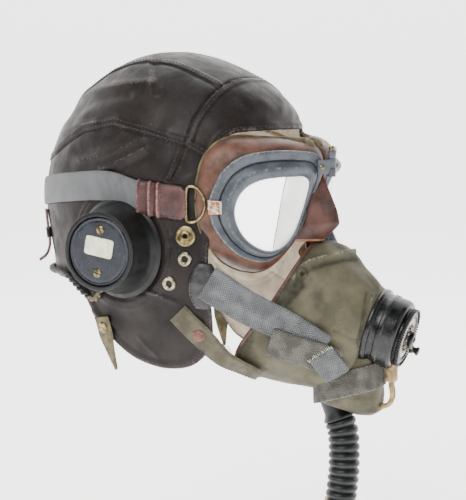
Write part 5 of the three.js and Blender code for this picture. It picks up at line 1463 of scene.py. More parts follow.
def make_strap_end(looks, name, side):
    """The gathered leather end between the elastic and a ring."""
    share = np.linspace(0, 1, STRAP_END_ROWS)
    bearings = TAB_START + 3.0 + (TAB_END - TAB_START - 3.0) * share
    middles, across, out = strap_frames(bearings, STRAP_END_WIDTH, 1.6)
    ridges = sum(bell(share - at, 0.035) for at in END_RIDGES) + 0.8 * bell(share - 0.02, 0.03)
    valley = bell(share - 0.36, 0.035) + 0.6 * bell(share - 0.14, 0.05)
    thickness = STRAP_END_THICKNESS - 0.7 + 1.3 * ridges - 0.6 * valley
    thickness = thickness + 1.6 * (1 - smoothstep(0.12, 0.3, share))
    thickness = thickness + 0.9 * smoothstep(0.86, 0.97, share)
    ragged = 0.45 * lumps(middles, 5.0, 4.0)
    width = STRAP_END_WIDTH + 1.2 * ridges - 0.8 * valley + ragged - 4.5 * smoothstep(
        0.9, 1.0, share)
    wear = np.clip(0.75 * ridges + 0.4 * smoothstep(0.9, 1.0, share), 0, 1)
    columns = 21
    end = ribbon(f"Strap end {name}", mirrored(middles, side), mirrored(across, side),
                 mirrored(out, side), width, thickness, looks["oxblood"], columns, crown=0.7,
                 marks={"wear": np.repeat(wear, 2 * columns)})
    finish_piece(end, f"strap_end_{name}")
    frames = (middles, across, out, np.full(STRAP_END_ROWS, STRAP_END_WIDTH))
    rows = [row_across(frames, k, thickness[k] + 0.55)
            for k in (int(at * (STRAP_END_ROWS - 1)) for at in (0.2, 0.36, 0.52))]
    rows += [row_along(frames, share, 2.5, slice(50, 84)) for share in (0.42, -0.42)]
    sewn = thread_rows(f"Strap end stitches {name}", [mirrored(row, side) for row in rows],
                       looks["thread"], 2.6, 1.9, 0.3)
    finish_piece(sewn)


def make_ring(looks, name, side):
    """The D-shaped wire loop that joins a strap end to a goggle frame."""
    middle = strap_rise(np.array([RING_BEARING]))[0]
    at, outward = spot_at_bearing(RING_BEARING, middle)
    ahead = spot_at_bearing(RING_BEARING - 6.0, middle)[0] - at
    ahead = unit(ahead - ahead @ outward * outward)
    up = np.cross(outward, ahead)
    up = unit(up) * (1 if up[2] > 0 else -1)
    at = at + outward * (2 * SEAT + STRAP_END_THICKNESS / 2 + 0.6)
    outline = RING_OUTLINE + [(f, -r) for f, r in RING_OUTLINE[-2:0:-1]]
    points = np.array([at + f * ahead + r * up + max(f, 0) * 0.12 * outward for f, r in outline])
    loop, _ = even_curve(points, 1.0, closed=True)
    ring = tube(f"Strap ring {name}", mirrored(loop, side), RING_WIRE, 16, looks["brass"],
                closed=True, up=outward * [1.0 if side == RIGHT else -1.0, 1, 1])
    finish_piece(ring, f"strap_ring_{name}")


# Goggles. A frame has its own flat axes: a runs from the temple to the nose, b runs up.

FRAME_OUTLINE = [
    (-0.46, 0.01), (-0.41, 0.2), (-0.33, 0.35), (-0.18, 0.46), (0.06, 0.505), (0.31, 0.5),
    (0.47, 0.465), (0.53, 0.36), (0.5, 0.16), (0.42, -0.07), (0.3, -0.29), (0.15, -0.43),
    (0, -0.495), (-0.18, -0.45), (-0.33, -0.32), (-0.43, -0.15),
]
GLASS_OUTLINE = [
    (-0.26, -0.04), (-0.23, 0.09), (-0.16, 0.185), (-0.05, 0.245), (0.09, 0.27), (0.24, 0.275),
    (0.36, 0.27), (0.41, 0.22), (0.40, 0.07), (0.35, -0.09), (0.265, -0.265), (0.15, -0.375),
    (0.02, -0.395), (-0.09, -0.35), (-0.18, -0.265), (-0.24, -0.15),
]
FRAME_SECTION = [  # share of the way from the outer edge to the glass, depth, wear
    (0.0, -1.0, 0.3), (-0.015, 1.6, 0.7), (0.02, 2.9, 0.8), (0.10, 3.2, 0.2), (0.24, 2.9, 0.1),
    (0.33, 2.6, 0.1), (0.365, 1.5, 0.0), (0.40, 1.4, 0.0), (0.43, 3.1, 0.5), (0.50, 4.5, 0.2),
    (0.58, 5.9, 0.2), (0.66, 6.8, 0.6), (0.76, 7.0, 0.3), (0.86, 6.4, 0.2), (0.96, 5.2, 0.2),
    (1.0, 4.3, 0.6), (0.99, 2.9, 0.1), (0.88, 2.9, 0.0), (0.88, -0.4, 0.0),
]
GROOVE_SHARES = (0.345, 0.415)
NOSE_SETBACK = 9.5  # how far back the nose side of a frame lies below its hinge
PANE_SEAM, PANE_SLANT = 0.14, 0.18  # where the panes of a lens meet, and how it slants
FRAME_STEPS = 200
WRAP = math.radians(FRAME_WRAP)
FRAME_CENTRE = place(-FRAME_SPREAD, FRAME_STANDOFF, -FRAME_DROP)
FRAME_ACROSS = np.array([math.cos(WRAP), -math.sin(WRAP), 0.0])
FRAME_OUT = np.array([-math.sin(WRAP), -math.cos(WRAP), 0.0])


def frame_point(a, b, d):
    """Points of the right-hand frame, a depth d in front of its mean surface."""
    a, b, d = np.broadcast_arrays(np.asarray(a, float), b, d)
    bow = FRAME_BULGE * (1 - (2 * a / FRAME_WIDTH) ** 2) - FRAME_BULGE / 2
    bow = bow - NOSE_SETBACK * smoothstep(0.0, 0.44, a / FRAME_WIDTH) * (
        1 - smoothstep(0.0, 0.36, b / FRAME_HEIGHT))
    return (FRAME_CENTRE + a[..., None] * FRAME_ACROSS + b[..., None] * UP
            + (d + bow)[..., None] * FRAME_OUT)


def outline_loop(table):
    """A smooth closed outline in a frame's flat axes."""
    points = np.array(table) * [FRAME_WIDTH, FRAME_HEIGHT]
    return smooth_curve(points, np.arange(FRAME_STEPS) / FRAME_STEPS, closed=True)


def between_loops(share):
    """The loop a share of the way from the frame's outer edge to its glass."""
    outer, inner = outline_loop(FRAME_OUTLINE), outline_loop(GLASS_OUTLINE)
    return outer + (inner - outer) * share


def make_frames(looks):
    """The two goggle frames with their panes and clips."""
    section = np.array(FRAME_SECTION)
    fine = smooth_curve(section, np.linspace(0, 1, 3 * len(section)))
    for name, side in SIDES:
        loops = []
        for share, depth, _ in fine:
            a, b = between_loops(share).T
            flatter = 1 - 0.55 * smoothstep(0.26, 0.46, a / FRAME_WIDTH)
            loops.append(frame_point(a, b, depth * np.where(depth > 0, flatter, 1.0)))
        points = np.stack(loops)
        wear = np.repeat(fine[:, 2], FRAME_STEPS)
        faces = grid_faces(len(fine), FRAME_STEPS, True, True)
        frame = mesh_piece(f"Lens frame {name}", mirrored(points, side), faces,
                           [looks["paint"], looks["groove"]], marks={"wear": wear * 0.7})
        low, high = GROOVE_SHARES
        sunk = (fine[:, 0] > low) & (fine[:, 0] < high)
        rows = np.repeat(sunk & np.roll(sunk, -1), FRAME_STEPS)
        frame.data.polygons.foreach_set("material_index", rows.astype(np.int32))
        face_outwards(frame)
        finish_piece(frame, f"lens_frame_{name}")
        make_panes(looks, name, side)
        make_clip(looks, name, side)


def seam_at(b):
    """Where the panes meet, at heights in a frame."""
    return (PANE_SEAM + PANE_SLANT * b / FRAME_HEIGHT) * FRAME_WIDTH


def make_panes(looks, name, side):
    """The two panes of a lens, which meet at a slanting seam."""
    rim = between_loops(0.95)
    rings = 26
    shares = np.linspace(0, 1, rings)[:, None, None]
    heart = rim.mean(0)
    flat = (heart + (rim - heart) * shares).reshape(-1, 2)
    seam = seam_at(flat[:, 1])
    faces = grid_faces(rings, FRAME_STEPS, False, True)
    for label, sign, bow in (("temple", -1, 0.0), ("nose", 1, 0.55)):
        depth = sign * (flat[:, 0] - seam) - 0.15
        points = np.hstack([flat, np.zeros((len(flat), 1))])
        kept, polygons = clip_mesh(points, faces, depth)
        away = sign * (kept[:, 0] - seam_at(kept[:, 1]))
        flatter = 1 - 0.5 * smoothstep(0.26, 0.46, kept[:, 0] / FRAME_WIDTH)
        front = frame_point(kept[:, 0], kept[:, 1],
                            (1.2 + GLASS_THICKNESS) * flatter + bow * bell(away, 9))
        pane = mesh_piece(f"Lens {label} {name}", mirrored(front, side), polygons,
                          looks["glass" if label == "temple" else "nose glass"])
        turn_sheet(pane, HEAD_MIDDLE)
        thicken(pane, GLASS_THICKNESS)
        finish_piece(pane, f"lens_{label}_{name}")
    b = np.linspace(rim[:, 1].min() + 2.5, rim[:, 1].max() - 0.5, 40)
    line = frame_point(seam_at(b), b, 1.2 + GLASS_THICKNESS)
    joint = tube(f"Pane seam {name}", mirrored(line, side), 0.38, 8, looks["groove"])
    finish_piece(joint)


def make_clip(looks, name, side):
    """The worn plate that holds the strap ring on a frame's temple end."""
    u, v = np.meshgrid(np.linspace(-1, 1, 31), np.linspace(-1, 1, 27))
    edge = 1 - np.maximum(np.abs(u), np.abs(v)) ** 6
    a = -0.46 * FRAME_WIDTH + 4.0 + 5.2 * u
    b = CLIP_WIDTH / 2 * v * (1.0 - 0.06 * u)
    dents = 0.35 * lumps(place(a, b, 0 * a), 3.0, 9.0)
    depth = 3.4 + 0.35 * u + 1.4 * np.clip(edge, 0, 1) ** 0.3 + dents
    points = frame_point(a, b, depth)
    wear = np.clip(0.45 + 0.9 * lumps(place(a, b, 0 * a), 3.6, 11.0), 0, 1)
    plate = mesh_piece(f"Frame clip {name}", mirrored(points, side),
                       grid_faces(27, 31), looks["copper"], marks={"wear": wear})
    turn_sheet(plate, HEAD_MIDDLE)
    thicken(plate, 1.6)
    heads = []
    for da, db in ((1.0, 0.0), (6.4, 2.2), (6.4, -2.4)):
        spot = frame_point(-0.46 * FRAME_WIDTH + da, db, 4.9)
        heads.append(lathe("Rivet", [(1.1, -0.5), (1.1, 0.1), (0.7, 0.4), (0.2, 0.5)],
                           mirrored(spot, side), mirrored(FRAME_OUT, side), 20,
                           looks["brass"]))
    rivets = join_meshes(f"Clip rivets {name}", heads)
    finish_piece(plate, f"frame_clip_{name}")
    finish_piece(rivets)


# The leather pads behind the frames and the nose piece between them

PAD_FLARE = [(0, 0.1), (45, 0.35), (90, 0.5), (125, 0.8), (155, 0.6), (180, 0.4), (225, 0.5),
             (270, 0.45), (315, 0.15)]
PAD_DEPTHS = [(0, 0.6), (45, 0.75), (90, 1), (180, 0.9), (270, 0.85), (315, 0.65)]
PAD_PUFF = 2.6
CHEEK_EDGE = 0.577 * CROWN_RADIUS
PIPING_RADIUS = 1.0
ROLL_AT, ROLL_SPREAD, ROLL_RADIUS = 44.0, 17.0, 4.4  # the rolled corner by the nose, degrees


def depth_to_helmet(a, b, depth):
    """How deep a pad reaches before it meets the helmet. In front of the cheek's edge there
    is no leather to stop it."""
    outside, inside = np.zeros_like(depth), depth.copy()
    for _ in range(20):
        middle = (outside + inside) / 2
        hit = shell_level(frame_point(a, b, -middle)) < 1
        inside = np.where(hit, middle, inside)
        outside = np.where(hit, outside, middle)
    meets = shell_level(frame_point(a, b, -depth)) < 1
    forward = -frame_point(a, b, -outside)[:, 1]
    free = smoothstep(CHEEK_EDGE, CHEEK_EDGE + 16, forward)
    stopped = np.maximum(outside - 1.4, 3)
    return np.where(meets, stopped + (depth - stopped) * free, depth)


def pad_rows(out, puff):
    """A loop of the pad for each share of the way from the frame to its rim."""
    p = outline_loop(FRAME_OUTLINE)
    size = np.linalg.norm(p, axis=1)
    angle = np.degrees(np.arctan2(p[:, 1], p[:, 0]))
    flare = PAD_DEPTH * periodic_share(PAD_FLARE, angle)
    wide = 1 + flare / size
    depth = depth_to_helmet(p[:, 0] * wide, p[:, 1] * wide,
                            PAD_DEPTH * periodic_share(PAD_DEPTHS, angle))
    seed = place(p[:, 0], p[:, 1], 0)
    gathers = lumps(seed, 5.0, 7.0)
    broad = lumps(seed, 20.0, 3.0)
    rows = []
    for share in out:
        swell = puff * math.sin(math.pi * share ** 0.8) * (0.9 + 0.35 * broad)
        fold = 0.55 * gathers * (bell(share, 0.3) + 0.8 * bell(share - 0.95, 0.2))
        k = 1 + (flare * share ** 0.8 + swell + fold) / size
        rows.append(frame_point(p[:, 0] * k, p[:, 1] * k, -0.4 - (depth - 0.4) * share))
    return np.stack(rows)


def make_pads(looks):
    """The soft leather pads between the frames and the face."""
    shares = np.linspace(0, 1, 34)
    rows = pad_rows(shares, PAD_PUFF)
    inner = pad_rows(shares[::-1], 0.0)
    heart = frame_point(0.0, 0.0, 0.0)
    inner = inner + unit(heart - inner) * 2.2
    rim = rows[-1]
    for name, side in SIDES:
        shell = np.concatenate([rows, inner])
        shell[..., 0] = np.minimum(shell[..., 0], -0.5)
        wear = np.concatenate([0.35 * bell(shares, 0.06) + 0.3 * bell(shares - 0.97, 0.06),
                               np.zeros(len(shares))])
        pad = mesh_piece(f"Face pad {name}", mirrored(shell, side),
                         grid_faces(len(shell), FRAME_STEPS, True, True), looks["pad"],
                         marks={"wear": np.repeat(wear, FRAME_STEPS)})
        face_outwards(pad)
        finish_piece(pad, f"face_pad_{name}")
        p = outline_loop(FRAME_OUTLINE)
        angle = np.degrees(np.arctan2(p[:, 1], p[:, 0]))
        roll = bell(angle - ROLL_AT, ROLL_SPREAD)
        radius = PIPING_RADIUS + (ROLL_RADIUS - PIPING_RADIUS) * roll * (
            1 + 0.22 * lumps(rim, 3.4, 5.0))
        edge = rim.copy()
        edge[:, 0] = np.minimum(edge[:, 0], -0.5 - radius)
        edge = edge + (0.3 + 1.5 * roll[:, None]) * FRAME_OUT
        piping = tube(f"Pad piping {name}", mirrored(edge, side), radius, 16,
                      looks["piping"], closed=True)
        finish_piece(piping)


NOSE_SECTIONS = [  # down its height, reach of its ridge, reach of its base, half width
    (0, 0.66, 0.56, 0.15), (0.27, 0.84, 0.45, 0.33), (0.53, 0.99, 0.31, 0.54),
    (0.72, 1.05, 0.2, 0.71), (1, 0.66, 0.08, 1),
]


NOSE_ROWS, NOSE_COLUMNS = 60, 61
NOSE_HEM = 0.955  # where its tan lower edge starts, down its height


def make_nose_piece(looks):
    """The leather over the nose, with its tan lower edge."""
    down = np.linspace(0, 1, NOSE_ROWS)
    table = np.array(NOSE_SECTIONS)
    values = np.stack([np.interp(down, table[:, 0], table[:, k]) for k in (1, 2, 3)], 1)
    for _ in range(3):
        values[1:-1] = (values[:-2] + 2 * values[1:-1] + values[2:]) / 4
    across = np.linspace(-1, 1, NOSE_COLUMNS)
    roundness = np.sqrt(across ** 2 + 0.012) - math.sqrt(0.012)
    ridge, base, half = values[:, 0, None], values[:, 1, None], values[:, 2, None]
    fall = roundness[None, :] / roundness.max()
    share = ridge + (base - ridge) * (0.85 * fall + 0.15 * fall ** 2)
    x = across[None, :] * half * NOSE_HALF_WIDTH
    f = FRAME_STANDOFF + share * NOSE_REACH
    points = place(x, f, -NOSE_TOP - down[:, None] * NOSE_HEIGHT)
    out = unit(place(across[None, :], 1.0, 0.1))
    points = points + out * (0.7 * lumps(points, 11.0, 4.0))[..., None]
    wear = np.clip(0.55 * bell(across, 0.1)[None, :] + 0.5 * bell(down - 1, 0.03)[:, None], 0, 1)
    nose = mesh_piece("Nose piece", points, grid_faces(NOSE_ROWS, NOSE_COLUMNS),
                      [looks["nose leather"], looks["tan"]], marks={"wear": wear})
    low = np.repeat(down[:-1] > NOSE_HEM, NOSE_COLUMNS - 1)
    nose.data.polygons.foreach_set("material_index", low.astype(np.int32))
    turn_sheet(nose, HEAD_MIDDLE)
    thicken(nose, NOSE_WALL, lining=1)
    finish_piece(nose, "nose_piece")


BARREL_REACH = 33.5  # how far the hinge stands ahead of the frames
LEAF_STEPS, LEAF_THICKNESS = 14, 1.2


def make_bridge(looks):
    """The hinge between the frames: a barrel, a leaf over each frame and its screws."""
    axis = place(0, FRAME_STANDOFF + BARREL_REACH, 0)
    low, high = -FRAME_DROP + 0.26 * FRAME_HEIGHT, -FRAME_DROP + 0.5 * FRAME_HEIGHT
    profile = rounded([(0.3, low), (3.2, low), (3.2, low + 6.4), (2.6, low + 6.6),
                       (2.6, low + 7.0), (3.2, low + 7.2), (3.2, high - 6.6),
                       (2.6, high - 6.4), (2.6, high - 6.0), (3.2, high - 5.8),
                       (3.2, high), (0.3, high)], 0.25, 2)
    parts = [lathe("Barrel", profile, axis, UP, 40, looks["paint"]),
             lathe("Knob", rounded([(0.3, -0.5), (2.4, -0.5), (2.6, 2.2), (1.8, 3.2),
                                    (0.3, 3.4)], 0.5, 3), axis + (high + 0.3) * UP, UP, 32,
                   looks["brass"])]
    for side in (RIGHT, LEFT):
        u, v = np.meshgrid(np.linspace(0, 1, LEAF_STEPS), np.linspace(0, 1, LEAF_STEPS))
        a = (0.475 + 0.135 * u) * FRAME_WIDTH
        b = (0.29 + 0.13 * v) * FRAME_HEIGHT
        leaf = frame_point(a, b, 4.6 + 0.3 * np.sin(np.pi * u))
        plate = mesh_piece("Leaf", mirrored(leaf, side), grid_faces(LEAF_STEPS, LEAF_STEPS),
                           looks["paint"])
        thicken(turn_sheet(plate, HEAD_MIDDLE), LEAF_THICKNESS, offset=0.0)
        parts.append(apply_modifiers(plate))
        spot = frame_point(0.51 * FRAME_WIDTH, 0.355 * FRAME_HEIGHT, 5.3)
        parts.append(slotted_head("Hinge screw", mirrored(spot, side),
                                  mirrored(FRAME_OUT, side), 1.9, 0.5, looks["brass"]))
    bridge = join_meshes("Goggle bridge", parts)
    finish_piece(bridge, "goggle_bridge")


# The oxygen mask, in its own upright frame: q ahead of its turning axis, and a height z

MASK_SECTIONS = np.array([  # ahead and down at the top, ahead and down at the bottom, width
    (0.415, 0, -0.128, 1, 1), (0.553, 0.02, 0.234, 1.046, 0.957),
    (0.681, 0.083, 0.532, 1.06, 0.826), (0.776, 0.2, 0.69, 0.985, 0.72),
    (0.963, 0.344, 0.782, 0.853, 0.64),
])
YAW = math.radians(MASK_YAW)
TURN_MASK = np.array([[math.cos(YAW), -math.sin(YAW), 0], [math.sin(YAW), math.cos(YAW), 0],
                      [0, 0, 1.0]])
CHIN_SECTIONS = np.array([  # below the crown, then middle, length and width in half widths
    (236, 3, 1.2, 0.97), (250, 3, 1.21, 1), (262, 3.02, 1.21, 1), (268, 3.14, 1.05, 0.9),
    (273, 3.6, 0.6, 0.66), (276, 3.62, 0.36, 0.4),
])
# Ridges and folds of the mask, as the photograph shows them: places in its pixels, height and
# width in millimetres. A height below zero is a hollow.
MASK_FOLDS = [
    (((292, 282), (300, 267), (318, 259), (338, 254), (352, 253)), 2.4, 1.7),
    (((294, 290), (304, 272), (320, 265), (340, 260), (354, 259)), -1.6, 2.4),
    (((352, 253), (364, 268), (379, 287)), 1.6, 2.2),
    (((300, 285), (288, 297), (275, 310)), -2.2, 4.0),
    (((318, 296), (322, 318), (318, 340)), -1.2, 6.0),
    (((338, 290), (346, 312), (348, 336)), 1.1, 5.0),
    (((372, 295), (369, 320), (365, 345)), 1.8, 1.6),
    (((367, 293), (363, 320), (358, 345)), -1.3, 1.6),
    (((330, 337), (346, 343), (360, 345)), 1.0, 1.3),
    (((334, 331), (350, 338), (362, 340)), -0.9, 1.3),
    (((246, 330), (252, 352), (266, 374)), -0.9, 5.0),
    (((258, 322), (266, 345), (282, 366)), 0.9, 6.0),
    (((262, 292), (272, 300), (281, 306)), 0.8, 2.5),
]
VALVE_SPOT = (302.5, 273.0)


def mask_value(column, t):
    """A smooth curve through one column of the mask's sections."""
    values = MASK_SECTIONS[:, column]
    last = len(values) - 1
    at = np.clip(t, 0, 1) * last
    i = np.minimum(np.floor(at).astype(int), last - 1)
    p, a, b, n = (values[np.clip(i + k, 0, last)] for k in (-1, 0, 1, 2))
    u = at - i
    return a + 0.5 * u * (b - p + u * (2 * p - 5 * a + 4 * b - n + u * (3 * (a - b) + n - p)))


def mask_side_place(t, s):
    """A place s down a section, from its top (0) to its bottom (1)."""
    ahead = mask_value(0, t) * (1 - s) + mask_value(2, t) * s
    down = mask_value(1, t) * (1 - s) + mask_value(3, t) * s
    bow = RIM_BOW * np.sin(np.pi * np.clip(s, 0, 1) ** 3) * (1 - t) ** 2
    return ahead * MASK_LENGTH - bow, -MASK_TOP - down * MASK_HEIGHT


def mask_half(t, s):
    """Half the mask's width at a place on its side."""
    power = MASK_ROUNDNESS
    return (MASK_HALF_WIDTH * mask_value(4, t)
            * np.maximum(0, 1 - np.abs(2 * s - 1) ** power) ** (1 / power))


def to_helmet(points):
    """From the mask's own frame to the helmet's."""
    return points @ TURN_MASK.T + np.array([0, -MASK_PIVOT, 0])


def mask_surface(t, turn, grow=0.0):
    """Points of the mask's outer skin, in its own frame."""
    t, turn = np.broadcast_arrays(np.asarray(t, float), turn)

    def bend(v):
        return np.sign(v) * np.abs(v) ** (2 / MASK_ROUNDNESS)

    tall = MASK_HEIGHT * (mask_value(3, t) - mask_value(1, t))
    s = (1 - bend(np.cos(turn)) * (1 + 2 * grow / tall)) / 2
    q, z = mask_side_place(t, s)
    width = MASK_HALF_WIDTH * mask_value(4, t) + grow
    return place(width * bend(np.sin(turn)), q, z)


def mask_beside(q, z):
    """Half of the mask's width at places of its side view."""
    q, z = np.broadcast_arrays(np.asarray(q, float), z)
    low, high = np.zeros(q.shape), np.ones(q.shape)
    for _ in range(30):
        t = (low + high) / 2
        top, bottom = mask_side_place(t, 0.0 * t)[1], mask_side_place(t, 0.0 * t + 1)[1]
        s = np.clip((top - z) / (top - bottom), 0, 1)
        behind = mask_side_place(t, s)[0] < q
        low, high = np.where(behind, t, low), np.where(behind, high, t)
    return mask_half(t, s)


def on_mask(side, q, z, lift):
    """A place on the mask's side, in the helmet's frame, and its outward direction."""
    step = 2.0
    slope_q = (mask_beside(q + step, z) - mask_beside(q - step, z)) / (2 * step)
    slope_z = (mask_beside(q, z + step) - mask_beside(q, z - step)) / (2 * step)
    outward = unit(place(float(side), -float(slope_q), -float(slope_z)))
    middle = place(side * float(mask_beside(q, z)), q, z) + lift * outward
    return to_helmet(middle), outward @ TURN_MASK.T


SEAT_TOP = np.array(mask_side_place(np.array(1.0), np.array(0.0)))
SEAT_BOTTOM = np.array(mask_side_place(np.array(1.0), np.array(1.0)))
MIC_AT = to_helmet(place(0, *((SEAT_TOP + SEAT_BOTTOM) / 2)))
MIC_OUT = unit(place(0, SEAT_TOP[1] - SEAT_BOTTOM[1], SEAT_BOTTOM[0] - SEAT_TOP[0])) @ TURN_MASK.T
MIC_UP = unit(place(0, *(SEAT_TOP - SEAT_BOTTOM))) @ TURN_MASK.T
MASK_ROWS, MASK_ROUND = 150, 300


def make_mask(looks):
    """The cloth mask with its binding, stitches and chin block."""
    t = np.linspace(0, 1, MASK_ROWS)[:, None]
    turn = 2 * np.pi * np.arange(MASK_ROUND)[None, :] / MASK_ROUND
    points = mask_surface(t, turn)
    centre = points.mean(1, keepdims=True)
    normal = unit(np.cross(np.roll(points, -1, 1) - np.roll(points, 1, 1),
                           np.gradient(points, axis=0)))
    normal *= np.sign((normal * (points - centre)).sum(-1, keepdims=True))
    world = to_helmet(points)
    outward = normal @ TURN_MASK.T
    flat = world.reshape(-1, 3)
    pixels = photo_pixels(flat)
    seen = smoothstep(-0.05, 0.25, outward.reshape(-1, 3) @ TO_CAMERA)
    lift, wear, dirt = np.zeros((3, len(flat)))
    # Fold ridges: partly wear, partly a painted highlight. Fold hollows: painted shade.
    for line, height, width in MASK_FOLDS:
        near = bell(pixel_distance(pixels, line), width)
        lift += height * near * seen
        wear += 0.25 * max(height, 0) * near * seen
        dirt += 0.55 * max(-height, 0) * near * seen
    from_valve = np.linalg.norm(pixels - VALVE_SPOT, axis=1) / VIEW_SCALE
    lift += seen * (1.4 * bell(from_valve - 2.6, 0.9) - 1.2 * bell(from_valve, 1.2))
    # The valve's pit and the ring just outside its rim are darkened: painted shade.
    dirt += seen * (bell(from_valve, 1.3) + 0.8 * bell(from_valve - 4.2, 0.8))
    lift += 1.3 * lumps(flat, 26.0, 12.0) + 0.4 * lumps(flat, 9.0, 14.0)
    rim = np.repeat(t.ravel(), MASK_ROUND)
    lift *= smoothstep(0.0, 0.12, rim) * (1 - smoothstep(0.93, 1.0, rim))
    lift += 0.9 * bell(rim - 0.02, 0.03)
    wear = np.clip(wear + 0.2 * lumps(flat, 7.0, 3.0), 0, 1)
    # Darker near the open edge, round the microphone's seat, and in random stains.
    dirt = np.clip(dirt + 0.9 * bell(rim, 0.09) + 0.8 * np.maximum(lumps(flat, 24.0, 7.0), 0)
                   + 0.5 * bell(rim - 1.0, 0.06), 0, 1)
    skin = flat + lift[:, None] * outward.reshape(-1, 3)
    faces = [list(f) for f in grid_faces(MASK_ROWS, MASK_ROUND, False, True)]
    faces.append([(MASK_ROWS - 1) * MASK_ROUND + k for k in range(MASK_ROUND)])
    body = mesh_piece("Mask body", skin, faces, [looks["mask"], looks["binding"]],
                      marks={"wear": wear, "dirt": dirt})
    turn_sheet(body)
    thicken(body, MASK_WALL, lining=0)
    finish_piece(body, "mask_body")
    edge = to_helmet(mask_surface(np.zeros(MASK_ROUND), turn.ravel(), -0.6))
    binding = tube("Mask binding", edge, 1.7, 12, looks["binding"], closed=True)
    finish_piece(binding)
    inside = to_helmet(mask_surface(np.full(MASK_ROUND, 0.035), turn.ravel(), 0.9))
    sewn = thread_rows("Mask stitches", [np.vstack([inside, inside[:1]])], looks["thread"],
                       3.2, 2.3, 0.3)
    finish_piece(sewn)
    make_chin(looks)


def chin_ring(down, turn, grow=0.0):
    """Points of the block under the mask, in the mask's own frame."""
    down, turn = np.broadcast_arrays(np.asarray(down, float), turn)
    table = CHIN_SECTIONS
    middle, long, wide = (np.interp(down, table[:, 0], table[:, k]) for k in (1, 2, 3))

    def bend(v):
        return np.sign(v) * np.abs(v) ** 0.6

    return place((wide * CHIN_HALF_WIDTH + grow) * bend(np.sin(turn)),
                 middle * CHIN_HALF_WIDTH + (long * CHIN_HALF_WIDTH + grow) * bend(np.cos(turn)),
                 -down)


CHIN_ROWS, CHIN_ROUND = 70, 140
BAND_ROWS, BAND_ROUND = 27, 240


def make_chin(looks):
    """The chin block below the mask, and its band."""
    down = np.linspace(CHIN_SECTIONS[0, 0] - 6, CHIN_SECTIONS[-1, 0], CHIN_ROWS)[:, None]
    turn = 2 * np.pi * np.arange(CHIN_ROUND)[None, :] / CHIN_ROUND
    points = chin_ring(down, turn)
    world = to_helmet(points)
    out = unit(world - world.mean(1, keepdims=True))
    bumps = 1.1 * lumps(world, 15.0, 21.0) + 0.35 * lumps(world, 6.0, 2.0)
    world = world + out * bumps[..., None]
    dark_marks = np.clip(0.3 + lumps(world, 14.0, 5.0), 0, 1)
    chin = mesh_piece("Mask chin block", world, barrel_faces(CHIN_ROWS, CHIN_ROUND),
                      looks["mask"], marks={"dirt": dark_marks})
    finish_piece(face_outwards(chin))
    make_chin_band(looks)


def make_chin_band(looks):
    """The webbing round the chin block, which slopes down towards the front."""
    around = np.linspace(0, 2 * np.pi, BAND_ROUND, endpoint=False)
    base = chin_ring(np.full(BAND_ROUND, CHIN_BAND_DROP), around, SEAT + 0.3)
    slope = (-base[:, 1] - 3 * CHIN_HALF_WIDTH) * CHIN_BAND_SLOPE
    shares = np.linspace(-1, 1, BAND_ROWS)
    rows = []
    for share in shares:
        drop = CHIN_BAND_DROP - slope - share * CHIN_BAND_HEIGHT / 2
        row = chin_ring(np.clip(drop, 231, 262), around, SEAT + 1.0 + 0.5 * (1 - share ** 8))
        row[:, 2] = -drop
        rows.append(to_helmet(row))
    run = run_along(rows[BAND_ROWS // 2])
    uv = np.stack(np.broadcast_arrays(run[None, :], shares[:, None] * CHIN_BAND_HEIGHT / 2), -1)
    edge = np.repeat(bell(np.abs(shares) - 1, 0.1), BAND_ROUND)
    band = mesh_piece("Chin band", rows, grid_faces(BAND_ROWS, BAND_ROUND, False, True),
                      looks["faded"], uv.reshape(-1, 2), {"wear": 0.7 * edge})
    turn_sheet(band)
    thicken(band, WEBBING_THICKNESS)
    finish_piece(band, "chin_band")


# Microphone, its switch and its lead

LEAD_ROUTE = [(96.4, -250.4), (96.5, -253), (97.3, -257.5), (97, -263), (94, -268), (86, -270.5)]


KNURLS, PINS = 72, 12


def make_microphone(looks):
    """The microphone's housing with its knurls, ring and pins."""
    radius, depth = MIC_RADIUS, MIC_DEPTH
    gasket = rounded([(0.3, TOUCH), (radius + 2.7, TOUCH), (radius + 3.0, 2.0),
                      (radius + 2.5, 4.2), (radius + 0.5, 4.6), (radius + 0.4, 9.0),
                      (radius + 1.1, 9.6), (radius + 1.1, 12.4), (radius + 0.3, 13.0),
                      (radius, depth - 3.0), (radius - 1.2, depth - 0.6), (radius - 3, depth),
                      (radius - 5.2, depth), (0.3, depth)], 0.7, 3)
    body = lathe("Gasket", gasket, MIC_AT, MIC_OUT, 128, looks["black"])
    front = rounded([(0.3, depth - 0.5), (radius - 5.4, depth - 0.5), (radius - 5.4, depth + 2.8),
                     (radius - 6.6, depth + 4.2), (radius - 9, depth + 4.4),
                     (radius - 10, depth + 3.2), (12.5, depth + 3.2), (12, depth + 4.6),
                     (7.6, depth + 4.8), (7.2, depth + 5.9), (0.3, depth + 6.0)], 0.45, 3)
    face = lathe("Face", front, MIC_AT, MIC_OUT, 128, looks["black"])
    ring = lathe("Shiny ring", rounded([(14.6, depth + 3), (15.8, depth + 3), (15.8, depth + 3.9),
                                        (14.6, depth + 4.2)], 0.3, 2), MIC_AT, MIC_OUT, 96,
                 looks["steel"])
    piece = join_meshes("Microphone", [body, face, ring])
    finish_piece(piece, "mic_body")

    side = unit(np.cross(MIC_UP, MIC_OUT))

    def ring_of(count, reach, height):
        turn = 2 * np.pi * np.arange(count)[:, None] / count
        return MIC_AT + height * MIC_OUT + reach * (np.cos(turn) * side + np.sin(turn) * MIC_UP)

    knurls = stud_rows("Microphone knurls", ring_of(KNURLS, radius - 5.2, depth + 1.6), MIC_OUT,
                       0.75, 3.6, looks["black"])
    finish_piece(knurls)
    pins = stud_rows("Microphone pins", ring_of(PINS, 9.9, depth + 4.7), MIC_OUT, 0.9, 1.1,
                     looks["steel"])
    finish_piece(pins)
    make_switch(looks)
    make_lead(looks)


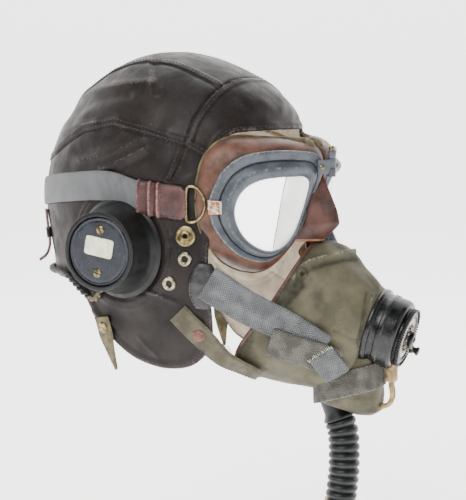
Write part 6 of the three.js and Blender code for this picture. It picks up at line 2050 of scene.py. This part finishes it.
def stud_rows(name, spots, facing, radius, height, material):
    """Small round studs at places, made by geometry nodes."""
    return grow_nodes(bare_piece(name, spots), studs_tree(), {
        "Radius": radius * MM, "Height": height * MM, "Facing": tuple(facing),
        "Finish": material})


def make_switch(looks):
    """The lever on the microphone's face, which turns."""
    hub = MIC_DEPTH + 6 + TOUCH
    lever_turn = math.radians(38.5)
    level = TURN_MASK @ np.array([1.0, 0, 0])
    ahead = math.cos(lever_turn) * level - math.sin(lever_turn) * MIC_UP
    beside = np.cross(MIC_OUT, ahead)
    reach = 16.4
    parts = [lathe("Hub", rounded([(0.3, hub), (6, hub), (6, hub + 2.2), (4.6, hub + 2.9),
                                   (2.2, hub + 3.0), (2.0, hub + 3.8), (0.3, hub + 3.9)], 0.4, 3),
                   MIC_AT, MIC_OUT, 56, looks["black"]),
             lathe("Knob", rounded([(0.3, hub - 0.5), (3.4, hub - 0.5), (3.4, hub + 1.6),
                                    (2.4, hub + 2.4), (2.4, hub + 4.0), (3.6, hub + 5.0),
                                    (3.3, hub + 6.6), (0.3, hub + 7)], 0.5, 3),
                   MIC_AT + reach * ahead, MIC_OUT, 40, looks["black"])]
    run = np.linspace(0, 1, 20)
    middles = MIC_AT + run[:, None] * reach * ahead + (hub + 0.1) * MIC_OUT
    arm = ribbon("Arm", middles, np.repeat(beside[None], 20, 0), np.repeat(MIC_OUT[None], 20, 0),
                 4.2 - 1.0 * run, 2.0, looks["steel"], 9)
    parts.append(arm)
    switch = join_meshes("Microphone switch", parts)
    finish_piece(switch, "mic_switch", body="switch")


def make_lead(looks):
    """The plug under the microphone and its two strands."""
    ahead, bottom = LEAD_ROUTE[0]
    foot = to_helmet(place(0, ahead, 0))
    profile = rounded([(0.3, bottom + 0.3), (3.6, bottom + 0.3), (4.6, bottom + 2),
                       (5.0, bottom + 4), (4.4, bottom + 7), (4.9, bottom + 9), (5.0, bottom + 14),
                       (3.8, bottom + 15.5), (0.3, bottom + 15.5)], 0.8, 3)
    plug = lathe("Microphone plug", profile, foot, UP, 48, looks["cord"])
    finish_piece(plug, "mic_plug")
    route = np.array([place(0, q, z) for q, z in LEAD_ROUTE])
    centre, _ = even_curve(route, 0.8)
    strands = []
    for sign in (1, -1):
        spread = sign * 1.9 * (1 + 0.15 * np.sin(np.linspace(0, 9, len(centre))))
        strands.append(tube("Strand", to_helmet(centre + np.array([1.0, 0, 0]) * spread[:, None]),
                            1.85, 14, looks["cord"]))
    lead = join_meshes("Microphone lead", strands)
    finish_piece(lead, "mic_lead")


# Hose

HOSE_ROUTE = [(55, -282), (56.8, -287), (58, -292), (58.8, -300), (59, -308), (59, -317),
              (58.6, -325), (57.8, -333), (57, -340), (56.6, -345)]
HOSE_PITCH = 6.3
HOSE_GROOVE = 3.0
HOSE_NECK_LENGTH = 24.0


def make_hose(looks):
    """The ribbed hose with its neck and end fitting."""
    route = to_helmet(np.array([place(0, q, z) for q, z in HOSE_ROUTE]))
    line, _ = even_curve(route, 0.35)
    start = unit(line[0] - line[3])
    cuff = HOSE_RADIUS - 0.2
    neck = rounded([(0.3, 0.1), (cuff, 0.1), (cuff + 0.2, 2.0), (HOSE_NECK_RADIUS + 1.0, 4.4),
                    (HOSE_NECK_RADIUS + 0.2, 6.5), (HOSE_NECK_RADIUS + 0.4, HOSE_NECK_LENGTH),
                    (0.3, HOSE_NECK_LENGTH)], 0.9, 4)
    piece = lathe("Hose neck", neck, line[0], start, 64, looks["hose"])
    finish_piece(piece, "hose_neck")

    sizes = bpy.context.scene.helmet_sizes
    hose = bare_piece("Hose", line, [(k, k + 1) for k in range(len(line) - 1)])
    grow_nodes(hose, ribbed_tree(), {"Radius": HOSE_RADIUS * MM, "Groove": sizes.hose_groove,
                                     "Pitch": sizes.hose_pitch, "Finish": looks["hose"]})
    finish_piece(hose, "hose")
    onward = unit(line[-1] - line[-4])
    profile = rounded([(0.3, 0.2), (HOSE_RADIUS + 0.5, 0.2), (HOSE_RADIUS + 0.6, 7.6),
                       (HOSE_RADIUS - 1.8, 9.8), (HOSE_RADIUS - 2, 19.6), (HOSE_RADIUS - 0.6, 20.8),
                       (HOSE_RADIUS - 0.5, 24), (HOSE_RADIUS - 3, 25),
                       (HOSE_RADIUS - 3, CONNECTOR_LENGTH), (0.3, CONNECTOR_LENGTH)], 0.6, 3)
    end = lathe("Hose connector", profile, line[-1], onward, 72, looks["brass"])
    finish_piece(end, "hose_connector")


# Straps between the helmet and the mask, the tabs at the back, and the receivers' lead

STRAPS_ON_MASK = {
    "right": {"upper": [(24, -203), (38, -211), (47, -217), (53, -221)],
              "lower": [(-9, -240), (-1, -244)]},
    "left": {"upper": [(42, -209), (50, -215), (56, -220), (61, -226)],
             "lower": [(14, -243), (22, -246)]},
}
FOLD_ON_MASK = [(14, -215), (26, -219), (40, -223), (52, -227), (62, -231)]
TIP_ON_MASK = [(51, -223), (56, -231), (60, -239)]
STRAP_SPREAD = 0.16  # how much wider the upper webbing is at its hook, as a share
TIP_NARROWING = 2.5


def on_helmet(side, spot, lift):
    """A place beside a side-view place of the helmet, off the leather, and its direction."""
    at = shell_beside(spot[0], spot[1], side)
    outward = shell_normal(at)
    stands, _ = leather_lift(at[None])
    return at + outward * (lift + stands[0]), outward


def between(start, end, out, down):
    """The middle of a free stretch between two places, moved outward and down."""
    outward = unit(start[1] + end[1])
    return (start[0] + end[0]) / 2 + outward * out - UP * down, outward


def strap_piece(name, route, width, thickness, look, columns=15, step=1.0, taper=None,
                wear=0.0, crown=0.2, ragged=0.0):
    """A strap along a route of places and ways out, and its frames."""
    middles, across, out = route_frames(route, step)
    share = np.linspace(0, 1, len(middles))
    widths = width * (np.ones(len(middles)) if taper is None else taper(share))
    widths = widths + ragged * lumps(middles, 4.0, 2.0)
    middles = middles + out * (0.3 * lumps(middles, 13.0, 5.0))[:, None]
    marks = {"wear": np.full(len(middles) * 2 * columns, wear)}
    piece = ribbon(name, middles, across, out, widths, thickness, look, columns, crown, marks)
    return piece, (middles, across, out, widths)


def frayed_end(name, frames, row, reach, look, count=26, seed=1.0):
    """Loose threads along the cut end of a strap."""
    middles, across, out, widths = frames
    along = unit(middles[row] - middles[row - 2 if row else 2])
    threads = []
    for k in range(count):
        share = (k + 0.5) / count - 0.5
        start = middles[row] + share * widths[row] * across[row] + 0.8 * out[row]
        sway = [noise.noise(Vector((k * 1.7 + seed, axis * 9.1, seed))) for axis in range(3)]
        end = start + reach * ((0.6 + sway[0]) * along + 0.9 * sway[1] * across[row]
                               + 0.7 * sway[2] * out[row])
        middle = (start + end) / 2 + out[row] * 0.3 * reach * sway[1]
        threads.append(smooth_curve([start - along * 0.8, middle, end], np.linspace(0, 1, 7)))
    strands = [tube("Thread", thread, np.linspace(0.22, 0.09, 7), 5, look) for thread in threads]
    return join_meshes(name, strands)


def make_harness(looks):
    """The webbing on each side, with its hook and lower strap."""
    for name, side in SIDES:
        make_hook(looks, name, side)
        start = on_helmet(side, (HOOK_AT[0] + 3, HOOK_AT[1] + 1), SEAT + HOOK_THICKNESS - 0.6)
        sides = [on_mask(side, q, z, 2.0) for q, z in STRAPS_ON_MASK[name]["upper"]]
        route = [start, between(start, sides[0], 6, 0)] + sides
        upper, frames = strap_piece(f"Upper webbing {name}", route, WEBBING_WIDTH,
                                    WEBBING_THICKNESS, looks["webbing"], crown=0.5,
                                    taper=lambda share: 1 + STRAP_SPREAD * (1 - share))
        folded = [on_mask(side, q, z, 4.3) for q, z in FOLD_ON_MASK]
        second, under = strap_piece(f"Folded webbing {name}", folded, WEBBING_WIDTH,
                                    WEBBING_THICKNESS, looks["faded"], wear=0.1)
        tip = [on_mask(side, q, z, 6.4) for q, z in TIP_ON_MASK]
        end, tip_frames = strap_piece(f"Webbing end {name}", tip, WEBBING_WIDTH - TIP_NARROWING,
                                      WEBBING_THICKNESS, looks["webbing"], wear=0.15, ragged=0.5)
        fray = frayed_end(f"Webbing fray {name}", tip_frames, 0, 3.0, looks["paper"])
        finish_piece(upper, f"upper_webbing_{name}")
        for extra in (second, end, fray):
            finish_piece(extra)
        rows = [row_along(frames, share, WEBBING_THICKNESS + 0.1, slice(4, None))
                for share in (0.44, -0.44)]
        rows += [row_across(under, k, WEBBING_THICKNESS + 0.2) for k in (3, 6)]
        sewn = thread_rows(f"Webbing stitches {name}", rows, looks["elastic"], 2.4, 1.7, 0.26)
        finish_piece(sewn)
        make_lower_strap(looks, name, side)


def make_hook(looks, name, side):
    """The worn leather loop that holds the upper webbing on the cheek."""
    route = [on_helmet(side, (HOOK_AT[0] + 0.12 * share * HOOK_LENGTH,
                              HOOK_AT[1] + share * HOOK_LENGTH), 0.3)
             for share in (0.62, 0.3, 0.0, -0.35, -0.65, -0.85)]
    middles, across, out = route_frames(route, 0.6)
    share = np.linspace(0, 1, len(middles))
    thick = (HOOK_THICKNESS - 1.4) * np.clip(np.sin(np.pi * share), 0, 1) ** 0.35 + 0.5
    thick = thick + 0.5 * lumps(middles, 6.0, 3.0)
    width = HOOK_WIDTH * (0.42 + 0.58 * np.sin(np.pi * share) ** 0.8) + 0.8 * lumps(
        middles, 5.0, 8.0)
    wear = np.clip(0.03 + 0.3 * bell(share - 0.12, 0.1) + 0.3 * bell(share - 0.9, 0.08)
                   + 0.3 * lumps(middles, 4.0, 5.0), 0, 1)
    columns = 19
    hook = ribbon(f"Cheek hook {name}", middles, across, out, width, thick, looks["worn"],
                  columns, crown=0.9, marks={"wear": np.repeat(wear, 2 * columns)})
    finish_piece(hook, f"cheek_hook_{name}")
    frames = (middles, across, out, width)
    lines = [row_along(frames, s, thick[4:-4] + 0.4, slice(4, -4)) for s in (-0.4, 0.4)]
    lines.append(row_across(frames, 6, thick[6] + 0.5, 0.38, 14))
    sewn = thread_rows(f"Hook stitches {name}", lines, looks["thread"], 2.8, 2.0, 0.3)
    finish_piece(sewn)


def make_lower_strap(looks, name, side):
    """The khaki strap from the rivet to the mask."""
    rivet_at = on_helmet(side, RIVET_SPOT, SEAT + 0.4)
    rear, front = [on_mask(side, q, z, 2.0) for q, z in STRAPS_ON_MASK[name]["lower"]]
    route = [on_helmet(side, (50, -195), SEAT), on_helmet(side, (57, -203), SEAT), rivet_at,
             between(rivet_at, rear, 2, 3), rear, front]
    strap, frames = strap_piece(f"Lower strap {name}", route, KHAKI_WIDTH, KHAKI_THICKNESS,
                                looks["khaki"], ragged=0.5, crown=0.3)
    finish_piece(strap, f"lower_strap_{name}")
    middles, across, out, widths = frames
    rows = [row_along(frames, share, KHAKI_THICKNESS + 0.12, slice(3, -4))
            for share in (-0.42, 0.42)]
    rows += [row_across(frames, k, KHAKI_THICKNESS + 0.3, 0.4, 14) for k in (4, 7)]
    sewn = thread_rows(f"Strap stitches {name}", rows, looks["khaki"], 2.6, 1.9, 0.28)
    finish_piece(sewn)
    head = rounded([(0.3, 1.0), (RIVET_RADIUS, 1.0), (RIVET_RADIUS, 2.4),
                    (RIVET_RADIUS - 1.4, 3.2), (1.6, 3.5), (0.3, 3.4)], 0.6, 4)
    rivet = lathe(f"Strap rivet {name}", head, rivet_at[0], rivet_at[1], 48, looks["rivet"])
    finish_piece(rivet, f"strap_rivet_{name}")
    loose = []
    half = len(middles) // 2
    for k in range(5):
        row = half - 6 + 2 * k
        edge = 0.5 * widths[row] * np.sign(across[row] @ TO_RIGHT)
        start = middles[row] + edge * across[row] + out[row]
        sway = [noise.noise(Vector((k * 2.3, axis * 7.7, 4.0))) for axis in range(3)]
        tip = start + 4.0 * TO_RIGHT * (0.7 + sway[0]) + 5.0 * UP * sway[1] + 2.5 * out[row]
        bent = smooth_curve([start, (start + tip) / 2 + 1.6 * UP, tip], np.linspace(0, 1, 8))
        loose.append(tube("Thread", bent, 0.16, 5, looks["khaki"]))
    threads = join_meshes(f"Loose threads {name}", loose)
    finish_piece(threads)


NAPE_ROUTE = [(-124, 0), (-134, 0), (-145, 0), (-154, 1), (-161, 5), (-165, 11)]
KEEPER_SHARE, KEEPER_WIDTH = 0.42, 8.0  # how far down the nape tab it sits
KEEPER_ROWS, KEEPER_ROUND = 9, 40
NECK_DROPS = [(10, 1.5, 2), (20, 4, 4), (32, 7, 6)]


def make_tabs(looks):
    """The nape tabs with their keepers, and the neck tabs."""
    for name, side in SIDES:
        route = []
        for z, curl in NAPE_ROUTE:
            at, out = spot_at_bearing(NAPE_BEARING, z)
            route.append((mirrored(at + out * (SEAT + 0.6 + curl), side), mirrored(out, side)))
        tab, _ = strap_piece(f"Nape tab {name}", route, TAB_WIDTH, 2.0, looks["oxblood"],
                             taper=lambda s: 1 - 0.35 * smoothstep(0.86, 1.0, s), wear=0.2)
        finish_piece(tab, f"nape_tab_{name}")
        make_keeper(looks, name, route)
        make_neck_tab(looks, name, side)


def make_keeper(looks, name, route):
    """The leather loop that holds a nape tab down."""
    middles, across, out = route_frames(route, 1.0)
    k = int(KEEPER_SHARE * len(middles))
    turn = 2 * np.pi * np.arange(KEEPER_ROUND)[:, None] / KEEPER_ROUND
    c, s = np.cos(turn), np.sin(turn)
    loop = (middles[k] + np.sign(c) * np.abs(c) ** 0.35 * (TAB_WIDTH / 2 + 1.3) * across[k]
            + (np.sign(s) * np.abs(s) ** 0.6 * 1.9 + 1.4) * out[k])
    along = unit(middles[k + 1] - middles[k - 1])
    shares = np.linspace(-1, 1, KEEPER_ROWS)
    rings = np.array([loop + along * KEEPER_WIDTH / 2 * share for share in shares])
    keeper = mesh_piece(f"Nape keeper {name}", rings,
                        grid_faces(KEEPER_ROWS, KEEPER_ROUND, False, True), looks["leather"],
                        marks={"wear": np.repeat(bell(np.abs(shares) - 1, 0.3), KEEPER_ROUND)})
    finish_piece(thicken(turn_sheet(keeper), 1.4))


def make_neck_tab(looks, name, side):
    """A short cloth tab that hangs from the helmet's lower edge, with its stud."""
    route = [on_helmet(RIGHT, (-22, -203), SEAT), on_helmet(RIGHT, (-20, -213), SEAT)]
    edge, outward = route[-1]
    for drop, ahead, inward in NECK_DROPS:
        route.append((edge + place(inward, ahead, -drop), outward))
    route = [(mirrored(p, side), mirrored(o, side)) for p, o in route]
    tab, frames = strap_piece(
        f"Neck tab {name}", route, TAB_WIDTH, 1.6, looks["piping"],
        taper=lambda s: np.where(s < 0.35, 1, 1 - 0.85 * (s - 0.35) / 0.65), ragged=0.4)
    finish_piece(tab, f"neck_tab_{name}")
    middles, _, out, _ = frames
    stud = lathe(f"Neck stud {name}", rounded([(0.3, 0.8), (4.6, 0.8), (4.6, 2.4), (3.4, 3.4),
                                               (2.0, 2.9), (0.3, 3.3)], 0.5, 3),
                 middles[9], out[9], 40, looks["brass"])
    finish_piece(stud)


LEAD_BESIDE = [(-14, -172), (-18, -183), (-25, -189), (-35, -185), (-46, -178)]
LEAD_BEARINGS, LEAD_HEIGHT = (128, 140, 155, 170, 180), -171.5
STRAND_OFFSET, STRAND_RADIUS, STRAND_TWIST = 1.15, 1.25, 11.0
SLEEVE_FROM = 30.0  # how far behind the ears the lead's dark sleeve starts


def make_receiver_lead(looks):
    """Two twisted strands between the receivers, round the nape."""
    lift = RECEIVER_LEAD_RADIUS + 1.2
    below = [on_helmet(RIGHT, spot, lift)[0] for spot in LEAD_BESIDE]
    nape = []
    for bearing in LEAD_BEARINGS:
        at, out = spot_at_bearing(bearing, LEAD_HEIGHT)
        nape.append(at + out * (lift + 0.4))
    right = np.array(below + nape)
    route = np.vstack([right, right[-2::-1] * [-1, 1, 1]])
    centre, run = even_curve(route, 0.8)
    rings = tube_points(centre, STRAND_OFFSET, 360)
    strands = []
    for start in (0, 180):
        turn = (start + np.round(run / STRAND_TWIST * 360).astype(int)) % 360
        strands.append(tube("Strand", rings[np.arange(len(centre)), turn], STRAND_RADIUS, 12,
                            looks["lead"]))
    lead = join_meshes("Receiver lead", strands)
    lead.data.materials.append(looks["worn"])
    behind = [face.center.y > SLEEVE_FROM * MM for face in lead.data.polygons]
    lead.data.polygons.foreach_set("material_index", np.array(behind, np.int32))
    finish_piece(lead, "receiver_lead")


# Stage

STAGE_DROP = 430.0
STAGE_HALF = 30000.0
BACKDROP_AT = 2600.0
BACKDROP_BEND = 900.0
BACKDROP_HEIGHT = 5200.0
PAPER_COLOUR = (0.93, 0.925, 0.92, 1)
PAPER_GLOW = (1.0, 0.99, 0.975, 1)
SKY_COLOUR, SKY_STRENGTH = (0.97, 0.98, 1.0, 1), 0.16
LIT_SPOT = place(0, 40, -150)
LAMPS = [  # place in the camera's axes: right, up, towards the camera; size and colour
    ("Key light", (-700.0, 1100.0, 1300.0), 1100.0, (1.0, 0.99, 0.97)),
    ("Fill light", (1500.0, 350.0, 900.0), 1500.0, (0.98, 0.99, 1.0)),
    ("Top light", (0.0, 1700.0, -500.0), 1400.0, (1.0, 1.0, 1.0)),
]
SENSOR_WIDTH = 36.0


def make_floor(glow):
    """Pale paper that lies under the helmet and curves up behind it."""
    away = -unit(TO_CAMERA * [1, 1, 0])
    beside = unit(np.cross(away, UP))
    bend_at = BACKDROP_AT - BACKDROP_BEND
    profile = [(-STAGE_HALF, 0.0), (bend_at, 0.0)]
    profile += [(bend_at + BACKDROP_BEND * math.sin(a), BACKDROP_BEND * (1 - math.cos(a)))
                for a in np.linspace(0, np.pi / 2, 24)[1:]]
    profile.append((BACKDROP_AT, BACKDROP_HEIGHT))
    rows = [[away * run + beside * across + UP * (rise - STAGE_DROP)
             for across in (-STAGE_HALF, STAGE_HALF)] for run, rise in profile]
    material = bpy.data.materials.new("Studio paper")
    material.use_nodes = True
    paper = material.node_tree.nodes["Principled BSDF"]
    paper.inputs["Base Color"].default_value = PAPER_COLOUR
    paper.inputs["Roughness"].default_value = 0.9
    paper.inputs["Emission Color"].default_value = PAPER_GLOW
    paper.inputs["Emission Strength"].default_value = glow
    return mesh_piece("Studio floor", rows, grid_faces(len(rows), 2), material)


def make_lamp(name, spot, size, tint, power):
    """A round soft light that faces the helmet."""
    data = bpy.data.lights.new(name, "AREA")
    data.shape = "DISK"
    data.size = size * MM
    data.energy = power
    data.color = tint
    lamp = add_object(name, data)
    at = LIT_SPOT + spot[0] * TO_RIGHT + spot[1] * TO_TOP + spot[2] * TO_CAMERA
    lamp.location = (at * MM).tolist()
    facing = Vector(((LIT_SPOT - at) * MM).tolist())
    lamp.rotation_euler = facing.to_track_quat("-Z", "Y").to_euler()
    return lamp


def make_stage():
    """The pale floor, the lights of the settings and the dim sky."""
    studio = bpy.context.scene.helmet_studio
    powers = (studio.key_power, studio.fill_power, studio.top_power)
    stands = [make_floor(studio.paper_glow)]
    stands += [make_lamp(*lamp, power) for lamp, power in zip(LAMPS, powers)]
    world = bpy.data.worlds.new("Studio")
    world.use_nodes = True
    sky = world.node_tree.nodes["Background"]
    sky.inputs["Color"].default_value = SKY_COLOUR
    sky.inputs["Strength"].default_value = SKY_STRENGTH
    bpy.context.scene.world = world


def make_camera():
    """The photograph's own view, without perspective worth seeing."""
    data = bpy.data.cameras.new("Camera")
    data.sensor_width = SENSOR_WIDTH
    data.lens = SENSOR_WIDTH * VIEW_SCALE * VIEW_DISTANCE / PHOTO_HEIGHT
    data.sensor_fit = "AUTO"
    camera = add_object("Camera", data)
    camera.location = ((TARGET + VIEW_DISTANCE * TO_CAMERA) * MM).tolist()
    axes = Matrix([TO_RIGHT.tolist(), TO_TOP.tolist(), TO_CAMERA.tolist()]).transposed()
    camera.rotation_euler = axes.to_euler()
    bpy.context.scene.camera = camera


# The add-on: settings, an operator for each group of pieces, and a panel

MADE_LOOKS = {}


def looks():
    """The materials in the colours of the settings, made once for each choice of colours."""
    colours = bpy.context.scene.helmet_colours
    chosen = tuple(tuple(getattr(colours, name)) for name in COLOURED)
    if chosen not in MADE_LOOKS:
        MADE_LOOKS[chosen] = make_looks(dict(zip(COLOURED, chosen)))
    return MADE_LOOKS[chosen]


def length_setting(name, description, millimetres):
    """A length setting, shown in the scene's own unit."""
    return bpy.props.FloatProperty(name=name, description=description, min=0.0,
                                   default=millimetres * MM, precision=5, subtype="DISTANCE",
                                   unit="LENGTH")


def colour_setting(name, description, look):
    """A colour setting for the light patches of a look."""
    return bpy.props.FloatVectorProperty(name=name, description=description, min=0.0, max=1.0,
                                         size=3, subtype="COLOR", default=FINISHES[look]["light"])


def power_setting(name, description, watts):
    """A setting for the strength of a lamp."""
    return bpy.props.FloatProperty(name=name, description=description, min=0.0, default=watts,
                                   subtype="POWER", unit="POWER")


class HelmetSizes(bpy.types.PropertyGroup):
    """Sizes of the leather, its sewing and the hose"""
    stitches: bpy.props.BoolProperty(
        name="Stitches", description="Sew the helmet's seams and hem", default=True)
    leather_wall: length_setting(
        "Leather", "Thickness of the leather with its lining", LEATHER_WALL)
    stitch_pitch: length_setting("Stitch pitch", "From one stitch to the next", STITCH_PITCH)
    stitch_length: length_setting(
        "Stitch length", "Length of each stitch that shows", STITCH_LENGTH)
    stitch_radius: length_setting(
        "Thread radius", "Half the thickness of the thread", STITCH_RADIUS)
    hose_pitch: length_setting("Hose pitch", "From one rib of the hose to the next", HOSE_PITCH)
    hose_groove: length_setting("Hose groove", "Depth between two ribs of the hose", HOSE_GROOVE)


class HelmetColours(bpy.types.PropertyGroup):
    """Colours of the largest pieces"""
    leather: colour_setting("Leather", "Lighter patches of the helmet's leather", "leather")
    pad: colour_setting("Pads", "Lighter patches of the goggles' face pads", "pad")
    mask: colour_setting("Mask", "Lighter patches of the mask's cloth", "mask")
    paint: colour_setting("Frames", "Lighter patches of the paint on the goggle frames", "paint")
    elastic: colour_setting("Elastic", "Lighter patches of the goggle strap", "elastic")
    webbing: colour_setting("Webbing", "Lighter patches of the harness", "webbing")


class HelmetStudio(bpy.types.PropertyGroup):
    """Strength of the studio's lights"""
    key_power: power_setting("Key light", "Main light from the front", 33.0)
    fill_power: power_setting("Fill light", "Soft light from the other side", 7.0)
    top_power: power_setting("Top light", "Light from above and behind", 15.0)
    paper_glow: bpy.props.FloatProperty(
        name="Paper", description="How brightly the backdrop shines", min=0.0, default=2.2)


class HELMET_OT_shell(bpy.types.Operator):
    """Make the six leather panels and their sewing"""
    bl_idname = "helmet.shell"
    bl_label = "Leather Shell"
    bl_options = {"REGISTER", "UNDO"}

    def execute(self, context):
        make_shell(looks())
        if context.scene.helmet_sizes.stitches:
            make_stitches(looks())
        return {"FINISHED"}


class HELMET_OT_ear_cups(bpy.types.Operator):
    """Make the ear cups, their caps, screws and blank label"""
    bl_idname = "helmet.ear_cups"
    bl_label = "Ear Cups"
    bl_options = {"REGISTER", "UNDO"}

    def execute(self, context):
        make_ear_cups(looks())
        return {"FINISHED"}


class HELMET_OT_studs(bpy.types.Operator):
    """Make the press studs and eyelets of the cheeks"""
    bl_idname = "helmet.studs"
    bl_label = "Studs and Eyelets"
    bl_options = {"REGISTER", "UNDO"}

    def execute(self, context):
        make_studs(looks())
        return {"FINISHED"}


class HELMET_OT_goggle_strap(bpy.types.Operator):
    """Make the elastic, its leather ends and its rings"""
    bl_idname = "helmet.goggle_strap"
    bl_label = "Goggle Strap"
    bl_options = {"REGISTER", "UNDO"}

    def execute(self, context):
        make_goggle_strap(looks())
        return {"FINISHED"}


class HELMET_OT_goggles(bpy.types.Operator):
    """Make the frames, panes, clips, pads, nose piece and bridge"""
    bl_idname = "helmet.goggles"
    bl_label = "Goggles"
    bl_options = {"REGISTER", "UNDO"}

    def execute(self, context):
        make_frames(looks())
        make_pads(looks())
        make_nose_piece(looks())
        make_bridge(looks())
        return {"FINISHED"}


class HELMET_OT_mask(bpy.types.Operator):
    """Make the oxygen mask, its chin block and its band"""
    bl_idname = "helmet.mask"
    bl_label = "Oxygen Mask"
    bl_options = {"REGISTER", "UNDO"}

    def execute(self, context):
        make_mask(looks())
        return {"FINISHED"}


class HELMET_OT_microphone(bpy.types.Operator):
    """Make the microphone, its switch, plug and lead"""
    bl_idname = "helmet.microphone"
    bl_label = "Microphone"
    bl_options = {"REGISTER", "UNDO"}

    def execute(self, context):
        make_microphone(looks())
        return {"FINISHED"}


class HELMET_OT_hose(bpy.types.Operator):
    """Make the ribbed hose, its neck and its end fitting"""
    bl_idname = "helmet.hose"
    bl_label = "Hose"
    bl_options = {"REGISTER", "UNDO"}

    def execute(self, context):
        make_hose(looks())
        return {"FINISHED"}


class HELMET_OT_harness(bpy.types.Operator):
    """Make the hooks, webbing, lower straps and rivets"""
    bl_idname = "helmet.harness"
    bl_label = "Harness"
    bl_options = {"REGISTER", "UNDO"}

    def execute(self, context):
        make_harness(looks())
        return {"FINISHED"}


class HELMET_OT_back(bpy.types.Operator):
    """Make the tabs at the back and the receivers' lead"""
    bl_idname = "helmet.back"
    bl_label = "Tabs and Lead"
    bl_options = {"REGISTER", "UNDO"}

    def execute(self, context):
        make_tabs(looks())
        make_receiver_lead(looks())
        return {"FINISHED"}


class HELMET_OT_stage(bpy.types.Operator):
    """Make the pale studio, its lights and the camera"""
    bl_idname = "helmet.stage"
    bl_label = "Studio"
    bl_options = {"REGISTER", "UNDO"}

    def execute(self, context):
        make_stage()
        make_camera()
        return {"FINISHED"}


class HELMET_PT_panel(bpy.types.Panel):
    """Settings, and a button for every group of pieces"""
    bl_idname = "HELMET_PT_panel"
    bl_label = "Leather Flying Helmet"
    bl_space_type = "VIEW_3D"
    bl_region_type = "UI"
    bl_category = "Helmet"

    def draw(self, context):
        scene = context.scene
        for settings in (scene.helmet_sizes, scene.helmet_colours, scene.helmet_studio):
            column = self.layout.column(align=True)
            for name in type(settings).__annotations__:
                column.prop(settings, name)
        for operator in OPERATORS:
            self.layout.operator(operator.bl_idname)


OPERATORS = [
    HELMET_OT_shell, HELMET_OT_ear_cups, HELMET_OT_studs, HELMET_OT_goggle_strap,
    HELMET_OT_goggles, HELMET_OT_mask, HELMET_OT_microphone, HELMET_OT_hose,
    HELMET_OT_harness, HELMET_OT_back, HELMET_OT_stage,
]
CLASSES = [HelmetSizes, HelmetColours, HelmetStudio, *OPERATORS, HELMET_PT_panel]


def register():
    for item in CLASSES:
        bpy.utils.register_class(item)
    bpy.types.Scene.helmet_sizes = bpy.props.PointerProperty(type=HelmetSizes)
    bpy.types.Scene.helmet_colours = bpy.props.PointerProperty(type=HelmetColours)
    bpy.types.Scene.helmet_studio = bpy.props.PointerProperty(type=HelmetStudio)


def unregister():
    del bpy.types.Scene.helmet_studio
    del bpy.types.Scene.helmet_colours
    del bpy.types.Scene.helmet_sizes
    for item in reversed(CLASSES):
        bpy.utils.unregister_class(item)


def main():
    register()
    bpy.ops.helmet.shell()
    bpy.ops.helmet.ear_cups()
    bpy.ops.helmet.studs()
    bpy.ops.helmet.goggle_strap()
    bpy.ops.helmet.goggles()
    bpy.ops.helmet.mask()
    bpy.ops.helmet.microphone()
    bpy.ops.helmet.hose()
    bpy.ops.helmet.harness()
    bpy.ops.helmet.back()
    bpy.ops.helmet.stage()


if __name__ == "__main__":
    main()
